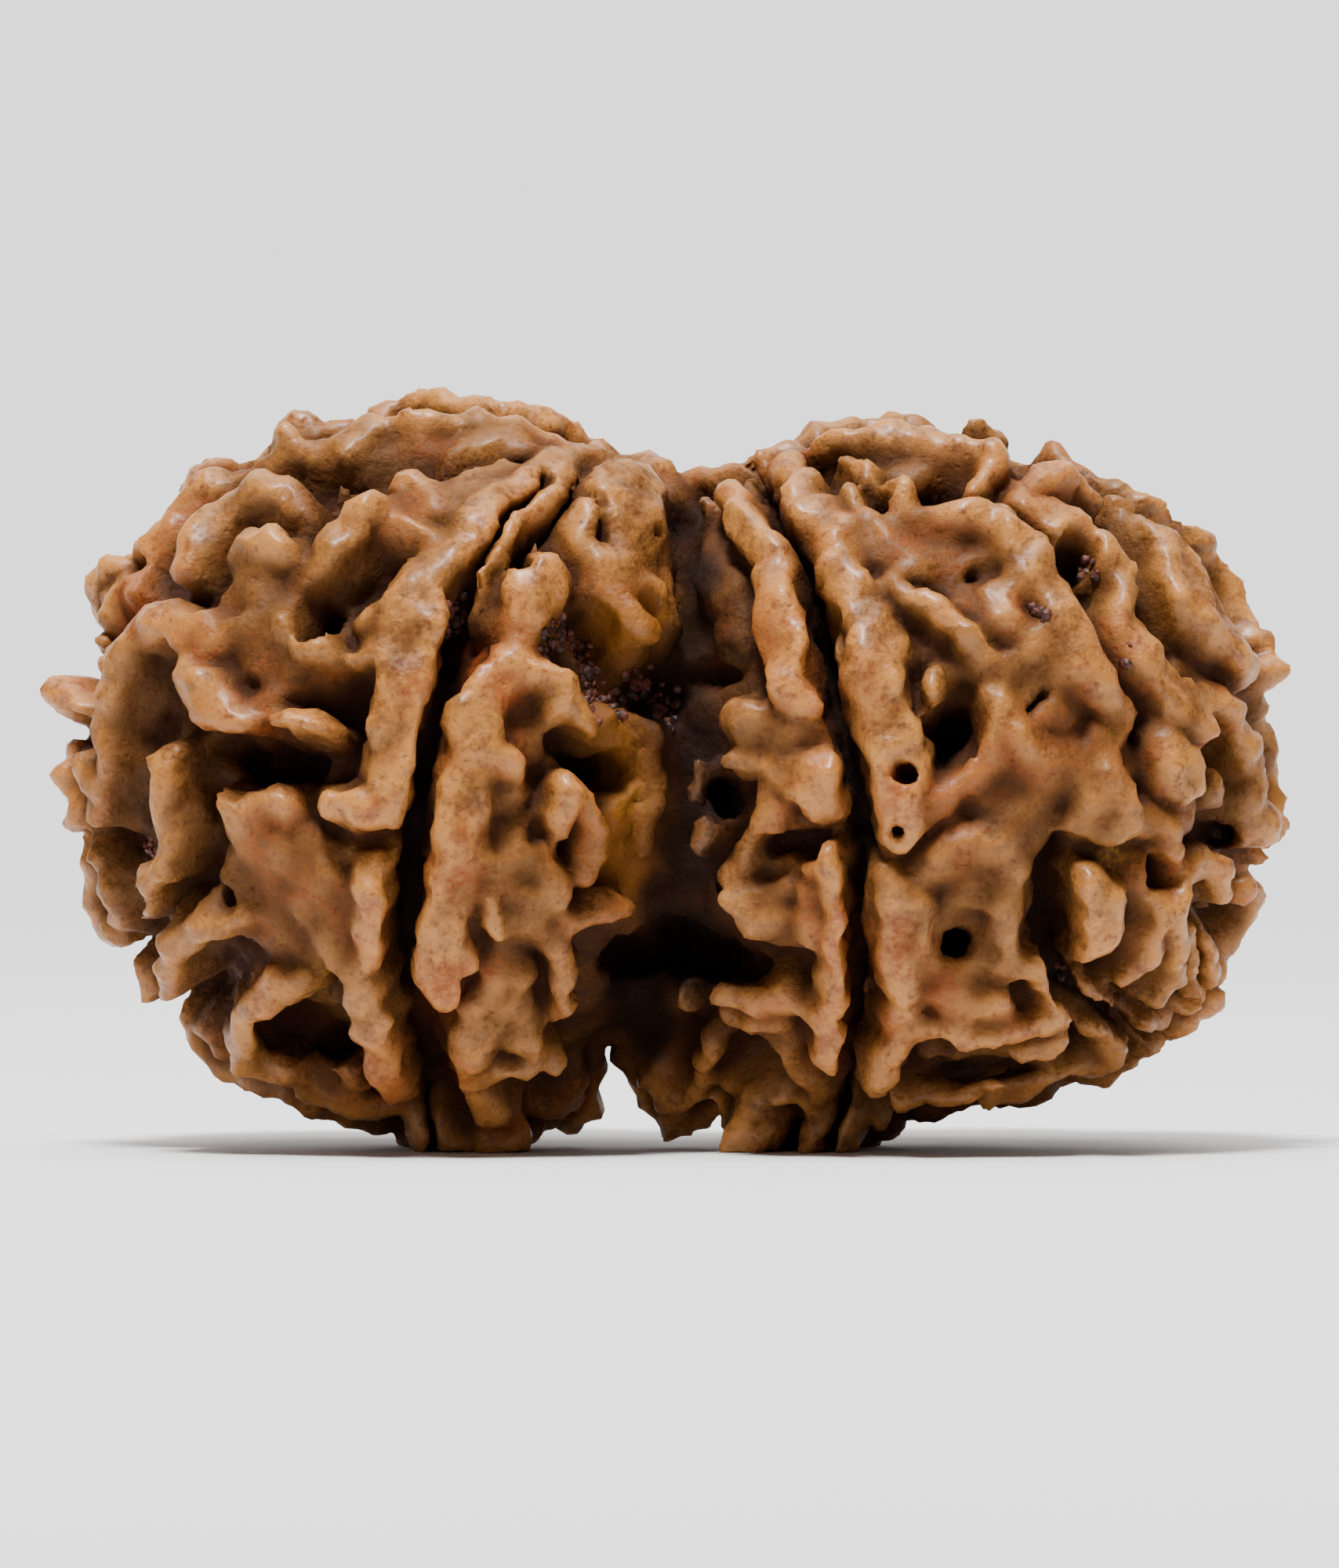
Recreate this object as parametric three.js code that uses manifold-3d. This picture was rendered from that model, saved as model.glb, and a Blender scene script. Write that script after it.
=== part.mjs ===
// A double seed bead: two rounded stones of one fruit that grew fused side by side.
// Each bead is a ball whose skin is raised in blunt ridges and knobs and cut by deep clefts
// that run from pole to pole. Both beads are joined into one solid, with a small flat spot underneath.
// Millimetres, +X to the right, -Y to the front, +Z up. The origin is under the middle of the bead pair.
import * as THREE from 'three';
import { mergeVertices } from 'three/addons/utils/BufferGeometryUtils.js';
import Module from 'manifold-3d';

// driving sizes
const LEFT_CENTRE = [-6.5, 0, 11.0];
const RIGHT_CENTRE = [6.8, 0, 10.9];
// half sizes of the skin between the ridges
const FLOOR_AXES = [8.5, 7.6, 8.5];
// crest heights are counted from this far above the skin
const CREST_BASE = 0.4;
// the underside is flattened at this height
const REST_CUT = 0.5;
// the pair rests on the ends of low keels that run from front to back under each bead
const FOOT_LEVEL = -0.1;
const KEEL_LEVEL = 0.7;
const FOOT_HALF_WIDTH = 0.95;
// middle of the whole outline, moved onto the origin
const MIDDLE = [-0.05, 0.0];
// how softly ridges run into the skin and into each other
const BLEND = 0.36;
// low webs run into everything round them
const WEB_BLEND = 0.8;
// how much a ridge widens for each millimetre below its crest
const FLARE = 0.16;
// the read widths are those of the foot of a crest; its top is narrower by this share
const CREST_SHARE = 0.74;
const CREST_ROUNDING = 0.36;
// the ball is divided into this many steps along each edge of an icosahedron, less one
const BALL_DETAIL = 15;
const CAVE_DETAIL = 1;
const SWELLING_DETAIL = 3;

// relief seen from the front: each station is [x, z, half width, height above the crest base]
const LEFT_RIDGES = [
  // left lip of the front cleft, from the top down to the thumb
  [[-2.5, 20.2, 0.59, 1.5], [-3.8, 19.3, 0.91, 1.5], [-4.9, 18.3, 1.1, 1.5],
   [-5.9, 17.2, 1.17, 1.5], [-6.8, 16.1, 1.23, 1.55], [-7.2, 14.9, 1.23, 1.55],
   [-7.2, 13.6, 1.1, 1.5], [-7.4, 12.3, 0.91, 1.5], [-7.6, 11.2, 0.78, 1.55],
   [-7.9, 10.3, 0.65, 1.6]],
  [[-7.4, 15.7, 0.6, 1.5], [-8.2, 15.7, 0.5, 1.4]],
  [[-8.0, 14.8, 0.5, 1.4], [-8.8, 14.5, 0.25, 1.3]],
  [[-7.9, 10.3, 0.5, 1.6], [-8.7, 10.15, 0.5, 1.75], [-9.5, 10.25, 0.42, 1.7]],
  // the same lip below the thumb
  [[-8.9, 9.2, 0.39, 0.9], [-8.2, 8.6, 0.59, 1.4], [-8.0, 7.7, 0.65, 1.6], [-8.1, 6.8, 0.65, 1.6],
   [-8.2, 6.0, 0.59, 1.5]],
  [[-8.5, 5.7, 0.52, 1.3], [-8.4, 4.7, 0.59, 1.5], [-8.1, 3.6, 0.65, 1.6], [-7.8, 2.7, 0.65, 1.5],
   [-7.4, 1.9, 0.52, 1.3]],
  // the long left ridge that runs down the lobe
  [[-13.6, 14.2, 0.59, 1.4], [-13.0, 13.6, 0.78, 1.4], [-12.6, 12.8, 0.84, 1.35],
   [-12.2, 11.9, 0.78, 1.3], [-12.1, 10.9, 0.84, 1.25], [-11.9, 10.0, 0.78, 1.2],
   [-11.3, 9.0, 0.9, 1.0], [-10.6, 8.0, 1.01, 0.95], [-9.8, 7.3, 1.01, 1.0],
   [-9.2, 6.6, 0.78, 1.1], [-8.8, 5.8, 0.59, 1.2]],
  // the broad web beside it
  [[-11.9, 8.4, 0.78, 0.75], [-10.8, 7.0, 0.78, 0.7], [-9.8, 6.3, 0.78, 0.8]],
  // the hooked ridge that makes the left shoulder
  [[-11.8, 15.1, 0.65, 0.9], [-12.7, 14.95, 0.65, 1.2], [-13.6, 15.25, 0.65, 1.45],
   [-14.4, 15.55, 0.65, 1.55], [-15.1, 15.2, 0.59, 1.5], [-15.5, 14.4, 0.63, 1.45],
   [-15.75, 13.5, 0.6, 1.4], [-15.9, 12.5, 0.54, 1.2], [-16.0, 11.6, 0.54, 1.2],
   [-16.2, 10.8, 0.6, 1.2], [-16.3, 10.0, 0.63, 1.2]],
  [[-16.55, 9.6, 0.54, 1.2], [-16.2, 8.6, 0.54, 1.1], [-15.95, 7.6, 0.6, 1.2],
   [-15.8, 6.9, 0.6, 1.2]],
  // spikes of the left outline
  [[-16.0, 13.9, 0.72, 1.3], [-17.05, 13.45, 0.63, 2.0]],
  [[-15.3, 16.5, 0.78, 1.2], [-15.9, 16.45, 0.81, 1.4]],
  [[-15.4, 15.9, 0.52, 1.0], [-15.9, 15.7, 0.6, 1.2]],
  [[-16.3, 11.2, 0.6, 1.0], [-16.75, 11.2, 0.62, 1.6]],
  [[-12.9, 19.1, 0.6, 1.3], [-13.35, 19.65, 0.51, 1.8]],
  [[-10.7, 20.3, 0.65, 1.3], [-10.75, 20.95, 0.51, 2.0]],
  // upper left ridges and knobs
  [[-15.1, 16.1, 0.49, 1.2], [-15.0, 16.9, 0.54, 1.2], [-14.5, 17.7, 0.54, 1.2],
   [-13.9, 18.2, 0.54, 1.2]],
  [[-13.7, 17.1, 0.63, 1.4], [-13.5, 17.6, 0.65, 1.5], [-12.9, 18.3, 0.65, 1.5],
   [-12.3, 18.9, 0.72, 1.4], [-11.6, 19.3, 0.65, 1.4], [-10.9, 19.2, 0.63, 1.35],
   [-10.5, 18.7, 0.52, 1.0]],
  [[-11.9, 17.7, 0.65, 1.5], [-11.2, 17.7, 0.78, 1.55], [-10.8, 17.4, 0.65, 1.4]],
  [[-11.3, 17.4, 0.9, 1.3], [-11.3, 16.4, 0.78, 0.9], [-11.6, 15.3, 0.65, 0.7]],
  [[-13.0, 19.4, 0.6, 1.0], [-11.9, 19.5, 0.65, 1.1], [-10.9, 20.0, 0.65, 1.2],
   [-9.9, 20.3, 0.65, 1.2], [-9.0, 20.5, 0.65, 1.2], [-8.4, 20.8, 0.6, 1.3]],
  // the arch and the knob beneath it
  [[-9.3, 19.2, 0.38, 1.2], [-8.9, 19.7, 0.42, 1.35], [-8.2, 19.8, 0.45, 1.4],
   [-7.4, 19.6, 0.45, 1.4], [-6.8, 19.2, 0.4, 1.3], [-6.5, 18.8, 0.3, 1.1]],
  [[-8.5, 18.6, 0.78, 1.45], [-8.7, 18.2, 0.65, 1.35], [-9.3, 17.6, 0.59, 1.2],
   [-9.8, 17.0, 0.63, 1.0], [-10.3, 16.5, 0.6, 0.8]],
  [[-8.2, 18.4, 0.5, 1.3], [-7.4, 18.2, 0.45, 1.3], [-6.6, 17.9, 0.6, 1.4]],
  [[-6.4, 18.6, 0.7, 1.2], [-5.4, 19.2, 0.7, 1.2], [-4.4, 19.8, 0.6, 1.2]],
  // inner ribs of the left lobe
  [[-10.4, 15.2, 0.6, 1.1], [-9.9, 14.9, 0.7, 1.25], [-9.5, 14.5, 0.6, 1.0]],
  [[-12.0, 12.7, 0.65, 1.2], [-11.3, 13.0, 0.6, 0.9]],
  [[-11.0, 10.6, 0.54, 1.25], [-10.75, 10.2, 0.54, 1.3], [-10.8, 9.8, 0.51, 1.0]],
  [[-11.6, 10.3, 0.6, 1.1], [-11.1, 10.3, 0.54, 1.1]],
  // lower left ribs
  [[-13.85, 11.8, 0.4, 1.0], [-14.25, 11.5, 0.43, 1.25], [-14.3, 10.7, 0.4, 1.3],
   [-14.2, 9.9, 0.4, 1.3], [-14.0, 9.2, 0.4, 1.25], [-14.15, 8.6, 0.45, 1.2],
   [-14.7, 8.2, 0.57, 1.3], [-15.0, 7.7, 0.63, 1.4], [-15.0, 7.2, 0.6, 1.3]],
  [[-13.6, 7.1, 0.31, 0.8], [-13.4, 6.7, 0.31, 0.9]],
  [[-11.2, 7.2, 0.52, 0.9], [-12.2, 7.0, 0.54, 1.15], [-13.1, 6.65, 0.54, 1.35],
   [-13.8, 6.2, 0.54, 1.4], [-14.1, 5.4, 0.54, 1.4], [-14.05, 4.7, 0.54, 1.3],
   [-13.7, 4.25, 0.54, 1.2]],
  [[-10.2, 5.3, 0.54, 1.1], [-11.0, 5.0, 0.51, 1.35], [-11.6, 4.5, 0.51, 1.5],
   [-12.0, 3.9, 0.51, 1.5], [-12.1, 3.2, 0.51, 1.5], [-11.8, 2.7, 0.54, 1.4],
   [-11.0, 2.45, 0.54, 1.3], [-10.2, 2.2, 0.6, 1.1]],
  [[-13.3, 3.7, 0.63, 1.0], [-12.7, 3.15, 0.63, 1.0]],
  [[-10.0, 1.9, 0.63, 1.2], [-9.0, 1.6, 0.63, 1.3], [-8.3, 1.35, 0.6, 1.3]],
  [[-9.6, 2.9, 0.6, 0.9], [-8.8, 2.3, 0.6, 1.0]],
  [[-7.6, 1.4, 0.36, 1.2], [-7.0, 1.1, 0.36, 1.3]],
  [[-6.2, 0.95, 0.5, 1.4], [-5.4, 0.9, 0.42, 1.3]],
  // top slab
  [[-8.3, 20.9, 0.36, 1.4], [-7.2, 21.15, 0.45, 1.6], [-6.2, 21.2, 0.45, 1.6],
   [-5.2, 21.1, 0.42, 1.5], [-4.2, 20.95, 0.45, 1.5], [-3.2, 20.6, 0.45, 1.5],
   [-2.5, 20.2, 0.4, 1.5]],
  [[-7.0, 20.6, 0.7, 0.9], [-5.6, 20.5, 0.7, 1.0], [-4.2, 20.4, 0.7, 1.15]],
  [[-6.0, 20.0, 0.22, 0.9], [-5.1, 20.25, 0.25, 1.1], [-4.3, 20.5, 0.25, 1.2]],
  // thin band inside the top of the front cleft
  [[-1.95, 20.2, 0.34, 1.4], [-2.9, 19.0, 0.4, 1.3], [-3.8, 17.9, 0.36, 1.15],
   [-4.45, 16.9, 0.3, 0.95], [-5.1, 15.9, 0.24, 0.7], [-5.6, 15.3, 0.18, 0.4]],
  // right lip of the front cleft: wedge, knob, neck and long lip
  [[-0.7, 19.3, 1.0, 1.8], [-1.1, 18.7, 1.8, 1.6], [-1.4, 17.9, 1.9, 1.45],
   [-1.4, 17.1, 1.4, 1.3], [-1.2, 16.5, 0.9, 1.15]],
  [[-1.6, 19.0, 0.7, 1.5], [-2.0, 18.4, 0.8, 1.35], [-2.2, 17.7, 0.6, 1.1]],
  [[-3.3, 17.0, 0.8, 1.6], [-3.5, 16.5, 1.05, 1.75], [-3.7, 15.9, 0.95, 1.65]],
  [[-3.8, 15.6, 0.5, 1.35], [-3.9, 15.0, 0.42, 1.25], [-4.3, 14.4, 0.5, 1.5]],
  [[-4.3, 14.3, 0.55, 1.6], [-4.85, 13.6, 0.78, 1.65], [-5.1, 12.7, 0.81, 1.6],
   [-5.3, 11.8, 0.81, 1.6], [-5.6, 10.9, 0.81, 1.65], [-5.75, 10.0, 0.81, 1.65],
   [-5.75, 9.0, 0.81, 1.65], [-5.8, 8.0, 0.81, 1.65], [-6.0, 7.0, 0.78, 1.65],
   [-6.2, 6.1, 0.75, 1.7], [-6.25, 5.3, 0.68, 1.75], [-6.2, 4.8, 0.55, 1.75]],
  [[-5.7, 6.5, 0.5, 1.5], [-5.4, 5.8, 0.4, 1.5]],
  [[-4.3, 14.35, 0.6, 1.6], [-3.6, 14.0, 0.55, 1.55], [-3.0, 13.5, 0.6, 1.5],
   [-2.65, 12.9, 0.65, 1.5], [-2.35, 12.3, 0.65, 1.5], [-2.1, 11.8, 0.5, 1.45],
   [-2.0, 11.5, 0.4, 1.4]],
  [[-5.2, 11.6, 0.45, 1.6], [-4.5, 11.6, 0.38, 1.5], [-4.1, 11.4, 0.3, 1.4]],
  [[-4.9, 10.6, 0.5, 1.1], [-4.2, 10.7, 0.36, 1.0]],
  [[-2.6, 10.6, 0.4, 1.7], [-2.8, 10.1, 0.36, 1.6], [-3.1, 9.5, 0.3, 1.35]],
  [[-2.2, 10.5, 0.42, 1.35], [-1.95, 9.8, 0.45, 1.2], [-1.95, 9.1, 0.45, 1.1],
   [-2.3, 8.4, 0.45, 1.1]],
  [[-5.0, 8.6, 0.7, 1.35], [-4.5, 7.6, 0.9, 1.25], [-3.7, 7.1, 0.8, 1.25], [-3.1, 7.9, 0.45, 1.2]],
  [[-4.75, 7.7, 0.18, 1.6], [-4.7, 7.1, 0.18, 1.6], [-4.5, 6.6, 0.18, 1.5]],
  [[-3.3, 8.6, 0.4, 1.1], [-3.0, 7.6, 0.3, 1.2], [-2.9, 6.8, 0.3, 1.1]],
  [[-3.4, 6.5, 0.5, 1.2], [-2.9, 6.1, 0.3, 1.2], [-2.75, 5.4, 0.26, 1.2], [-2.8, 4.7, 0.26, 1.1],
   [-3.1, 4.1, 0.3, 1.1]],
  [[-2.7, 6.9, 0.42, 1.1], [-1.9, 7.3, 0.4, 1.0], [-1.1, 7.3, 0.36, 1.0]],
  [[-4.7, 5.3, 0.36, 1.35], [-4.9, 4.5, 0.75, 1.4], [-5.0, 3.7, 0.8, 1.45], [-5.3, 3.0, 0.6, 1.5],
   [-5.6, 2.4, 0.3, 1.4]],
  [[-4.3, 4.4, 0.5, 1.4], [-3.9, 3.6, 0.6, 1.4], [-3.3, 3.1, 0.4, 1.3]],
  [[-5.6, 2.15, 0.18, 1.5], [-4.7, 2.6, 0.2, 1.5], [-3.8, 2.85, 0.2, 1.45],
   [-3.15, 2.75, 0.18, 1.4], [-2.7, 3.2, 0.18, 1.3], [-2.3, 3.5, 0.18, 1.2]],
  [[-5.3, 1.9, 0.4, 1.5], [-5.0, 1.5, 0.45, 1.6], [-4.6, 1.1, 0.45, 1.6]],
  [[-3.8, 1.6, 0.5, 1.0], [-2.8, 1.4, 0.5, 1.1], [-2.5, 2.2, 0.36, 0.8]],
  [[-4.6, 0.45, 0.35, 1.6], [-3.9, 0.8, 0.35, 1.3]],
  // low folds down the floor of the valley
  [[-1.6, 12.8, 0.5, 1.0], [-1.25, 11.9, 0.42, 0.8], [-1.1, 10.9, 0.5, 0.7],
   [-1.25, 9.9, 0.42, 0.8], [-1.6, 8.8, 0.4, 0.8]],
  [[-0.4, 12.6, 0.4, 0.6], [-0.3, 11.4, 0.34, 0.5], [-0.35, 10.2, 0.4, 0.5],
   [-0.6, 8.9, 0.34, 0.6]],
  // web of the upper valley
  [[-2.1, 15.8, 0.6, 1.1], [-1.3, 15.5, 0.8, 1.25], [-0.5, 15.3, 0.7, 1.5]],
  [[-0.7, 16.5, 0.5, 1.3], [-0.1, 16.4, 0.5, 1.6]],
];

const LEFT_WEBS = [
  // broad low webs between the ridges, from the top down
  [[-8.2, 20.3, 0.9, 0.8], [-6.8, 20.5, 1.0, 0.9], [-5.2, 20.4, 1.0, 1.0], [-3.8, 20.2, 0.8, 1.1]],
  [[-11.6, 18.6, 0.9, 0.7], [-10.2, 18.2, 0.8, 0.5]],
  [[-11.4, 16.9, 1.0, 0.8], [-11.8, 15.7, 1.1, 0.6], [-11.2, 14.4, 1.0, 0.5],
   [-10.6, 13.6, 0.8, 0.6]],
  [[-10.4, 16.6, 0.8, 0.6], [-10.4, 15.5, 0.9, 0.6], [-9.8, 14.2, 0.7, 0.5]],
  [[-8.0, 18.3, 0.8, 0.8], [-7.2, 18.6, 0.9, 0.9], [-6.0, 18.8, 0.9, 1.1]],
  [[-10.9, 9.6, 0.9, 0.7], [-9.9, 8.8, 0.9, 0.8], [-9.0, 7.8, 0.8, 0.9], [-8.8, 6.8, 0.7, 0.9]],
  [[-12.0, 7.8, 0.8, 0.5], [-11.0, 6.6, 0.8, 0.5], [-9.8, 5.8, 0.8, 0.6]],
  [[-2.4, 17.9, 0.8, 0.9], [-1.9, 16.9, 0.9, 0.85], [-1.6, 15.9, 0.9, 0.8], [-1.9, 15.1, 0.8, 0.7]],
  [[-0.9, 17.6, 0.8, 0.9], [-0.4, 16.6, 0.8, 1.0], [0.1, 15.6, 0.7, 1.0]],
  [[-4.4, 10.2, 0.9, 0.8], [-4.1, 9.0, 1.0, 0.9], [-4.0, 7.6, 1.0, 1.0]],
  [[-4.5, 6.2, 0.7, 0.9], [-4.4, 5.2, 0.8, 1.0], [-4.4, 4.0, 0.9, 1.1]],
  [[-4.2, 13.2, 0.7, 0.8], [-3.7, 12.6, 0.8, 0.8], [-3.5, 12.0, 0.6, 0.5]],
  [[-4.4, 11.9, 0.6, 0.9], [-4.3, 11.0, 0.5, 0.9]],
];

const LEFT_PITS = [
  // [x, z, half width, depth below the bead's skin]
  [[-7.9, 17.05, 0.45, 1.3], [-8.8, 16.85, 0.3, 0.9]],
  [[-9.15, 15.0, 0.24, 0.5], [-9.2, 14.3, 0.22, 0.4]],
  [[-10.9, 11.5, 0.42, 1.4], [-10.1, 11.3, 0.5, 1.6], [-9.4, 11.3, 0.42, 1.4]],
  [[-13.8, 12.8, 0.42, 0.8], [-14.5, 13.6, 0.3, 0.5]],
  [[-14.2, 6.65, 0.36, 1.2]],
  [[-12.5, 5.5, 0.5, 0.7], [-11.6, 5.9, 0.5, 0.8]],
  [[-8.95, 4.65, 0.16, 0.4]],
  [[-12.95, 14.7, 0.1, 0.5]],
  [[-11.3, 8.2, 0.12, 0.4]],
  [[-3.6, 12.1, 0.2, -0.3], [-3.4, 11.3, 0.3, 1.4], [-2.8, 11.1, 0.32, 1.7],
   [-2.3, 11.1, 0.2, 1.0]],
  [[-3.9, 9.6, 0.3, -0.9]],
  [[-3.6, 5.6, 0.36, 0.7], [-3.3, 4.9, 0.25, 0.5]],
  [[-1.75, 16.4, 0.14, 0.2]],
  [[-3.1, 14.9, 0.3, 0.3], [-2.6, 14.3, 0.26, 0.3], [-2.2, 13.7, 0.26, 0.3],
   [-1.7, 13.1, 0.3, 0.4]],
  [[-9.4, 5.5, 0.22, 0.1]],
  [[-13.35, 11.2, 0.3, 0.5], [-13.3, 10.3, 0.3, 0.4]],
  [[-15.2, 9.2, 0.4, 0.4]],
  [[-13.3, 8.6, 0.3, 0.3], [-13.6, 7.7, 0.26, 0.3]],
  [[-14.4, 16.6, 0.26, 0.5], [-13.9, 16.3, 0.3, 0.5]],
];

const LEFT_BARS = [
  [[-11.1, 12.75, 0.2, 1.2], [-10.6, 12.7, 0.24, 1.6], [-9.9, 12.6, 0.24, 1.6],
   [-9.3, 12.35, 0.2, 1.3]],
];

const LEFT_CLEFT = [[-5.7, 15.5, 0.14, 0.1], [-5.8, 15.0, 0.24, 0.3], [-5.95, 14.3, 0.3, 0.3],
        [-6.25, 12.9, 0.28, 0.3], [-6.55, 11.6, 0.26, 0.4], [-6.8, 10.4, 0.28, 0.6],
        [-7.0, 9.0, 0.34, 0.8], [-7.1, 7.6, 0.36, 0.8], [-7.1, 6.2, 0.3, 0.6],
        [-6.9, 4.6, 0.2, 0.3], [-6.7, 3.0, 0.14, 0.0], [-6.5, 1.6, 0.1, -0.2]];

const LEFT_GROOVES = [
  // both sides of the thin band that fills the top of the front cleft
  [[-3.6, 18.8, 0.1, -1.1], [-4.35, 17.9, 0.1, -0.9], [-5.0, 16.9, 0.1, -0.6],
   [-5.65, 15.9, 0.1, -0.3], [-5.95, 15.2, 0.16, 0.0]],
  [[-1.8, 19.35, 0.1, -1.1], [-2.5, 18.75, 0.1, -1.0], [-3.25, 17.9, 0.1, -0.8],
   [-4.1, 16.95, 0.1, -0.5], [-4.55, 16.1, 0.14, -0.1], [-4.6, 15.35, 0.26, 0.5]],
  [[-3.0, 17.9, 0.1, -0.6], [-2.6, 17.2, 0.18, -0.3], [-2.5, 16.5, 0.2, -0.2]],
];

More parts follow.
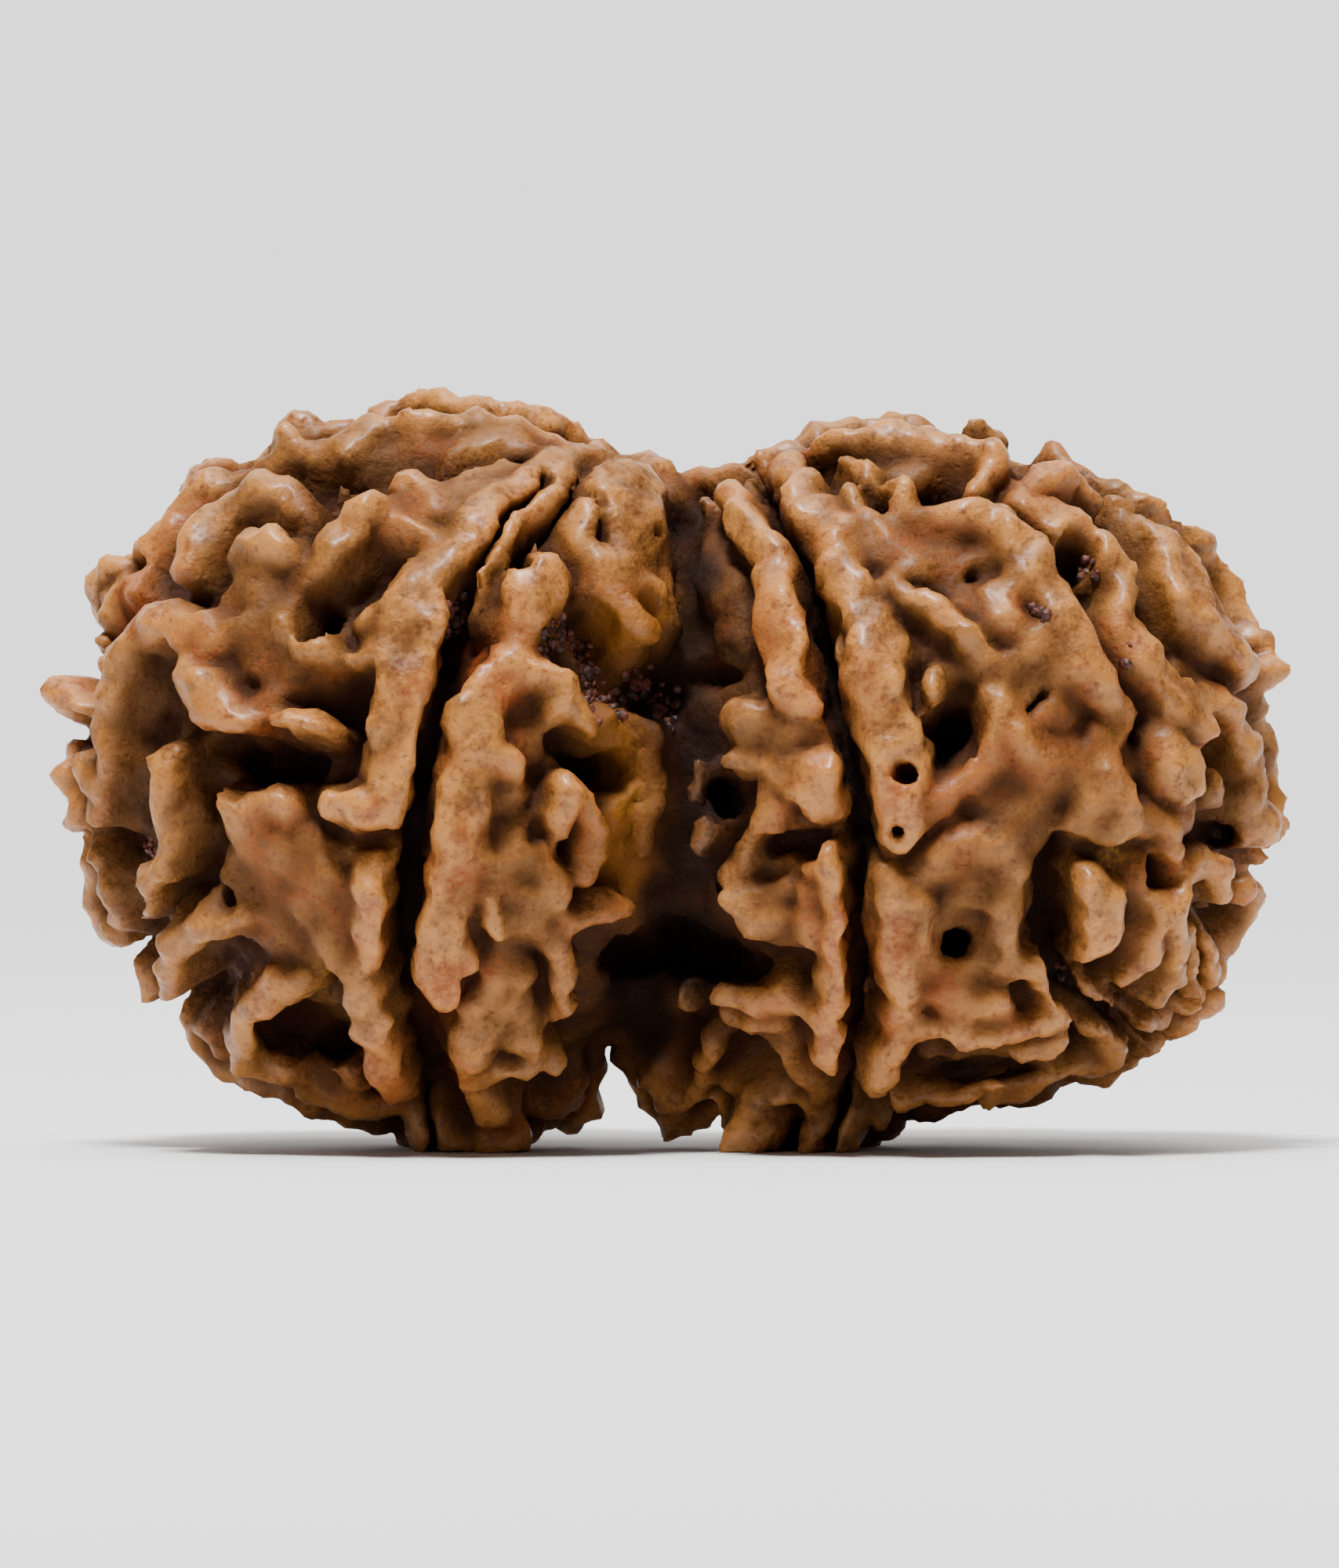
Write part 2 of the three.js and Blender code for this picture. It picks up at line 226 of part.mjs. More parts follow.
const RIGHT_RIDGES = [
  // left lip of the right bead's front cleft
  [[1.5, 19.2, 0.52, 1.7], [1.8, 18.5, 0.47, 1.6], [2.3, 17.8, 0.6, 1.5], [2.75, 17.1, 0.6, 1.4],
   [3.1, 16.5, 0.7, 1.4], [3.05, 15.8, 1.1, 1.5], [3.25, 15.0, 1.15, 1.55],
   [3.5, 14.2, 1.15, 1.6], [3.7, 13.6, 1.05, 1.6]],
  [[2.35, 16.6, 0.24, 1.2], [2.5, 16.1, 0.26, 1.1]],
  [[2.6, 15.6, 0.4, 1.2], [3.0, 14.8, 0.42, 1.3]],
  [[3.3, 16.9, 0.24, 1.1], [3.7, 16.9, 0.22, 1.1]],
  [[1.6, 12.9, 0.6, 1.3], [2.4, 12.5, 0.9, 1.15], [3.3, 12.4, 0.8, 1.0], [4.2, 12.3, 0.6, 0.9]],
  [[1.7, 11.6, 0.3, 1.3], [2.6, 11.5, 0.36, 1.3], [3.4, 11.1, 0.7, 1.4], [4.0, 10.9, 1.0, 1.55],
   [4.1, 10.5, 0.9, 1.5]],
  [[2.9, 11.0, 0.6, 1.15], [2.6, 10.2, 0.55, 1.1], [2.3, 9.5, 0.5, 1.1], [2.0, 8.9, 0.45, 1.0],
   [1.6, 8.3, 0.4, 0.9]],
  [[0.9, 9.8, 0.33, 1.2], [0.5, 9.2, 0.33, 1.4]],
  [[0.9, 11.4, 0.3, 1.1], [0.7, 10.6, 0.25, 1.1]],
  // hooked lip below
  [[3.8, 8.55, 0.34, 1.35], [4.3, 8.6, 0.43, 1.6], [4.7, 8.15, 0.49, 1.65],
   [4.75, 7.4, 0.52, 1.65], [4.65, 6.6, 0.55, 1.65], [4.6, 5.8, 0.49, 1.6], [4.5, 5.0, 0.49, 1.6],
   [4.45, 4.2, 0.59, 1.7], [4.4, 3.4, 0.59, 1.7], [4.3, 2.8, 0.47, 1.65]],
  [[4.0, 7.7, 0.5, 1.2], [3.9, 7.0, 0.5, 1.25], [3.95, 6.4, 0.36, 1.2]],
  [[0.6, 7.3, 0.36, 1.9], [1.3, 7.3, 0.5, 1.6], [2.1, 7.1, 0.75, 1.3], [2.9, 7.0, 0.6, 1.2]],
  [[1.5, 8.3, 0.4, 1.1], [2.2, 7.6, 0.5, 1.1], [3.3, 7.9, 0.3, 1.0]],
  [[1.4, 4.8, 0.36, 1.3], [2.2, 4.6, 0.6, 1.3], [3.1, 4.6, 0.55, 1.3], [4.0, 4.4, 0.5, 1.4]],
  [[1.4, 4.2, 0.3, 1.2], [2.3, 4.0, 0.36, 1.2], [3.1, 4.0, 0.3, 1.2]],
  [[1.1, 2.35, 0.18, 1.4], [1.7, 2.25, 0.2, 1.4], [2.5, 2.1, 0.2, 1.4], [3.2, 1.9, 0.2, 1.45],
   [3.9, 1.5, 0.2, 1.5], [4.45, 1.2, 0.2, 1.5]],
  [[3.2, 3.3, 0.36, 1.0], [3.7, 2.5, 0.42, 1.1], [4.2, 1.8, 0.4, 1.3]],
  [[-0.85, 2.25, 0.18, 1.3], [-0.3, 1.85, 0.2, 1.4], [0.3, 1.5, 0.2, 1.5],
   [0.75, 1.85, 0.18, 1.45], [0.95, 2.5, 0.18, 1.4], [0.95, 3.2, 0.2, 1.3]],
  [[-0.6, 2.9, 0.42, 1.0], [0.2, 2.5, 0.5, 1.0], [0.4, 3.4, 0.42, 0.9]],
  [[0.0, 4.9, 0.24, 1.3], [0.4, 4.4, 0.22, 1.1]],
  // knobs along the lower outline
  [[0.6, 1.0, 0.5, 1.6]], [[1.4, 1.1, 0.32, 1.5]], [[2.3, 1.0, 0.34, 1.5]], [[3.2, 1.0, 0.32, 1.5]],
  [[4.25, 0.75, 0.36, 1.6]], [[5.1, 1.05, 0.32, 1.3]], [[5.9, 1.1, 0.32, 1.3]],
  [[6.5, 1.9, 0.36, 1.2], [7.2, 1.8, 0.36, 1.2]],
  // right lip of the front cleft
  [[3.1, 20.0, 0.55, 1.5], [3.5, 19.3, 0.59, 1.5], [3.9, 18.6, 0.65, 1.45],
   [4.3, 17.9, 0.65, 1.4], [4.65, 17.2, 0.65, 1.45], [5.1, 16.4, 0.75, 1.5],
   [5.45, 15.6, 0.9, 1.55], [5.65, 14.8, 0.95, 1.6], [5.75, 14.0, 0.95, 1.6],
   [5.8, 13.2, 0.9, 1.6], [6.05, 12.4, 0.95, 1.6], [6.2, 11.6, 0.9, 1.6], [6.35, 10.8, 0.8, 1.6],
   [6.4, 10.0, 0.75, 1.65], [6.35, 9.4, 0.47, 1.65]],
  [[2.4, 20.0, 0.36, 1.5], [3.2, 20.3, 0.4, 1.4], [4.0, 20.4, 0.4, 1.3]],
  [[4.2, 18.9, 0.3, 1.4], [4.8, 18.35, 0.3, 1.4], [5.2, 17.8, 0.26, 1.2]],
  [[5.1, 19.0, 0.2, 1.2], [5.5, 18.4, 0.2, 1.2], [5.8, 17.9, 0.22, 1.2]],
  [[4.9, 19.8, 0.3, 1.2], [5.4, 19.7, 0.36, 1.3], [5.6, 19.2, 0.3, 1.1]],
  [[6.3, 19.3, 0.42, 1.5], [6.6, 19.1, 0.42, 1.55], [6.5, 18.6, 0.4, 1.3]],
  [[6.1, 18.3, 0.42, 1.0], [6.6, 17.8, 0.4, 0.9]],
  // top ridge
  [[4.2, 20.55, 0.33, 1.5], [5.2, 20.75, 0.36, 1.6], [6.3, 20.8, 0.4, 1.65],
   [7.3, 20.55, 0.4, 1.6], [8.2, 20.4, 0.42, 1.7], [9.1, 20.3, 0.42, 1.9]],
  [[9.1, 20.2, 0.36, 1.8], [8.9, 19.6, 0.33, 1.4], [8.7, 19.1, 0.33, 1.3]],
  // broad arc that bounds the middle lobe
  [[7.1, 18.3, 0.54, 1.2], [7.8, 18.5, 0.63, 1.4], [8.5, 18.5, 0.65, 1.5],
   [9.2, 18.2, 0.72, 1.55], [9.8, 17.6, 0.78, 1.55], [10.3, 16.9, 0.81, 1.55],
   [10.8, 16.1, 0.78, 1.55], [11.2, 15.4, 0.9, 1.55], [11.5, 14.6, 0.84, 1.5],
   [11.9, 13.9, 0.78, 1.45], [12.4, 13.4, 0.54, 1.4]],
  [[10.2, 14.8, 0.78, 1.35], [10.9, 14.2, 0.78, 1.35]],
  [[9.4, 15.6, 0.63, 1.4], [9.3, 16.2, 0.54, 1.4], [9.9, 16.6, 0.54, 1.45]],
  [[6.3, 16.4, 0.3, 1.1], [6.9, 16.05, 0.28, 1.4], [7.6, 15.55, 0.3, 1.4], [8.3, 15.0, 0.34, 1.4],
   [8.9, 14.4, 0.4, 1.3], [9.4, 14.3, 0.5, 1.3]],
  [[8.2, 15.8, 0.36, 0.9], [8.9, 15.3, 0.5, 1.1]],
  [[5.9, 16.5, 0.36, 1.2], [6.6, 16.9, 0.26, 0.9], [7.2, 16.7, 0.36, 0.9]],
  [[7.45, 13.9, 0.3, 1.2], [7.35, 13.5, 0.32, 1.2], [7.2, 13.1, 0.26, 1.0]],
  [[9.2, 14.0, 0.5, 1.2], [9.2, 13.2, 0.5, 1.15], [8.95, 12.4, 0.45, 1.15],
   [8.8, 11.6, 0.45, 1.1], [8.3, 11.0, 0.42, 1.1], [7.6, 10.5, 0.42, 1.1], [7.1, 10.0, 0.36, 1.1]],
  [[9.3, 13.2, 0.49, 1.2], [9.6, 12.5, 0.54, 1.2], [9.9, 11.9, 0.54, 1.2], [10.3, 11.2, 0.49, 1.0]],
  [[6.9, 11.8, 0.12, 1.3], [7.15, 11.8, 0.11, 1.4]],
  [[12.7, 12.9, 0.49, 1.1], [12.3, 12.3, 0.63, 1.1], [12.2, 11.5, 0.63, 1.2],
   [12.5, 10.8, 0.72, 1.3], [12.8, 10.2, 0.65, 1.35]],
  [[11.5, 11.6, 0.65, 0.9], [11.7, 10.9, 0.78, 1.1], [11.7, 10.2, 0.65, 1.2],
   [12.4, 10.0, 0.6, 1.3]],
  // lobes of the right outline
  [[13.5, 18.0, 0.8, 1.4], [14.0, 17.3, 1.2, 1.5], [14.5, 16.6, 1.5, 1.6], [15.0, 15.9, 1.5, 1.6],
   [15.4, 15.3, 1.25, 1.6], [15.9, 14.8, 0.95, 1.7], [16.4, 14.4, 0.75, 1.85]],
  [[9.9, 19.3, 0.54, 1.4], [10.6, 19.5, 0.54, 1.5], [11.1, 19.75, 0.49, 1.8]],
  [[11.4, 19.4, 0.54, 1.3], [12.2, 19.0, 0.54, 1.3], [12.9, 18.6, 0.49, 1.2]],
  [[9.9, 18.85, 0.45, 1.3], [10.6, 18.6, 0.65, 1.45], [11.3, 18.2, 0.85, 1.5],
   [12.0, 17.7, 0.85, 1.5]],
  [[12.3, 17.35, 0.31, 1.3], [12.9, 16.95, 0.31, 1.4]],
  [[12.65, 16.5, 0.5, 1.3], [12.7, 15.8, 0.55, 1.35], [12.9, 15.1, 0.6, 1.35],
   [13.3, 14.5, 0.75, 1.4], [13.8, 14.0, 0.85, 1.4], [14.4, 13.4, 0.9, 1.4]],
  [[14.2, 13.0, 0.85, 1.35], [15.1, 12.8, 1.0, 1.4], [15.9, 12.5, 0.95, 1.45],
   [16.3, 12.0, 0.8, 1.4], [16.5, 11.2, 0.65, 1.3], [16.6, 10.4, 0.6, 1.4], [17.0, 9.6, 0.5, 1.7],
   [17.15, 9.25, 0.5, 1.8]],
  [[15.3, 12.0, 0.78, 1.1], [15.6, 11.2, 0.78, 1.1], [15.4, 10.6, 0.63, 1.1]],
  [[14.0, 12.0, 0.6, 1.3], [14.35, 11.5, 0.85, 1.6], [14.6, 11.0, 0.85, 1.65]],
  [[13.4, 9.7, 0.63, 1.1], [14.1, 9.6, 0.6, 1.2], [14.6, 10.0, 0.54, 1.1]],
  [[14.3, 9.0, 0.37, 1.3], [13.9, 8.4, 0.34, 1.35], [13.65, 7.7, 0.31, 1.4],
   [13.65, 7.0, 0.31, 1.4], [13.5, 6.3, 0.34, 1.45], [13.3, 5.7, 0.37, 1.4],
   [12.7, 5.15, 0.31, 1.2]],
  [[15.0, 8.7, 0.37, 1.3], [14.5, 8.2, 0.31, 1.45], [14.2, 7.6, 0.31, 1.5],
   [14.2, 6.8, 0.31, 1.5], [14.25, 6.0, 0.31, 1.5], [14.2, 5.1, 0.37, 1.45],
   [13.6, 4.75, 0.31, 1.2]],
  [[14.9, 8.6, 0.4, 1.4], [15.5, 8.3, 0.45, 1.5], [15.7, 7.7, 0.51, 1.5]],
  [[15.9, 7.5, 0.54, 1.2], [16.4, 7.6, 0.49, 1.7]],
  [[14.8, 6.6, 0.54, 1.3], [15.1, 5.9, 0.63, 1.4], [15.2, 5.2, 0.59, 1.5], [14.9, 4.6, 0.6, 1.5]],
  [[11.4, 7.9, 0.8, 1.35], [11.9, 7.3, 1.2, 1.6], [11.8, 6.8, 1.2, 1.65], [11.7, 6.4, 0.9, 1.6]],
  [[11.2, 8.3, 0.4, 1.3], [11.9, 8.05, 0.34, 1.5], [12.5, 7.7, 0.31, 1.6]],
  [[11.1, 9.6, 0.45, 1.1], [12.1, 9.6, 0.43, 1.2], [13.0, 9.8, 0.45, 1.25]],
  [[11.4, 5.2, 0.45, 1.1], [11.7, 4.6, 0.54, 1.1], [12.1, 4.0, 0.63, 1.15],
   [12.5, 3.4, 0.59, 1.2], [12.3, 2.9, 0.54, 1.2]],
  [[12.8, 3.6, 0.63, 1.2], [13.4, 3.7, 0.63, 1.2], [13.9, 3.9, 0.49, 1.2]],
  [[11.2, 2.7, 0.54, 1.2], [12.0, 2.75, 0.45, 1.2]],
  // lower lip of the front cleft and the lower plateau
  [[6.1, 8.3, 0.55, 1.3], [6.3, 7.5, 0.59, 1.5], [6.25, 6.7, 0.59, 1.55], [6.25, 5.9, 0.59, 1.6],
   [6.4, 5.1, 0.55, 1.6], [6.45, 4.3, 0.47, 1.55], [6.35, 3.6, 0.42, 1.5], [6.1, 3.0, 0.43, 1.5],
   [5.85, 2.4, 0.55, 1.55], [5.75, 2.0, 0.47, 1.5]],
  [[6.9, 8.2, 0.6, 1.15], [7.7, 8.7, 0.7, 1.2], [8.6, 9.0, 0.65, 1.2], [9.4, 9.0, 0.6, 1.15],
   [9.6, 8.2, 0.6, 1.15], [9.4, 7.4, 0.6, 1.15], [9.4, 6.6, 0.6, 1.15], [9.2, 5.8, 0.6, 1.2]],
  [[7.0, 7.6, 0.36, 1.4], [6.9, 6.4, 0.3, 1.4], [7.1, 5.6, 0.36, 1.4]],
  [[7.4, 4.9, 0.6, 1.4], [8.2, 4.6, 0.7, 1.4], [8.9, 4.7, 0.6, 1.35], [9.5, 4.3, 0.42, 1.3]],
  [[6.9, 3.85, 0.34, 1.5], [7.9, 3.9, 0.37, 1.5], [8.9, 3.75, 0.37, 1.45], [9.8, 3.8, 0.37, 1.45],
   [10.6, 4.1, 0.37, 1.5], [11.2, 4.2, 0.31, 1.5]],
  [[9.8, 5.6, 0.54, 1.2], [10.4, 5.5, 0.4, 1.35], [10.9, 5.0, 0.4, 1.5], [11.2, 4.5, 0.37, 1.5]],
  [[7.6, 1.8, 0.31, 1.3], [8.5, 2.0, 0.31, 1.35], [9.2, 2.4, 0.31, 1.4], [9.9, 2.95, 0.31, 1.4],
   [10.6, 3.3, 0.31, 1.4], [11.1, 3.7, 0.31, 1.4]],
  [[9.4, 2.1, 0.49, 1.2], [10.2, 2.15, 0.54, 1.2], [10.9, 2.6, 0.49, 1.2]],
  [[7.3, 3.0, 0.2, 0.9], [8.0, 2.7, 0.2, 0.9], [8.8, 2.9, 0.2, 0.9]],
  [[9.05, 1.75, 0.24, 1.4]],
  [[0.7, 18.9, 0.42, 1.6], [0.2, 18.6, 0.3, 1.6]],
];

const RIGHT_WEBS = [
  [[1.2, 17.6, 0.7, 0.6], [1.4, 16.4, 0.7, 0.5], [1.7, 15.2, 0.7, 0.4]],
  [[2.3, 19.3, 0.5, 0.8], [2.9, 18.2, 0.5, 0.8], [3.5, 17.3, 0.5, 0.9]],
  [[5.2, 19.4, 0.9, 0.8], [6.4, 19.6, 0.9, 0.8], [7.6, 19.7, 0.8, 0.7]],
  [[5.0, 18.4, 0.7, 0.8], [5.8, 17.4, 0.8, 0.8], [6.4, 16.9, 0.7, 0.8]],
  [[7.0, 17.5, 0.9, 0.8], [8.3, 17.5, 1.0, 0.8], [9.5, 17.0, 0.8, 1.0]],
  [[7.7, 16.5, 0.7, 0.7], [8.9, 15.7, 0.9, 0.9], [10.0, 15.0, 0.9, 1.1]],
  [[6.8, 15.4, 0.7, 0.9], [7.2, 14.6, 0.8, 0.7], [7.9, 14.0, 0.7, 0.6]],
  [[8.9, 14.0, 0.8, 0.8], [9.9, 13.4, 0.9, 1.0], [11.0, 12.9, 0.9, 1.0]],
  [[9.3, 12.1, 0.9, 0.8], [10.3, 11.3, 1.0, 0.8], [11.4, 10.5, 0.9, 0.9]],
  [[8.6, 10.8, 0.8, 0.7], [9.7, 9.9, 0.9, 0.7], [10.2, 9.4, 0.6, 0.7]],
  [[6.9, 8.9, 0.7, 0.7], [7.8, 9.1, 0.9, 0.7], [8.8, 8.6, 0.9, 0.8]],
  [[7.3, 8.0, 0.8, 0.9], [8.6, 7.8, 0.9, 0.8], [9.1, 6.9, 0.8, 0.8], [8.9, 5.7, 0.8, 0.9]],
  [[7.2, 6.8, 0.6, 1.0], [7.3, 5.5, 0.8, 1.0], [8.3, 5.2, 0.8, 1.0]],
  [[12.6, 11.3, 0.8, 0.8], [12.4, 10.3, 0.8, 0.9]],
  [[14.2, 13.8, 0.8, 0.7], [15.3, 12.9, 0.9, 0.9], [15.6, 11.6, 0.9, 0.8]],
  [[12.2, 8.8, 0.7, 0.6], [13.1, 8.2, 0.7, 0.8], [13.2, 6.8, 0.6, 0.8]],
  [[2.4, 12.2, 0.9, 0.6], [3.6, 11.9, 0.9, 0.6]],
  [[3.4, 10.3, 0.7, 0.5], [3.4, 8.9, 0.8, 0.4], [3.0, 7.8, 0.9, 0.6]],
  [[2.4, 6.9, 0.9, 0.6], [3.6, 6.6, 0.7, 0.9]],
  [[2.0, 4.4, 0.8, 0.8], [3.2, 3.8, 0.8, 0.8]],
];

const RIGHT_PITS = [
  [[2.35, 8.35, 0.22, 0.6], [2.8, 8.0, 0.22, 0.6]],
  [[3.2, 9.35, 0.26, 0.0], [4.4, 9.4, 0.26, 0.1]],
  [[7.8, 19.25, 0.4, 0.9], [8.2, 19.35, 0.33, 0.6]],
  [[8.4, 16.5, 0.14, -0.8]],
  [[6.95, 13.7, 0.12, -0.9], [6.9, 13.0, 0.12, -0.9]],
  [[8.4, 7.2, 0.4, -1.1], [8.7, 6.6, 0.3, -1.1]],
  [[6.1, 17.15, 0.24, 0.3]],
  [[8.1, 13.3, 0.24, -0.6], [8.0, 12.7, 0.24, -0.2]],
  [[7.7, 12.1, 0.36, 1.6], [7.55, 11.75, 0.36, 1.6]],
  [[10.25, 15.75, 0.36, 0.9]],
  [[10.5, 16.4, 0.13, -0.6]],
  [[10.0, 13.0, 0.1, -0.6], [9.8, 12.8, 0.08, -0.6]],
  [[6.45, 11.3, 0.14, -0.7], [6.6, 11.2, 0.1, -0.7]],
  [[6.4, 9.8, 0.1, -0.8]],
  [[13.2, 11.7, 0.42, 1.0], [13.5, 10.9, 0.36, 1.0]],
  [[15.4, 9.3, 0.4, 0.9], [16.1, 9.45, 0.4, 0.9]],
  [[14.9, 7.5, 0.26, 0.4], [14.8, 7.0, 0.2, 0.2]],
  [[4.15, 19.5, 0.1, -0.5], [4.2, 19.25, 0.08, -0.5]],
  [[3.9, 19.95, 0.08, -0.6]],
  [[12.35, 8.75, 0.3, 0.3]],
  [[2.2, 3.35, 0.24, 0.3], [3.0, 3.25, 0.2, 0.2]],
  [[10.5, 4.5, 0.26, 0.3]],
  [[13.7, 4.3, 0.2, 0.3]],
];

const RIGHT_BARS = [];

const RIGHT_CLEFT = [[2.4, 19.4, 0.08, -0.8], [2.8, 18.7, 0.12, -0.5], [3.2, 17.9, 0.14, -0.3],
         [3.7, 17.0, 0.1, -0.5], [4.15, 16.2, 0.14, -0.1], [4.45, 15.2, 0.22, 0.6],
         [4.7, 14.2, 0.26, 0.8], [4.9, 13.1, 0.24, 0.8], [5.05, 12.0, 0.16, 0.2],
         [5.3, 10.9, 0.16, 0.2], [5.4, 9.8, 0.18, 0.3], [5.45, 8.8, 0.18, 0.3],
         [5.5, 7.6, 0.2, 0.5], [5.45, 6.4, 0.2, 0.5], [5.35, 5.2, 0.18, 0.3],
         [5.2, 4.0, 0.14, 0.1], [5.05, 2.8, 0.1, 0.0], [4.95, 1.6, 0.1, -0.1]];

const RIGHT_GROOVES = [
  // edge of the middle lobe and the second cleft beyond it
  [[9.8, 18.55, 0.14, 0.1], [10.7, 17.95, 0.18, 0.3], [11.35, 17.0, 0.22, 0.4],
   [12.0, 16.2, 0.18, 0.3], [12.35, 15.2, 0.16, 0.2], [12.65, 14.2, 0.16, 0.2],
   [13.0, 13.4, 0.14, 0.1]],
  [[12.8, 17.7, 0.2, 0.3], [13.3, 16.8, 0.33, 0.8], [13.7, 15.8, 0.42, 0.9],
   [14.4, 15.0, 0.36, 0.9], [15.2, 14.15, 0.3, 0.8]],
  [[10.4, 9.5, 0.24, 0.2], [10.3, 8.6, 0.32, 0.4], [10.25, 7.6, 0.34, 0.6], [10.5, 6.7, 0.34, 0.6],
   [11.2, 5.8, 0.3, 0.5], [12.0, 5.4, 0.22, 0.4], [12.7, 4.8, 0.18, 0.3]],
];

// the outline seen from the front, as [x, z] along each bead
const LEFT_OUTLINE = [
  [-1.6, 4.3], [-1.9, 3.2], [-2.0, 2.2], [-2.1, 1.3], [-2.7, 0.85], [-3.6, 0.9], [-4.2, 0.4],
  [-4.6, 0.0], [-4.9, 0.35], [-6.0, 0.4], [-6.9, 0.7], [-7.7, 1.1], [-8.3, 0.95], [-9.3, 1.05],
  [-10.1, 1.5], [-10.8, 1.9], [-12.0, 2.25], [-12.6, 2.75], [-13.2, 3.05], [-13.6, 3.8],
  [-14.2, 4.15], [-14.6, 4.8], [-15.1, 5.8], [-15.3, 6.4], [-16.0, 6.55], [-16.4, 7.5],
  [-16.3, 8.1], [-16.9, 9.2], [-16.8, 10.0], [-17.2, 11.1], [-17.0, 11.5], [-16.1, 11.9],
  [-16.1, 12.6], [-17.1, 13.0], [-17.5, 13.4], [-17.1, 14.0], [-16.4, 14.4], [-15.75, 15.0],
  [-16.1, 15.5], [-16.3, 16.3], [-16.0, 17.0], [-15.2, 17.3], [-14.3, 18.2], [-13.6, 18.6],
  [-13.65, 19.5], [-13.1, 19.95], [-12.1, 19.6], [-11.3, 20.1], [-10.75, 21.25], [-10.0, 20.65],
  [-9.2, 20.85], [-8.6, 20.85], [-8.0, 21.35], [-7.0, 21.7], [-6.3, 21.7], [-5.5, 21.5],
  [-4.3, 21.5], [-3.5, 21.2], [-2.6, 20.7], [-2.0, 20.5], [-1.2, 19.8], [-0.5, 19.85],
  [-0.15, 19.5], [0.05, 18.8], [0.4, 18.5],
];
const RIGHT_OUTLINE = [
  [0.0, 18.6], [0.3, 18.9], [0.8, 19.25], [1.5, 19.5], [2.3, 20.0], [3.0, 20.2], [4.0, 20.8],
  [5.0, 21.0], [6.0, 21.2], [6.8, 21.05], [7.6, 20.85], [8.8, 20.85], [9.4, 20.5], [9.5, 19.7],
  [10.1, 19.6], [11.0, 20.2], [11.6, 19.7], [12.5, 19.1], [13.6, 18.85], [14.6, 18.3],
  [15.2, 17.5], [15.9, 16.6], [16.3, 15.6], [17.0, 14.9], [17.25, 14.1], [16.2, 13.5],
  [16.7, 13.1], [16.9, 12.3], [17.0, 11.2], [17.1, 10.4], [17.6, 9.4], [17.3, 8.8], [16.4, 8.7],
  [16.1, 8.2], [16.8, 7.6], [16.4, 6.9], [15.9, 6.3], [15.7, 5.3], [15.4, 4.4], [14.8, 3.95],
  [14.0, 3.4], [13.0, 2.9], [12.3, 2.4], [11.1, 2.3], [10.4, 1.85], [9.2, 1.7], [8.3, 1.5],
  [6.8, 1.35], [6.0, 0.9], [5.2, 0.75], [4.2, 0.4], [3.3, 0.6], [2.4, 0.6], [1.6, 0.8],
  [0.6, 0.3], [-0.1, 0.7], [-0.7, 1.3], [-1.0, 2.2], [-1.4, 3.0], [-1.8, 3.6],
];

const SKIN_BEADS = [
  {
    centre: LEFT_CENTRE,
    inward: 1,
    ridges: LEFT_RIDGES,
    webs: LEFT_WEBS,
    pits: LEFT_PITS,
    bars: LEFT_BARS,
    clefts: [LEFT_CLEFT, ...LEFT_GROOVES],
    outline: LEFT_OUTLINE,
    topPole: [4.6, 1.0, 8.9],
    bottomPole: [0.6, 0.6, -9.0],
    backClefts: [148, 92],
    keels: [[[-6.4, -2.2], [-6.9, 2.3]], [[-4.6, -2.5], [-4.8, 2.6]]],
    seed: 1201,
  },
  {
    centre: RIGHT_CENTRE,
    inward: -1,
    ridges: RIGHT_RIDGES,
    webs: RIGHT_WEBS,
    pits: RIGHT_PITS,
    bars: RIGHT_BARS,
    clefts: [RIGHT_CLEFT, ...RIGHT_GROOVES],
    outline: RIGHT_OUTLINE,
    topPole: [-4.2, 1.0, 9.2],
    bottomPole: [-1.6, 0.6, -9.0],
    backClefts: [84, 30],
    keels: [[[1.9, -2.4], [2.5, 2.4]], [[4.3, -2.6], [5.0, 2.4]]],
    seed: 5077,
  },
];

// the waist that fills the valley between the beads, and the wedge at its upper left
const SWELLINGS = [
  { centre: [0.2, 0.3, 11.2], half: [2.4, 4.9, 7.6] },
  { centre: [-1.4, -1.5, 17.6], half: [1.25, 3.6, 2.2] },
];

// caves that open to the front, in the valley between the beads and low on each bead: centre and half sizes
const HOLLOWS = [
  { centre: [-1.0, -3.2, 6.0], half: [1.0, 2.4, 0.75] },
  { centre: [0.2, -3.5, 6.3], half: [1.2, 2.8, 0.85] },
  { centre: [1.4, -4.0, 6.0], half: [1.0, 2.6, 0.6] },
  { centre: [2.3, -4.8, 5.7], half: [0.8, 1.6, 0.4] },
  { centre: [-0.7, -3.6, 5.0], half: [0.9, 1.7, 0.6] },
  { centre: [0.5, -3.6, 18.2], half: [0.5, 2.6, 0.85] },
  { centre: [-0.4, -5.4, 13.3], half: [1.1, 1.5, 0.8] },
  { centre: [1.1, -5.6, 13.8], half: [1.0, 1.3, 0.45] },
  { centre: [-10.3, -3.9, 4.0], half: [1.3, 1.9, 0.8] },
  { centre: [-9.2, -3.5, 3.6], half: [0.8, 1.9, 0.6] },
  { centre: [-14.2, -2.9, 6.6], half: [0.45, 1.2, 0.35] },
  { centre: [-3.2, -4.3, 2.1], half: [1.1, 1.5, 0.4] },
  { centre: [1.55, -6.4, 10.5], half: [0.5, 2.2, 0.65] },
  { centre: [7.95, -6.6, 6.45], half: [0.45, 1.7, 0.45] },
  { centre: [15.3, -2.8, 9.4], half: [0.6, 1.5, 0.4] },
];

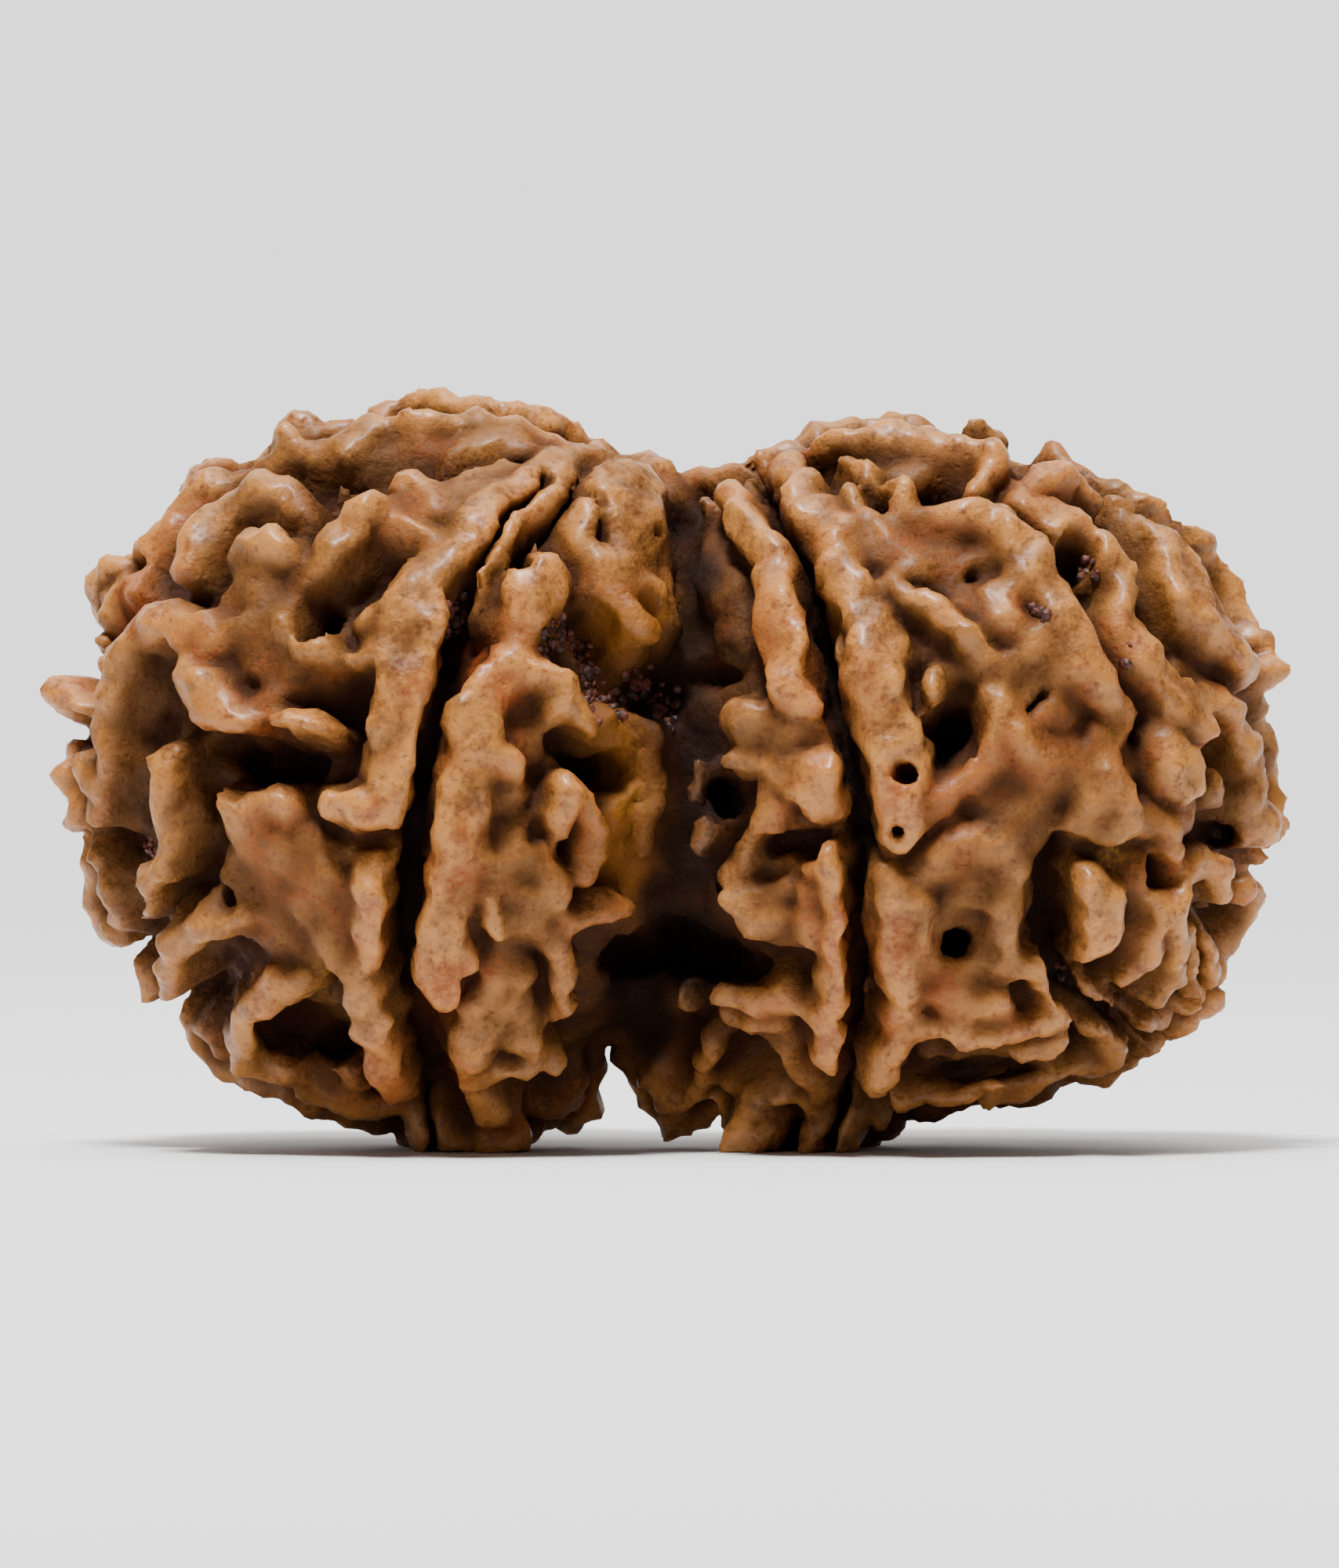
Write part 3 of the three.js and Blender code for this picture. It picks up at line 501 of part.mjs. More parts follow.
// small vector helpers
const add = (a, b) => [a[0] + b[0], a[1] + b[1], a[2] + b[2]];
const subtract = (a, b) => [a[0] - b[0], a[1] - b[1], a[2] - b[2]];
const scale = (a, s) => [a[0] * s, a[1] * s, a[2] * s];
const dot = (a, b) => a[0] * b[0] + a[1] * b[1] + a[2] * b[2];
const size = (a) => Math.hypot(a[0], a[1], a[2]);
const unit = (a) => scale(a, 1 / size(a));
const distance = (a, b) => size(subtract(a, b));
const cross = (a, b) => [
  a[1] * b[2] - a[2] * b[1],
  a[2] * b[0] - a[0] * b[2],
  a[0] * b[1] - a[1] * b[0],
];
const clamp = (value, low, high) => Math.min(high, Math.max(low, value));
const mix = (a, b, t) => a + (b - a) * t;

// repeatable draws
function makeDraw(seed) {
  let state = seed;
  const next = () => {
    state = (Math.imul(state, 1664525) + 1013904223) >>> 0;
    return state / 4294967296;
  };
  return { next, between: (low, high) => low + (high - low) * next() };
}

// distance from a bead's centre to its skin, in the direction of q
function floorRadius(q) {
  const inAxes = Math.hypot(q[0] / FLOOR_AXES[0], q[1] / FLOOR_AXES[1], q[2] / FLOOR_AXES[2]);
  return size(q) / inAxes;
}

function atHeight(direction, height) {
  const d = unit(direction);
  return scale(d, floorRadius(d) + height);
}

// a place seen from the front at [x, z], laid on the front of the bead at a height above its skin
function frontPoint(x, z, height, centre) {
  const dx = x - centre[0];
  const dz = z - centre[2];
  const [ax, ay, az] = FLOOR_AXES.map((a) => a + height);
  const inside = 1 - (dx / ax) ** 2 - (dz / az) ** 2;
  return [dx, inside > 0 ? -ay * Math.sqrt(inside) : 0, dz];
}

// a chain is a row of stations, each with the point of its crest and its half width
function frontChain(stations, centre) {
  return stations.map(([x, z, width, height]) => ({
    point: frontPoint(x, z, height + CREST_BASE, centre),
    width,
  }));
}

function carvedChain(stations, centre) {
  return stations.map(([x, z, width, depth]) => ({ point: frontPoint(x, z, -depth, centre), width }));
}

// the ridge that makes the outline wanders a little before and behind the middle plane
function outlineChain(points, centre, draw) {
  const phase = draw.between(0, 6.28);
  return points.map(([x, z], i) => {
    const flat = [x - centre[0], 0, z - centre[2]];
    const point = scale(flat, 1 - 0.02 / size(flat));
    point[1] = 0.5 + 0.9 * Math.sin(phase + i * 0.9);
    return { point, width: 0.42 * draw.between(0.7, 1.3) };
  });
}

// crests just behind the outline stay low, so the notches of the outline stay open
function outlineFade(direction) {
  const y = direction[1] / size(direction);
  return clamp(0.35 + 1.6 * (y - 0.1), 0.35, 1);
}

// a line from pole to pole through a middle direction
function meridian(top, middle, bottom, t) {
  const fromTop = scale(top, (1 - t) * (1 - 2 * t));
  const fromMiddle = scale(middle, 4 * t * (1 - t));
  const fromBottom = scale(bottom, t * (2 * t - 1));
  return unit(add(add(fromTop, fromMiddle), fromBottom));
}

const CLEFT_STEPS = 22;
const LIP_RADIUS = 9.4;

// one cleft of the back with a lip on either side, each lip broken in a place or two
function backCleft(bead, azimuth, draw) {
  const top = unit(bead.topPole);
  const bottom = unit(bead.bottomPole);
  const angle = THREE.MathUtils.degToRad(azimuth);
  const middle = unit([Math.cos(angle), Math.sin(angle), draw.between(-0.1, 0.1)]);
  const leftPhase = draw.between(0, 6.28);
  const rightPhase = draw.between(0, 6.28);
  const line = [];
  const directions = [];
  const lips = [{ sign: -1, phase: leftPhase, chain: [] }, { sign: 1, phase: rightPhase, chain: [] }];
  for (let i = 0; i <= CLEFT_STEPS; i += 1) {
    const t = 0.06 + (0.88 * i) / CLEFT_STEPS;
    const straight = meridian(top, middle, bottom, t);
    const ahead = subtract(meridian(top, middle, bottom, t + 0.01), straight);
    const side = unit(cross(straight, ahead));
    const wiggle = 0.03 * Math.sin(7 * t + leftPhase) + 0.02 * Math.sin(17 * t + rightPhase);
    const d = unit(add(straight, scale(side, wiggle)));
    const depth = 0.9 * Math.sqrt(Math.sin(Math.PI * t));
    directions.push(d);
    line.push({ point: atHeight(d, -depth), width: 0.24 + 0.1 * Math.sin(9 * t + rightPhase) });
    for (const { sign, phase, chain } of lips) {
      const width = 0.5 + 0.16 * Math.sin(13 * t + phase) + 0.1 * Math.sin(29 * t + 2 * phase);
      const height = 1.45 + 0.2 * Math.sin(11 * t + 1.7 * phase);
      const lipDirection = add(d, scale(side, (sign * (0.34 + width)) / LIP_RADIUS));
      const raised = CREST_BASE + height * outlineFade(lipDirection);
      chain.push({ point: atHeight(lipDirection, raised), width });
    }
  }
  const ridges = lips.flatMap(({ chain }) => brokenChain(chain, draw));
  return { line, directions, ridges };
}

function brokenChain(chain, draw) {
  const pieces = [];
  let start = 0;
  while (start < chain.length - 1) {
    const length = 4 + Math.floor(draw.next() * 6);
    const piece = chain.slice(start, start + length);
    if (piece.length > 1) pieces.push(piece);
    start += length - 1;
    if (draw.next() < 0.4) start += 1;
  }
  return pieces;
}

// places spread evenly over the ball and then shaken
function spreadDirection(i, count, draw) {
  const up = 1 - (2 * (i + 0.5)) / count;
  const turn = i * Math.PI * (3 - Math.sqrt(5));
  const out = Math.sqrt(1 - up * up);
  const shake = [draw.between(-1, 1), draw.between(-1, 1), draw.between(-1, 1)];
  return unit(add([out * Math.cos(turn), out * Math.sin(turn), up], scale(shake, 0.09)));
}

const KNOB_COUNT = 190;

// knobs of the back, away from its clefts
function backKnobs(bead, cleftDirections, draw) {
  const knobs = [];
  for (let i = 0; i < KNOB_COUNT; i += 1) {
    const d = spreadDirection(i, KNOB_COUNT, draw);
    const width = draw.between(0.34, 0.7);
    const height = draw.between(0.9, 1.7);
    const point = atHeight(d, CREST_BASE + height * outlineFade(d));
    if (point[1] < 1.6 + 0.8 * draw.next()) continue;
    if (point[0] * bead.inward > 7.2) continue;
    if (Math.min(...cleftDirections.map((c) => distance(c, d))) < 0.15) continue;
    knobs.push({ point, width });
  }
  return knobs;
}

// ridges that join a knob to its neighbours and to the lip of a cleft
function knobLinks(knobs, i, cleftDirections, draw) {
  const ridges = [];
  const { point, width } = knobs[i];
  const others = knobs.map((other, j) => ({ far: distance(point, other.point), j }));
  const near = others.filter(({ j }) => j !== i).sort((a, b) => a.far - b.far).slice(0, 3);
  for (const { far, j } of near) {
    const pick = draw.next();
    if (j < i && pick < 0.55) continue;
    if (far >= 3.4 || pick >= 0.75) continue;
    const other = knobs[j];
    const saddle = scale(add(point, other.point), 0.5 * 0.985);
    const neck = 0.75 * Math.min(width, other.width) + 0.02;
    ridges.push([knobs[i], { point: saddle, width: neck }, other]);
  }
  if (ridges.length === 0) ridges.push([knobs[i]]);
  const radius = size(point);
  const lips = cleftDirections.map((c) => scale(c, radius));
  const closest = lips.reduce((best, c) => (distance(c, point) < distance(best, point) ? c : best));
  if (distance(closest, point) < 3.2 && draw.next() < 0.8) {
    const reach = add(scale(point, 0.35), scale(closest, 0.64));
    ridges.push([{ point, width: width * 0.8 }, { point: reach, width: width * 0.7 }]);
  }
  return ridges;
}

function backPits(bead, draw) {
  const pits = [];
  for (let i = 0; i < 26; i += 1) {
    const turn = draw.between(0.15, 2.99);
    const up = draw.between(-0.85, 0.85);
    const out = Math.sqrt(1 - up * up);
    const d = [out * Math.cos(turn), out * Math.sin(turn), up];
    const width = draw.between(0.25, 0.5);
    const depth = draw.between(0.3, 1.2);
    if (d[1] * 8 < 2 || d[0] * bead.inward > 0.72) continue;
    pits.push([{ point: atHeight(d, -depth), width }]);
  }
  return pits;
}

// a low ridge under the bead, from a front foot over a saddle to a back foot
function keel(front, back, centre) {
  const middle = [0.5 * (front[0] + back[0]), 0.5 * (front[1] + back[1])];
  const station = ([x, y], z, width) => ({ point: subtract([x, y, z], centre), width });
  return [
    station(front, FOOT_LEVEL, FOOT_HALF_WIDTH),
    station(middle, KEEL_LEVEL, 0.6 * FOOT_HALF_WIDTH),
    station(back, FOOT_LEVEL, FOOT_HALF_WIDTH),
  ];
}

// everything that is raised from or cut into one bead
function beadRelief(bead) {
  const { centre } = bead;
  const draw = makeDraw(bead.seed);
  const webs = bead.webs.map((stations) => frontChain(stations, centre));
  const ridges = bead.ridges.map((stations) => frontChain(stations, centre));
  ridges.push(outlineChain(bead.outline, centre, draw));
  for (const [front, back] of bead.keels) ridges.push(keel(front, back, centre));
  const cuts = bead.pits.map((stations) => ({ chain: carvedChain(stations, centre), kind: PIT }));
  const frontClefts = bead.clefts.map((stations) => ({ chain: carvedChain(stations, centre), kind: CLEFT }));
  const behind = bead.backClefts.map((azimuth) => backCleft(bead, azimuth, draw));
  const cleftDirections = behind.flatMap(({ directions }) => directions);
  for (const { ridges: lips } of behind) ridges.push(...lips);
  const knobs = backKnobs(bead, cleftDirections, draw);
  knobs.forEach((knob, i) => ridges.push(...knobLinks(knobs, i, cleftDirections, draw)));
  for (const chain of backPits(bead, draw)) cuts.push({ chain, kind: PIT });
  const backLines = behind.map(({ line }) => ({ chain: line, kind: CLEFT }));
  const bars = bead.bars.map((stations) => ({ chain: frontChain(stations, centre), kind: BAR }));
  const pads = webs.map((chain) => ({ chain, kind: WEB }));
  const raised = ridges.map((chain) => ({ chain, kind: RIDGE }));
  return [...pads, ...raised, ...cuts, ...frontClefts, ...backLines, ...bars].flatMap(asSpans);
}

// kinds of relief: whether they cut, how softly they join, and how a cut widens outwards
const WEB = { cuts: false, blend: WEB_BLEND };
const RIDGE = { cuts: false, blend: BLEND };
const BAR = { cuts: false, blend: 0.2 };
const PIT = { cuts: true, blend: 0.25, taper: 0.12 };
const CLEFT = { cuts: true, blend: 0.2, taper: 0.03 };

// a span runs between two stations of a chain
function asSpans({ chain, kind }) {
  const ends = chain.length === 1 ? [chain[0], chain[0]] : chain;
  return ends.slice(1).map((to, i) => ({ from: ends[i], to, kind }));
}

function smoothMin(a, b, softness) {
  const h = Math.max(softness - Math.abs(a - b), 0) / softness;
  return Math.min(a, b) - h * h * softness * 0.25;
}

// sideways distance of q from the fan of rays through a span, and its height over the crest
function besideSpan(q, r, { from, to }) {
  const run = subtract(to.point, from.point);
  const fromRadius = size(from.point);
  const toRadius = size(to.point);
  const onCrest = scale(q, (0.5 * (fromRadius + toRadius)) / r);
  const length2 = dot(run, run);
  const t = length2 < 1e-9 ? 0 : clamp(dot(subtract(onCrest, from.point), run) / length2, 0, 1);
  const closest = add(from.point, scale(run, t));
  const ray = scale(closest, r / size(closest));
  return {
    ray,
    sideways: distance(q, ray),
    over: r - mix(fromRadius, toRadius, t),
    width: mix(from.width, to.width, t),
  };
}

function ridgeField(q, r, span) {
  const { sideways, over, width } = besideSpan(q, r, span);
  const base = width * CREST_SHARE + FLARE * clamp(-over, 0, 1.6);
  const rounding = Math.min(base, CREST_ROUNDING);
  const u = sideways - base + rounding;
  const v = over + rounding;
  return Math.min(Math.max(u, v), 0) + Math.hypot(Math.max(u, 0), Math.max(v, 0)) - rounding;
}

function cutField(q, r, span) {
  const { sideways, over, width } = besideSpan(q, r, span);
  const opening = width + span.kind.taper * clamp(over, 0, 3);
  return -smoothMin(opening - sideways, over, 0.35);
}

// small wandering of the whole relief, so no ridge runs quite straight
function wander([x, y, z], s) {
  return [
    x + 0.1 * Math.sin(1.9 * y + 1.3 * z + s) + 0.05 * Math.sin(4.1 * z - 2.7 * y + 2 * s),
    y + 0.1 * Math.sin(2.1 * z + 1.1 * x + s) + 0.05 * Math.sin(3.9 * x - 2.9 * z + 3 * s),
    z + 0.1 * Math.sin(1.8 * x + 1.4 * y + s) + 0.05 * Math.sin(4.3 * y - 2.5 * x + 5 * s),
  ];
}

// negative inside the bead, positive outside
function beadField(place, spans, shift) {
  const q = wander(place, shift);
  const r = size(q);
  let field = r - floorRadius(q);
  for (const span of spans) {
    const { kind } = span;
    if (kind.cuts) field = -smoothMin(-field, cutField(q, r, span), kind.blend);
    else field = smoothMin(field, ridgeField(q, r, span), kind.blend);
  }
  return field;
}

// distance from the centre to the outermost surface along a direction
function surfaceRadius(direction, spans, shift) {
  const step = 0.18;
  let outer = 12.6;
  const inner = 5;
  while (outer > inner && beadField(scale(direction, outer - step), spans, shift) > 0) outer -= step;
  let low = outer - step;
  let high = outer;
  for (let i = 0; i < 8; i += 1) {
    const middle = 0.5 * (low + high);
    if (beadField(scale(direction, middle), spans, shift) > 0) high = middle;
    else low = middle;
  }
  return 0.5 * (low + high);
}

const SAMPLE_REACH = 0.046;
const SAMPLE_TURNS = 6;

// the surface averaged over a small patch round a direction, so that steep walls stay even
function patchRadius(direction, spans, shift) {
  const across = Math.abs(direction[2]) < 0.9 ? [0, 0, 1] : [1, 0, 0];
  const side = unit(cross(direction, across));
  const up = cross(direction, side);
  let sum = 2 * surfaceRadius(direction, spans, shift);
  for (let i = 0; i < SAMPLE_TURNS; i += 1) {
    const turn = (2 * Math.PI * i) / SAMPLE_TURNS;
    const aside = scale(side, SAMPLE_REACH * Math.cos(turn));
    const above = scale(up, SAMPLE_REACH * Math.sin(turn));
    sum += surfaceRadius(unit(add(direction, add(aside, above))), spans, shift);
  }
  return sum / (2 + SAMPLE_TURNS);
}

const PROBE_RADIUS = 9.5;
// corners of the ball nearer than this to the middle of a cleft are drawn onto it
const CLEFT_REACH = 0.29;

function onCleft(direction, clefts, shift) {
  const place = scale(direction, PROBE_RADIUS);
  const probe = wander(place, shift);
  const r = size(probe);
  let best = { sideways: CLEFT_REACH };
  for (const span of clefts) {
    const beside = besideSpan(probe, r, span);
    if (beside.sideways < best.sideways) best = beside;
  }
  return best.ray ? unit(add(place, subtract(best.ray, probe))) : null;
}

// one bead: a divided icosahedron with each corner moved along its own ray to the surface
function beadGeometry(bead) {
  const ball = new THREE.IcosahedronGeometry(1, BALL_DETAIL);
  ball.deleteAttribute('normal');
  ball.deleteAttribute('uv');
  const geometry = mergeVertices(ball, 1e-5);
  const spans = beadRelief(bead);
  const clefts = spans.filter(({ kind }) => kind === CLEFT);
  const shift = bead.seed % 7;
  const position = geometry.attributes.position;
  const corner = new THREE.Vector3();
  for (let i = 0; i < position.count; i += 1) {
    corner.fromBufferAttribute(position, i).normalize();
    const drawn = onCleft(corner.toArray(), clefts, shift);
    const direction = drawn ?? corner.toArray();
    const probe = scale(direction, PROBE_RADIUS);
    const near = spans.filter((span) => {
      const { sideways, width } = besideSpan(probe, PROBE_RADIUS, span);
      return sideways < width + 1.4;
    });
    const radiusHere = drawn ? surfaceRadius : patchRadius;
    const radius = radiusHere(direction, near, shift);
    position.setXYZ(i, ...add(scale(direction, radius), bead.centre));
  }
  return geometry;
}

const wasm = await Module();
wasm.setup();

function toSolid(geometry) {
  const clean = geometry.clone();
  clean.deleteAttribute('normal');
  clean.deleteAttribute('uv');
  const merged = mergeVertices(clean, 1e-5);
  return new wasm.Manifold(new wasm.Mesh({
    numProp: 3,
    vertProperties: new Float32Array(merged.attributes.position.array),
    triVerts: new Uint32Array(merged.index.array),
  }));
}

function toGeometry(solid) {
  const mesh = solid.getMesh();
  const geometry = new THREE.BufferGeometry();
  geometry.setAttribute('position', new THREE.BufferAttribute(mesh.vertProperties, 3));
  geometry.setIndex(new THREE.BufferAttribute(mesh.triVerts, 1));
  geometry.computeVertexNormals();
  return geometry;
}

function eggSolid({ centre, half }, detail) {
  const egg = new THREE.IcosahedronGeometry(1, detail);
  egg.scale(...half);
  egg.translate(...centre);
  return toSolid(egg);
}

// all that stays above the flat spot
function aboveRest() {
  const box = new THREE.BoxGeometry(60, 60, 60);
  box.translate(0, 0, 30 + REST_CUT);
  return toSolid(box);
}

function beadPair() {
  const beads = SKIN_BEADS.map((bead) => toSolid(beadGeometry(bead)));
  let solid = beads[0].add(beads[1]);
  for (const egg of SWELLINGS) solid = solid.add(eggSolid(egg, SWELLING_DETAIL));
  for (const hollow of HOLLOWS) solid = solid.subtract(eggSolid(hollow, CAVE_DETAIL));
  solid = solid.intersect(aboveRest());
  const geometry = toGeometry(solid);
  geometry.translate(-MIDDLE[0], -MIDDLE[1], -REST_CUT);
  return geometry;
}

function woodMaterial() {
  return new THREE.MeshStandardMaterial({ color: 0x9c6a3c, roughness: 0.55, metalness: 0 });
}

const group = new THREE.Group();
group.name = 'gauri_shankar_rudraksha';
const beads = new THREE.Mesh(beadPair(), woodMaterial());
beads.name = 'fused_beads';
group.add(beads);

export default group;
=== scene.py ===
# %% [markdown]
# # A gauri shankar rudraksha
# Two seeds of one twinned fruit that grew fused side by side. Their woody skin is thrown up in blunt
# knobs, lips and ridges, and deep clefts run from pole to pole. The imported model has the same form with
# fewer faces and without its smallest folds, so this script works it out again, finely, and finishes it.

import math

import bpy
import numpy as np
import openvdb
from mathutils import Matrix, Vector


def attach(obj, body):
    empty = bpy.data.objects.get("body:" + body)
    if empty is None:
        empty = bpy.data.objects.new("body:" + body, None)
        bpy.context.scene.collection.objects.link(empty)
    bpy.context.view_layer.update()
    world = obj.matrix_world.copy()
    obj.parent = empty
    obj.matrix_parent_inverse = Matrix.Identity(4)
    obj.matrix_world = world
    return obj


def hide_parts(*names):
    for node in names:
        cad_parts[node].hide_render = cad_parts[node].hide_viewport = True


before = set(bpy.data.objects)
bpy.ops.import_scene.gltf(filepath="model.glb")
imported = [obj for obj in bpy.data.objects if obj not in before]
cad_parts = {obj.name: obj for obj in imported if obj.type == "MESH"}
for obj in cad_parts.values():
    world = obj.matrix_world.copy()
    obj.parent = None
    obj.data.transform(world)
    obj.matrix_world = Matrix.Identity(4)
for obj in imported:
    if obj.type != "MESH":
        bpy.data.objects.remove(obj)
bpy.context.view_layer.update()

# %% [markdown]
# ## Driving sizes
# All sizes of the seed are in millimetres, in the frame of the photographed front: x to the right, z up,
# and y away from the viewer. They are turned into metres only when a mesh is made.

# %% Driving sizes
MM = 0.001
LEFT_CENTRE = np.array([-6.5, 0.0, 11.0])
RIGHT_CENTRE = np.array([6.8, 0.0, 10.9])
# half sizes of the skin between the ridges
FLOOR_AXES = np.array([8.5, 7.6, 8.5])
# crest heights are counted from this far above the skin
CREST_BASE = 0.4
# the underside is flat at this height, and the ends of the keels reach a little below it
REST_CUT = 0.5
FOOT_LEVEL = -0.1
KEEL_LEVEL = 0.7
FOOT_HALF_WIDTH = 0.95
# the middle of the pair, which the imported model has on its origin
MIDDLE = np.array([-0.05, 0.0])
# how softly a ridge runs into the skin, how it widens downwards, and how round its crest is
BLEND = 0.36
WEB_BLEND = 0.8
FLARE = 0.16
# the read widths are those of the foot of a crest; its top is narrower by this share
CREST_SHARE = 0.74
CREST_ROUNDING = 0.36
# size of the cells in which the form is worked out
CELL = 0.16
print("cell size, mm:", CELL)

# %% [markdown]
# ## The relief, read from the front
# A seed like this follows no simple rule, so its front is written down as a carver would rough it out:
# each ridge, lip or knob is a short row of stations. A station is `[x, z, half width, height]`, with the
# height counted from the crest base. Pits and clefts are rows of `[x, z, half width, depth]`.

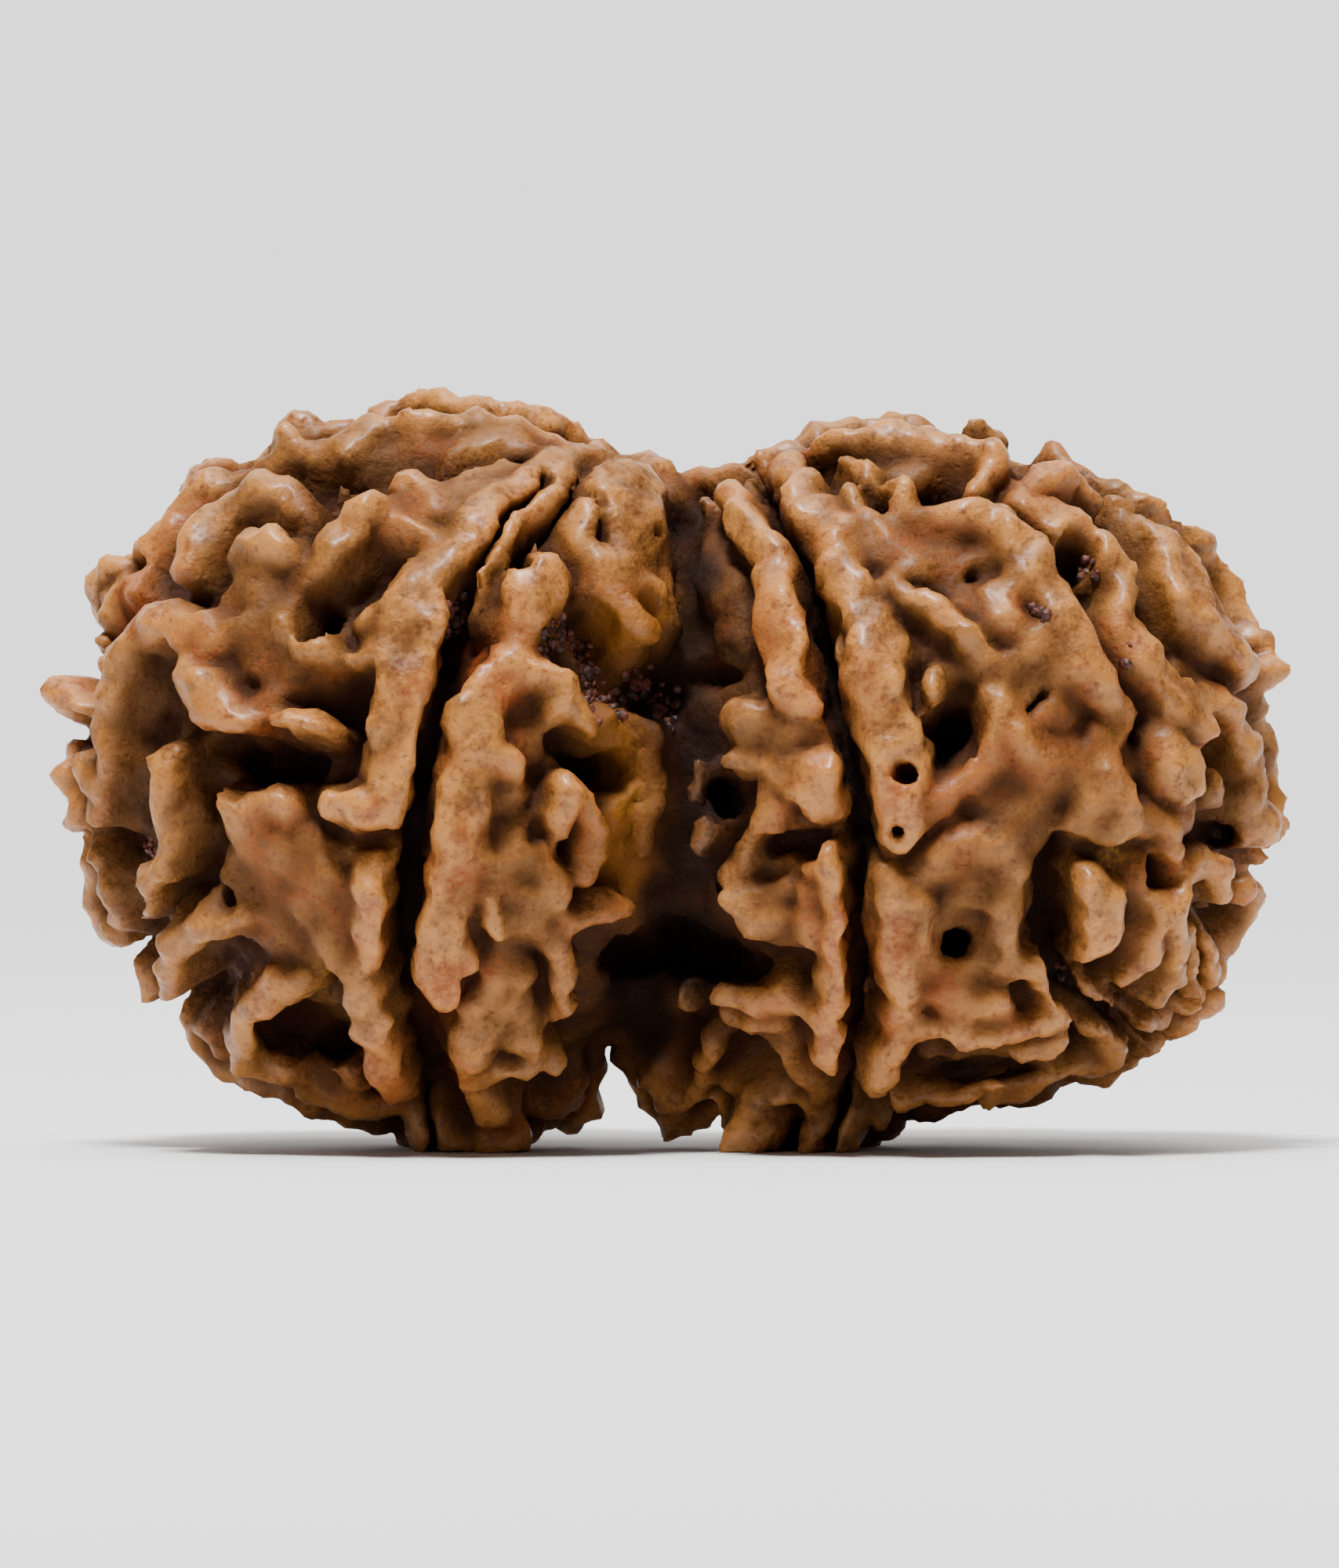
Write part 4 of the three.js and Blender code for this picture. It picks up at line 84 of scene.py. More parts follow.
# %% Ridges, pits and clefts of the front
LEFT_RIDGES = [
    # left lip of the front cleft, from the top down to the thumb
    [[-2.5, 20.2, 0.59, 1.5], [-3.8, 19.3, 0.91, 1.5], [-4.9, 18.3, 1.1, 1.5],
     [-5.9, 17.2, 1.17, 1.5], [-6.8, 16.1, 1.23, 1.55], [-7.2, 14.9, 1.23, 1.55],
     [-7.2, 13.6, 1.1, 1.5], [-7.4, 12.3, 0.91, 1.5], [-7.6, 11.2, 0.78, 1.55],
     [-7.9, 10.3, 0.65, 1.6]],
    [[-7.4, 15.7, 0.6, 1.5], [-8.2, 15.7, 0.5, 1.4]],
    [[-8.0, 14.8, 0.5, 1.4], [-8.8, 14.5, 0.25, 1.3]],
    [[-7.9, 10.3, 0.5, 1.6], [-8.7, 10.15, 0.5, 1.75], [-9.5, 10.25, 0.42, 1.7]],
    # the same lip below the thumb
    [[-8.9, 9.2, 0.39, 0.9], [-8.2, 8.6, 0.59, 1.4], [-8.0, 7.7, 0.65, 1.6], [-8.1, 6.8, 0.65, 1.6],
     [-8.2, 6.0, 0.59, 1.5]],
    [[-8.5, 5.7, 0.52, 1.3], [-8.4, 4.7, 0.59, 1.5], [-8.1, 3.6, 0.65, 1.6], [-7.8, 2.7, 0.65, 1.5],
     [-7.4, 1.9, 0.52, 1.3]],
    # the long left ridge that runs down the lobe
    [[-13.6, 14.2, 0.59, 1.4], [-13.0, 13.6, 0.78, 1.4], [-12.6, 12.8, 0.84, 1.35],
     [-12.2, 11.9, 0.78, 1.3], [-12.1, 10.9, 0.84, 1.25], [-11.9, 10.0, 0.78, 1.2],
     [-11.3, 9.0, 0.9, 1.0], [-10.6, 8.0, 1.01, 0.95], [-9.8, 7.3, 1.01, 1.0],
     [-9.2, 6.6, 0.78, 1.1], [-8.8, 5.8, 0.59, 1.2]],
    # the broad web beside it
    [[-11.9, 8.4, 0.78, 0.75], [-10.8, 7.0, 0.78, 0.7], [-9.8, 6.3, 0.78, 0.8]],
    # the hooked ridge that makes the left shoulder
    [[-11.8, 15.1, 0.65, 0.9], [-12.7, 14.95, 0.65, 1.2], [-13.6, 15.25, 0.65, 1.45],
     [-14.4, 15.55, 0.65, 1.55], [-15.1, 15.2, 0.59, 1.5], [-15.5, 14.4, 0.63, 1.45],
     [-15.75, 13.5, 0.6, 1.4], [-15.9, 12.5, 0.54, 1.2], [-16.0, 11.6, 0.54, 1.2],
     [-16.2, 10.8, 0.6, 1.2], [-16.3, 10.0, 0.63, 1.2]],
    [[-16.55, 9.6, 0.54, 1.2], [-16.2, 8.6, 0.54, 1.1], [-15.95, 7.6, 0.6, 1.2],
     [-15.8, 6.9, 0.6, 1.2]],
    # spikes of the left outline
    [[-16.0, 13.9, 0.72, 1.3], [-17.05, 13.45, 0.63, 2.0]],
    [[-15.3, 16.5, 0.78, 1.2], [-15.9, 16.45, 0.81, 1.4]],
    [[-15.4, 15.9, 0.52, 1.0], [-15.9, 15.7, 0.6, 1.2]],
    [[-16.3, 11.2, 0.6, 1.0], [-16.75, 11.2, 0.62, 1.6]],
    [[-12.9, 19.1, 0.6, 1.3], [-13.35, 19.65, 0.51, 1.8]],
    [[-10.7, 20.3, 0.65, 1.3], [-10.75, 20.95, 0.51, 2.0]],
    # upper left ridges and knobs
    [[-15.1, 16.1, 0.49, 1.2], [-15.0, 16.9, 0.54, 1.2], [-14.5, 17.7, 0.54, 1.2],
     [-13.9, 18.2, 0.54, 1.2]],
    [[-13.7, 17.1, 0.63, 1.4], [-13.5, 17.6, 0.65, 1.5], [-12.9, 18.3, 0.65, 1.5],
     [-12.3, 18.9, 0.72, 1.4], [-11.6, 19.3, 0.65, 1.4], [-10.9, 19.2, 0.63, 1.35],
     [-10.5, 18.7, 0.52, 1.0]],
    [[-11.9, 17.7, 0.65, 1.5], [-11.2, 17.7, 0.78, 1.55], [-10.8, 17.4, 0.65, 1.4]],
    [[-11.3, 17.4, 0.9, 1.3], [-11.3, 16.4, 0.78, 0.9], [-11.6, 15.3, 0.65, 0.7]],
    [[-13.0, 19.4, 0.6, 1.0], [-11.9, 19.5, 0.65, 1.1], [-10.9, 20.0, 0.65, 1.2],
     [-9.9, 20.3, 0.65, 1.2], [-9.0, 20.5, 0.65, 1.2], [-8.4, 20.8, 0.6, 1.3]],
    # the arch and the knob beneath it
    [[-9.3, 19.2, 0.38, 1.2], [-8.9, 19.7, 0.42, 1.35], [-8.2, 19.8, 0.45, 1.4],
     [-7.4, 19.6, 0.45, 1.4], [-6.8, 19.2, 0.4, 1.3], [-6.5, 18.8, 0.3, 1.1]],
    [[-8.5, 18.6, 0.78, 1.45], [-8.7, 18.2, 0.65, 1.35], [-9.3, 17.6, 0.59, 1.2],
     [-9.8, 17.0, 0.63, 1.0], [-10.3, 16.5, 0.6, 0.8]],
    [[-8.2, 18.4, 0.5, 1.3], [-7.4, 18.2, 0.45, 1.3], [-6.6, 17.9, 0.6, 1.4]],
    [[-6.4, 18.6, 0.7, 1.2], [-5.4, 19.2, 0.7, 1.2], [-4.4, 19.8, 0.6, 1.2]],
    # inner ribs of the left lobe
    [[-10.4, 15.2, 0.6, 1.1], [-9.9, 14.9, 0.7, 1.25], [-9.5, 14.5, 0.6, 1.0]],
    [[-12.0, 12.7, 0.65, 1.2], [-11.3, 13.0, 0.6, 0.9]],
    [[-11.0, 10.6, 0.54, 1.25], [-10.75, 10.2, 0.54, 1.3], [-10.8, 9.8, 0.51, 1.0]],
    [[-11.6, 10.3, 0.6, 1.1], [-11.1, 10.3, 0.54, 1.1]],
    # lower left ribs
    [[-13.85, 11.8, 0.4, 1.0], [-14.25, 11.5, 0.43, 1.25], [-14.3, 10.7, 0.4, 1.3],
     [-14.2, 9.9, 0.4, 1.3], [-14.0, 9.2, 0.4, 1.25], [-14.15, 8.6, 0.45, 1.2],
     [-14.7, 8.2, 0.57, 1.3], [-15.0, 7.7, 0.63, 1.4], [-15.0, 7.2, 0.6, 1.3]],
    [[-13.6, 7.1, 0.31, 0.8], [-13.4, 6.7, 0.31, 0.9]],
    [[-11.2, 7.2, 0.52, 0.9], [-12.2, 7.0, 0.54, 1.15], [-13.1, 6.65, 0.54, 1.35],
     [-13.8, 6.2, 0.54, 1.4], [-14.1, 5.4, 0.54, 1.4], [-14.05, 4.7, 0.54, 1.3],
     [-13.7, 4.25, 0.54, 1.2]],
    [[-10.2, 5.3, 0.54, 1.1], [-11.0, 5.0, 0.51, 1.35], [-11.6, 4.5, 0.51, 1.5],
     [-12.0, 3.9, 0.51, 1.5], [-12.1, 3.2, 0.51, 1.5], [-11.8, 2.7, 0.54, 1.4],
     [-11.0, 2.45, 0.54, 1.3], [-10.2, 2.2, 0.6, 1.1]],
    [[-13.3, 3.7, 0.63, 1.0], [-12.7, 3.15, 0.63, 1.0]],
    [[-10.0, 1.9, 0.63, 1.2], [-9.0, 1.6, 0.63, 1.3], [-8.3, 1.35, 0.6, 1.3]],
    [[-9.6, 2.9, 0.6, 0.9], [-8.8, 2.3, 0.6, 1.0]],
    [[-7.6, 1.4, 0.36, 1.2], [-7.0, 1.1, 0.36, 1.3]],
    [[-6.2, 0.95, 0.5, 1.4], [-5.4, 0.9, 0.42, 1.3]],
    # top slab
    [[-8.3, 20.9, 0.36, 1.4], [-7.2, 21.15, 0.45, 1.6], [-6.2, 21.2, 0.45, 1.6],
     [-5.2, 21.1, 0.42, 1.5], [-4.2, 20.95, 0.45, 1.5], [-3.2, 20.6, 0.45, 1.5],
     [-2.5, 20.2, 0.4, 1.5]],
    [[-7.0, 20.6, 0.7, 0.9], [-5.6, 20.5, 0.7, 1.0], [-4.2, 20.4, 0.7, 1.15]],
    [[-6.0, 20.0, 0.22, 0.9], [-5.1, 20.25, 0.25, 1.1], [-4.3, 20.5, 0.25, 1.2]],
    # thin band inside the top of the front cleft
    [[-1.95, 20.2, 0.34, 1.4], [-2.9, 19.0, 0.4, 1.3], [-3.8, 17.9, 0.36, 1.15],
     [-4.45, 16.9, 0.3, 0.95], [-5.1, 15.9, 0.24, 0.7], [-5.6, 15.3, 0.18, 0.4]],
    # right lip of the front cleft: wedge, knob, neck and long lip
    [[-0.7, 19.3, 1.0, 1.8], [-1.1, 18.7, 1.8, 1.6], [-1.4, 17.9, 1.9, 1.45],
     [-1.4, 17.1, 1.4, 1.3], [-1.2, 16.5, 0.9, 1.15]],
    [[-1.6, 19.0, 0.7, 1.5], [-2.0, 18.4, 0.8, 1.35], [-2.2, 17.7, 0.6, 1.1]],
    [[-3.3, 17.0, 0.8, 1.6], [-3.5, 16.5, 1.05, 1.75], [-3.7, 15.9, 0.95, 1.65]],
    [[-3.8, 15.6, 0.5, 1.35], [-3.9, 15.0, 0.42, 1.25], [-4.3, 14.4, 0.5, 1.5]],
    [[-4.3, 14.3, 0.55, 1.6], [-4.85, 13.6, 0.78, 1.65], [-5.1, 12.7, 0.81, 1.6],
     [-5.3, 11.8, 0.81, 1.6], [-5.6, 10.9, 0.81, 1.65], [-5.75, 10.0, 0.81, 1.65],
     [-5.75, 9.0, 0.81, 1.65], [-5.8, 8.0, 0.81, 1.65], [-6.0, 7.0, 0.78, 1.65],
     [-6.2, 6.1, 0.75, 1.7], [-6.25, 5.3, 0.68, 1.75], [-6.2, 4.8, 0.55, 1.75]],
    [[-5.7, 6.5, 0.5, 1.5], [-5.4, 5.8, 0.4, 1.5]],
    [[-4.3, 14.35, 0.6, 1.6], [-3.6, 14.0, 0.55, 1.55], [-3.0, 13.5, 0.6, 1.5],
     [-2.65, 12.9, 0.65, 1.5], [-2.35, 12.3, 0.65, 1.5], [-2.1, 11.8, 0.5, 1.45],
     [-2.0, 11.5, 0.4, 1.4]],
    [[-5.2, 11.6, 0.45, 1.6], [-4.5, 11.6, 0.38, 1.5], [-4.1, 11.4, 0.3, 1.4]],
    [[-4.9, 10.6, 0.5, 1.1], [-4.2, 10.7, 0.36, 1.0]],
    [[-2.6, 10.6, 0.4, 1.7], [-2.8, 10.1, 0.36, 1.6], [-3.1, 9.5, 0.3, 1.35]],
    [[-2.2, 10.5, 0.42, 1.35], [-1.95, 9.8, 0.45, 1.2], [-1.95, 9.1, 0.45, 1.1],
     [-2.3, 8.4, 0.45, 1.1]],
    [[-5.0, 8.6, 0.7, 1.35], [-4.5, 7.6, 0.9, 1.25], [-3.7, 7.1, 0.8, 1.25], [-3.1, 7.9, 0.45, 1.2]],
    [[-4.75, 7.7, 0.18, 1.6], [-4.7, 7.1, 0.18, 1.6], [-4.5, 6.6, 0.18, 1.5]],
    [[-3.3, 8.6, 0.4, 1.1], [-3.0, 7.6, 0.3, 1.2], [-2.9, 6.8, 0.3, 1.1]],
    [[-3.4, 6.5, 0.5, 1.2], [-2.9, 6.1, 0.3, 1.2], [-2.75, 5.4, 0.26, 1.2], [-2.8, 4.7, 0.26, 1.1],
     [-3.1, 4.1, 0.3, 1.1]],
    [[-2.7, 6.9, 0.42, 1.1], [-1.9, 7.3, 0.4, 1.0], [-1.1, 7.3, 0.36, 1.0]],
    [[-4.7, 5.3, 0.36, 1.35], [-4.9, 4.5, 0.75, 1.4], [-5.0, 3.7, 0.8, 1.45], [-5.3, 3.0, 0.6, 1.5],
     [-5.6, 2.4, 0.3, 1.4]],
    [[-4.3, 4.4, 0.5, 1.4], [-3.9, 3.6, 0.6, 1.4], [-3.3, 3.1, 0.4, 1.3]],
    [[-5.6, 2.15, 0.18, 1.5], [-4.7, 2.6, 0.2, 1.5], [-3.8, 2.85, 0.2, 1.45],
     [-3.15, 2.75, 0.18, 1.4], [-2.7, 3.2, 0.18, 1.3], [-2.3, 3.5, 0.18, 1.2]],
    [[-5.3, 1.9, 0.4, 1.5], [-5.0, 1.5, 0.45, 1.6], [-4.6, 1.1, 0.45, 1.6]],
    [[-3.8, 1.6, 0.5, 1.0], [-2.8, 1.4, 0.5, 1.1], [-2.5, 2.2, 0.36, 0.8]],
    [[-4.6, 0.45, 0.35, 1.6], [-3.9, 0.8, 0.35, 1.3]],
    # low folds down the floor of the valley
    [[-1.7, 12.7, 0.6, 0.6], [-1.3, 11.9, 0.55, 0.5], [-1.15, 10.9, 0.6, 0.45],
     [-1.3, 9.9, 0.55, 0.5], [-1.6, 8.8, 0.5, 0.5]],
    [[-0.4, 12.6, 0.4, 0.6], [-0.3, 11.4, 0.34, 0.5], [-0.35, 10.2, 0.4, 0.5],
     [-0.6, 8.9, 0.34, 0.6]],
    # web of the upper valley
    [[-2.1, 15.8, 0.6, 1.1], [-1.3, 15.5, 0.8, 1.25], [-0.5, 15.3, 0.7, 1.5]],
    [[-0.7, 16.5, 0.5, 1.3], [-0.1, 16.4, 0.5, 1.6]],
]

LEFT_WEBS = [
    # broad low webs between the ridges, from the top down
    [[-8.2, 20.3, 0.9, 0.8], [-6.8, 20.5, 1.0, 0.9], [-5.2, 20.4, 1.0, 1.0], [-3.8, 20.2, 0.8, 1.1]],
    [[-11.6, 18.6, 0.9, 0.7], [-10.2, 18.2, 0.8, 0.5]],
    [[-11.4, 16.9, 1.0, 0.8], [-11.8, 15.7, 1.1, 0.6], [-11.2, 14.4, 1.0, 0.5],
     [-10.6, 13.6, 0.8, 0.6]],
    [[-10.4, 16.6, 0.8, 0.6], [-10.4, 15.5, 0.9, 0.6], [-9.8, 14.2, 0.7, 0.5]],
    [[-8.0, 18.3, 0.8, 0.8], [-7.2, 18.6, 0.9, 0.9], [-6.0, 18.8, 0.9, 1.1]],
    [[-10.9, 9.6, 0.9, 0.7], [-9.9, 8.8, 0.9, 0.8], [-9.0, 7.8, 0.8, 0.9], [-8.8, 6.8, 0.7, 0.9]],
    [[-12.0, 7.8, 0.8, 0.5], [-11.0, 6.6, 0.8, 0.5], [-9.8, 5.8, 0.8, 0.6]],
    [[-2.4, 17.9, 0.8, 0.9], [-1.9, 16.9, 0.9, 0.85], [-1.6, 15.9, 0.9, 0.8], [-1.9, 15.1, 0.8, 0.7]],
    [[-0.9, 17.6, 0.8, 0.9], [-0.4, 16.6, 0.8, 1.0], [0.1, 15.6, 0.7, 1.0]],
    [[-4.4, 10.2, 0.9, 0.8], [-4.1, 9.0, 1.0, 0.9], [-4.0, 7.6, 1.0, 1.0]],
    [[-4.5, 6.2, 0.7, 0.9], [-4.4, 5.2, 0.8, 1.0], [-4.4, 4.0, 0.9, 1.1]],
    [[-4.2, 13.2, 0.7, 0.8], [-3.7, 12.6, 0.8, 0.8], [-3.5, 12.0, 0.6, 0.5]],
    [[-4.4, 11.9, 0.6, 0.9], [-4.3, 11.0, 0.5, 0.9]],
]

LEFT_PITS = [
    # [x, z, half width, depth below the bead's skin]
    [[-7.9, 17.05, 0.45, 1.3], [-8.8, 16.85, 0.3, 0.9]],
    [[-9.15, 15.0, 0.24, 0.5], [-9.2, 14.3, 0.22, 0.4]],
    [[-10.9, 11.5, 0.42, 1.4], [-10.1, 11.3, 0.5, 1.6], [-9.4, 11.3, 0.42, 1.4]],
    [[-13.8, 12.8, 0.42, 0.8], [-14.5, 13.6, 0.3, 0.5]],
    [[-14.2, 6.65, 0.36, 1.2]],
    [[-12.5, 5.5, 0.5, 0.7], [-11.6, 5.9, 0.5, 0.8]],
    [[-8.95, 4.65, 0.16, 0.4]],
    [[-12.95, 14.7, 0.1, 0.5]],
    [[-11.3, 8.2, 0.12, 0.4]],
    [[-3.6, 12.1, 0.2, -0.3], [-3.4, 11.3, 0.3, 1.4], [-2.8, 11.1, 0.32, 1.7],
     [-2.3, 11.1, 0.2, 1.0]],
    [[-3.9, 9.6, 0.3, -0.9]],
    [[-3.6, 5.6, 0.36, 0.7], [-3.3, 4.9, 0.25, 0.5]],
    [[-1.75, 16.4, 0.14, 0.2]],
    [[-3.1, 14.9, 0.3, 0.3], [-2.6, 14.3, 0.26, 0.3], [-2.2, 13.7, 0.26, 0.3],
     [-1.7, 13.1, 0.3, 0.4]],
    [[-9.4, 5.5, 0.22, 0.1]],
    [[-13.35, 11.2, 0.3, 0.5], [-13.3, 10.3, 0.3, 0.4]],
    [[-15.2, 9.2, 0.4, 0.4]],
    [[-13.3, 8.6, 0.3, 0.3], [-13.6, 7.7, 0.26, 0.3]],
    [[-14.4, 16.6, 0.26, 0.5], [-13.9, 16.3, 0.3, 0.5]],
]

LEFT_BARS = [
    [[-11.1, 12.75, 0.2, 1.2], [-10.6, 12.7, 0.24, 1.6], [-9.9, 12.6, 0.24, 1.6],
     [-9.3, 12.35, 0.2, 1.3]],
]

LEFT_CLEFT = [[-5.7, 15.5, 0.14, 0.1], [-5.8, 15.0, 0.24, 0.3], [-5.95, 14.3, 0.3, 0.3],
              [-6.25, 12.9, 0.28, 0.3], [-6.55, 11.6, 0.26, 0.4], [-6.8, 10.4, 0.28, 0.6],
              [-7.0, 9.0, 0.34, 0.8], [-7.1, 7.6, 0.36, 0.8], [-7.1, 6.2, 0.3, 0.6],
              [-6.9, 4.6, 0.2, 0.3], [-6.7, 3.0, 0.14, 0.0], [-6.5, 1.6, 0.1, -0.2]]

LEFT_GROOVES = [
    # both sides of the thin band that fills the top of the front cleft
    [[-3.6, 18.8, 0.1, -1.1], [-4.35, 17.9, 0.1, -0.9], [-5.0, 16.9, 0.1, -0.6],
     [-5.65, 15.9, 0.1, -0.3], [-5.95, 15.2, 0.16, 0.0]],
    [[-1.8, 19.35, 0.1, -1.1], [-2.5, 18.75, 0.1, -1.0], [-3.25, 17.9, 0.1, -0.8],
     [-4.1, 16.95, 0.1, -0.5], [-4.55, 16.1, 0.14, -0.1], [-4.6, 15.35, 0.26, 0.5]],
    [[-3.0, 17.9, 0.1, -0.6], [-2.6, 17.2, 0.18, -0.3], [-2.5, 16.5, 0.2, -0.2]],
]

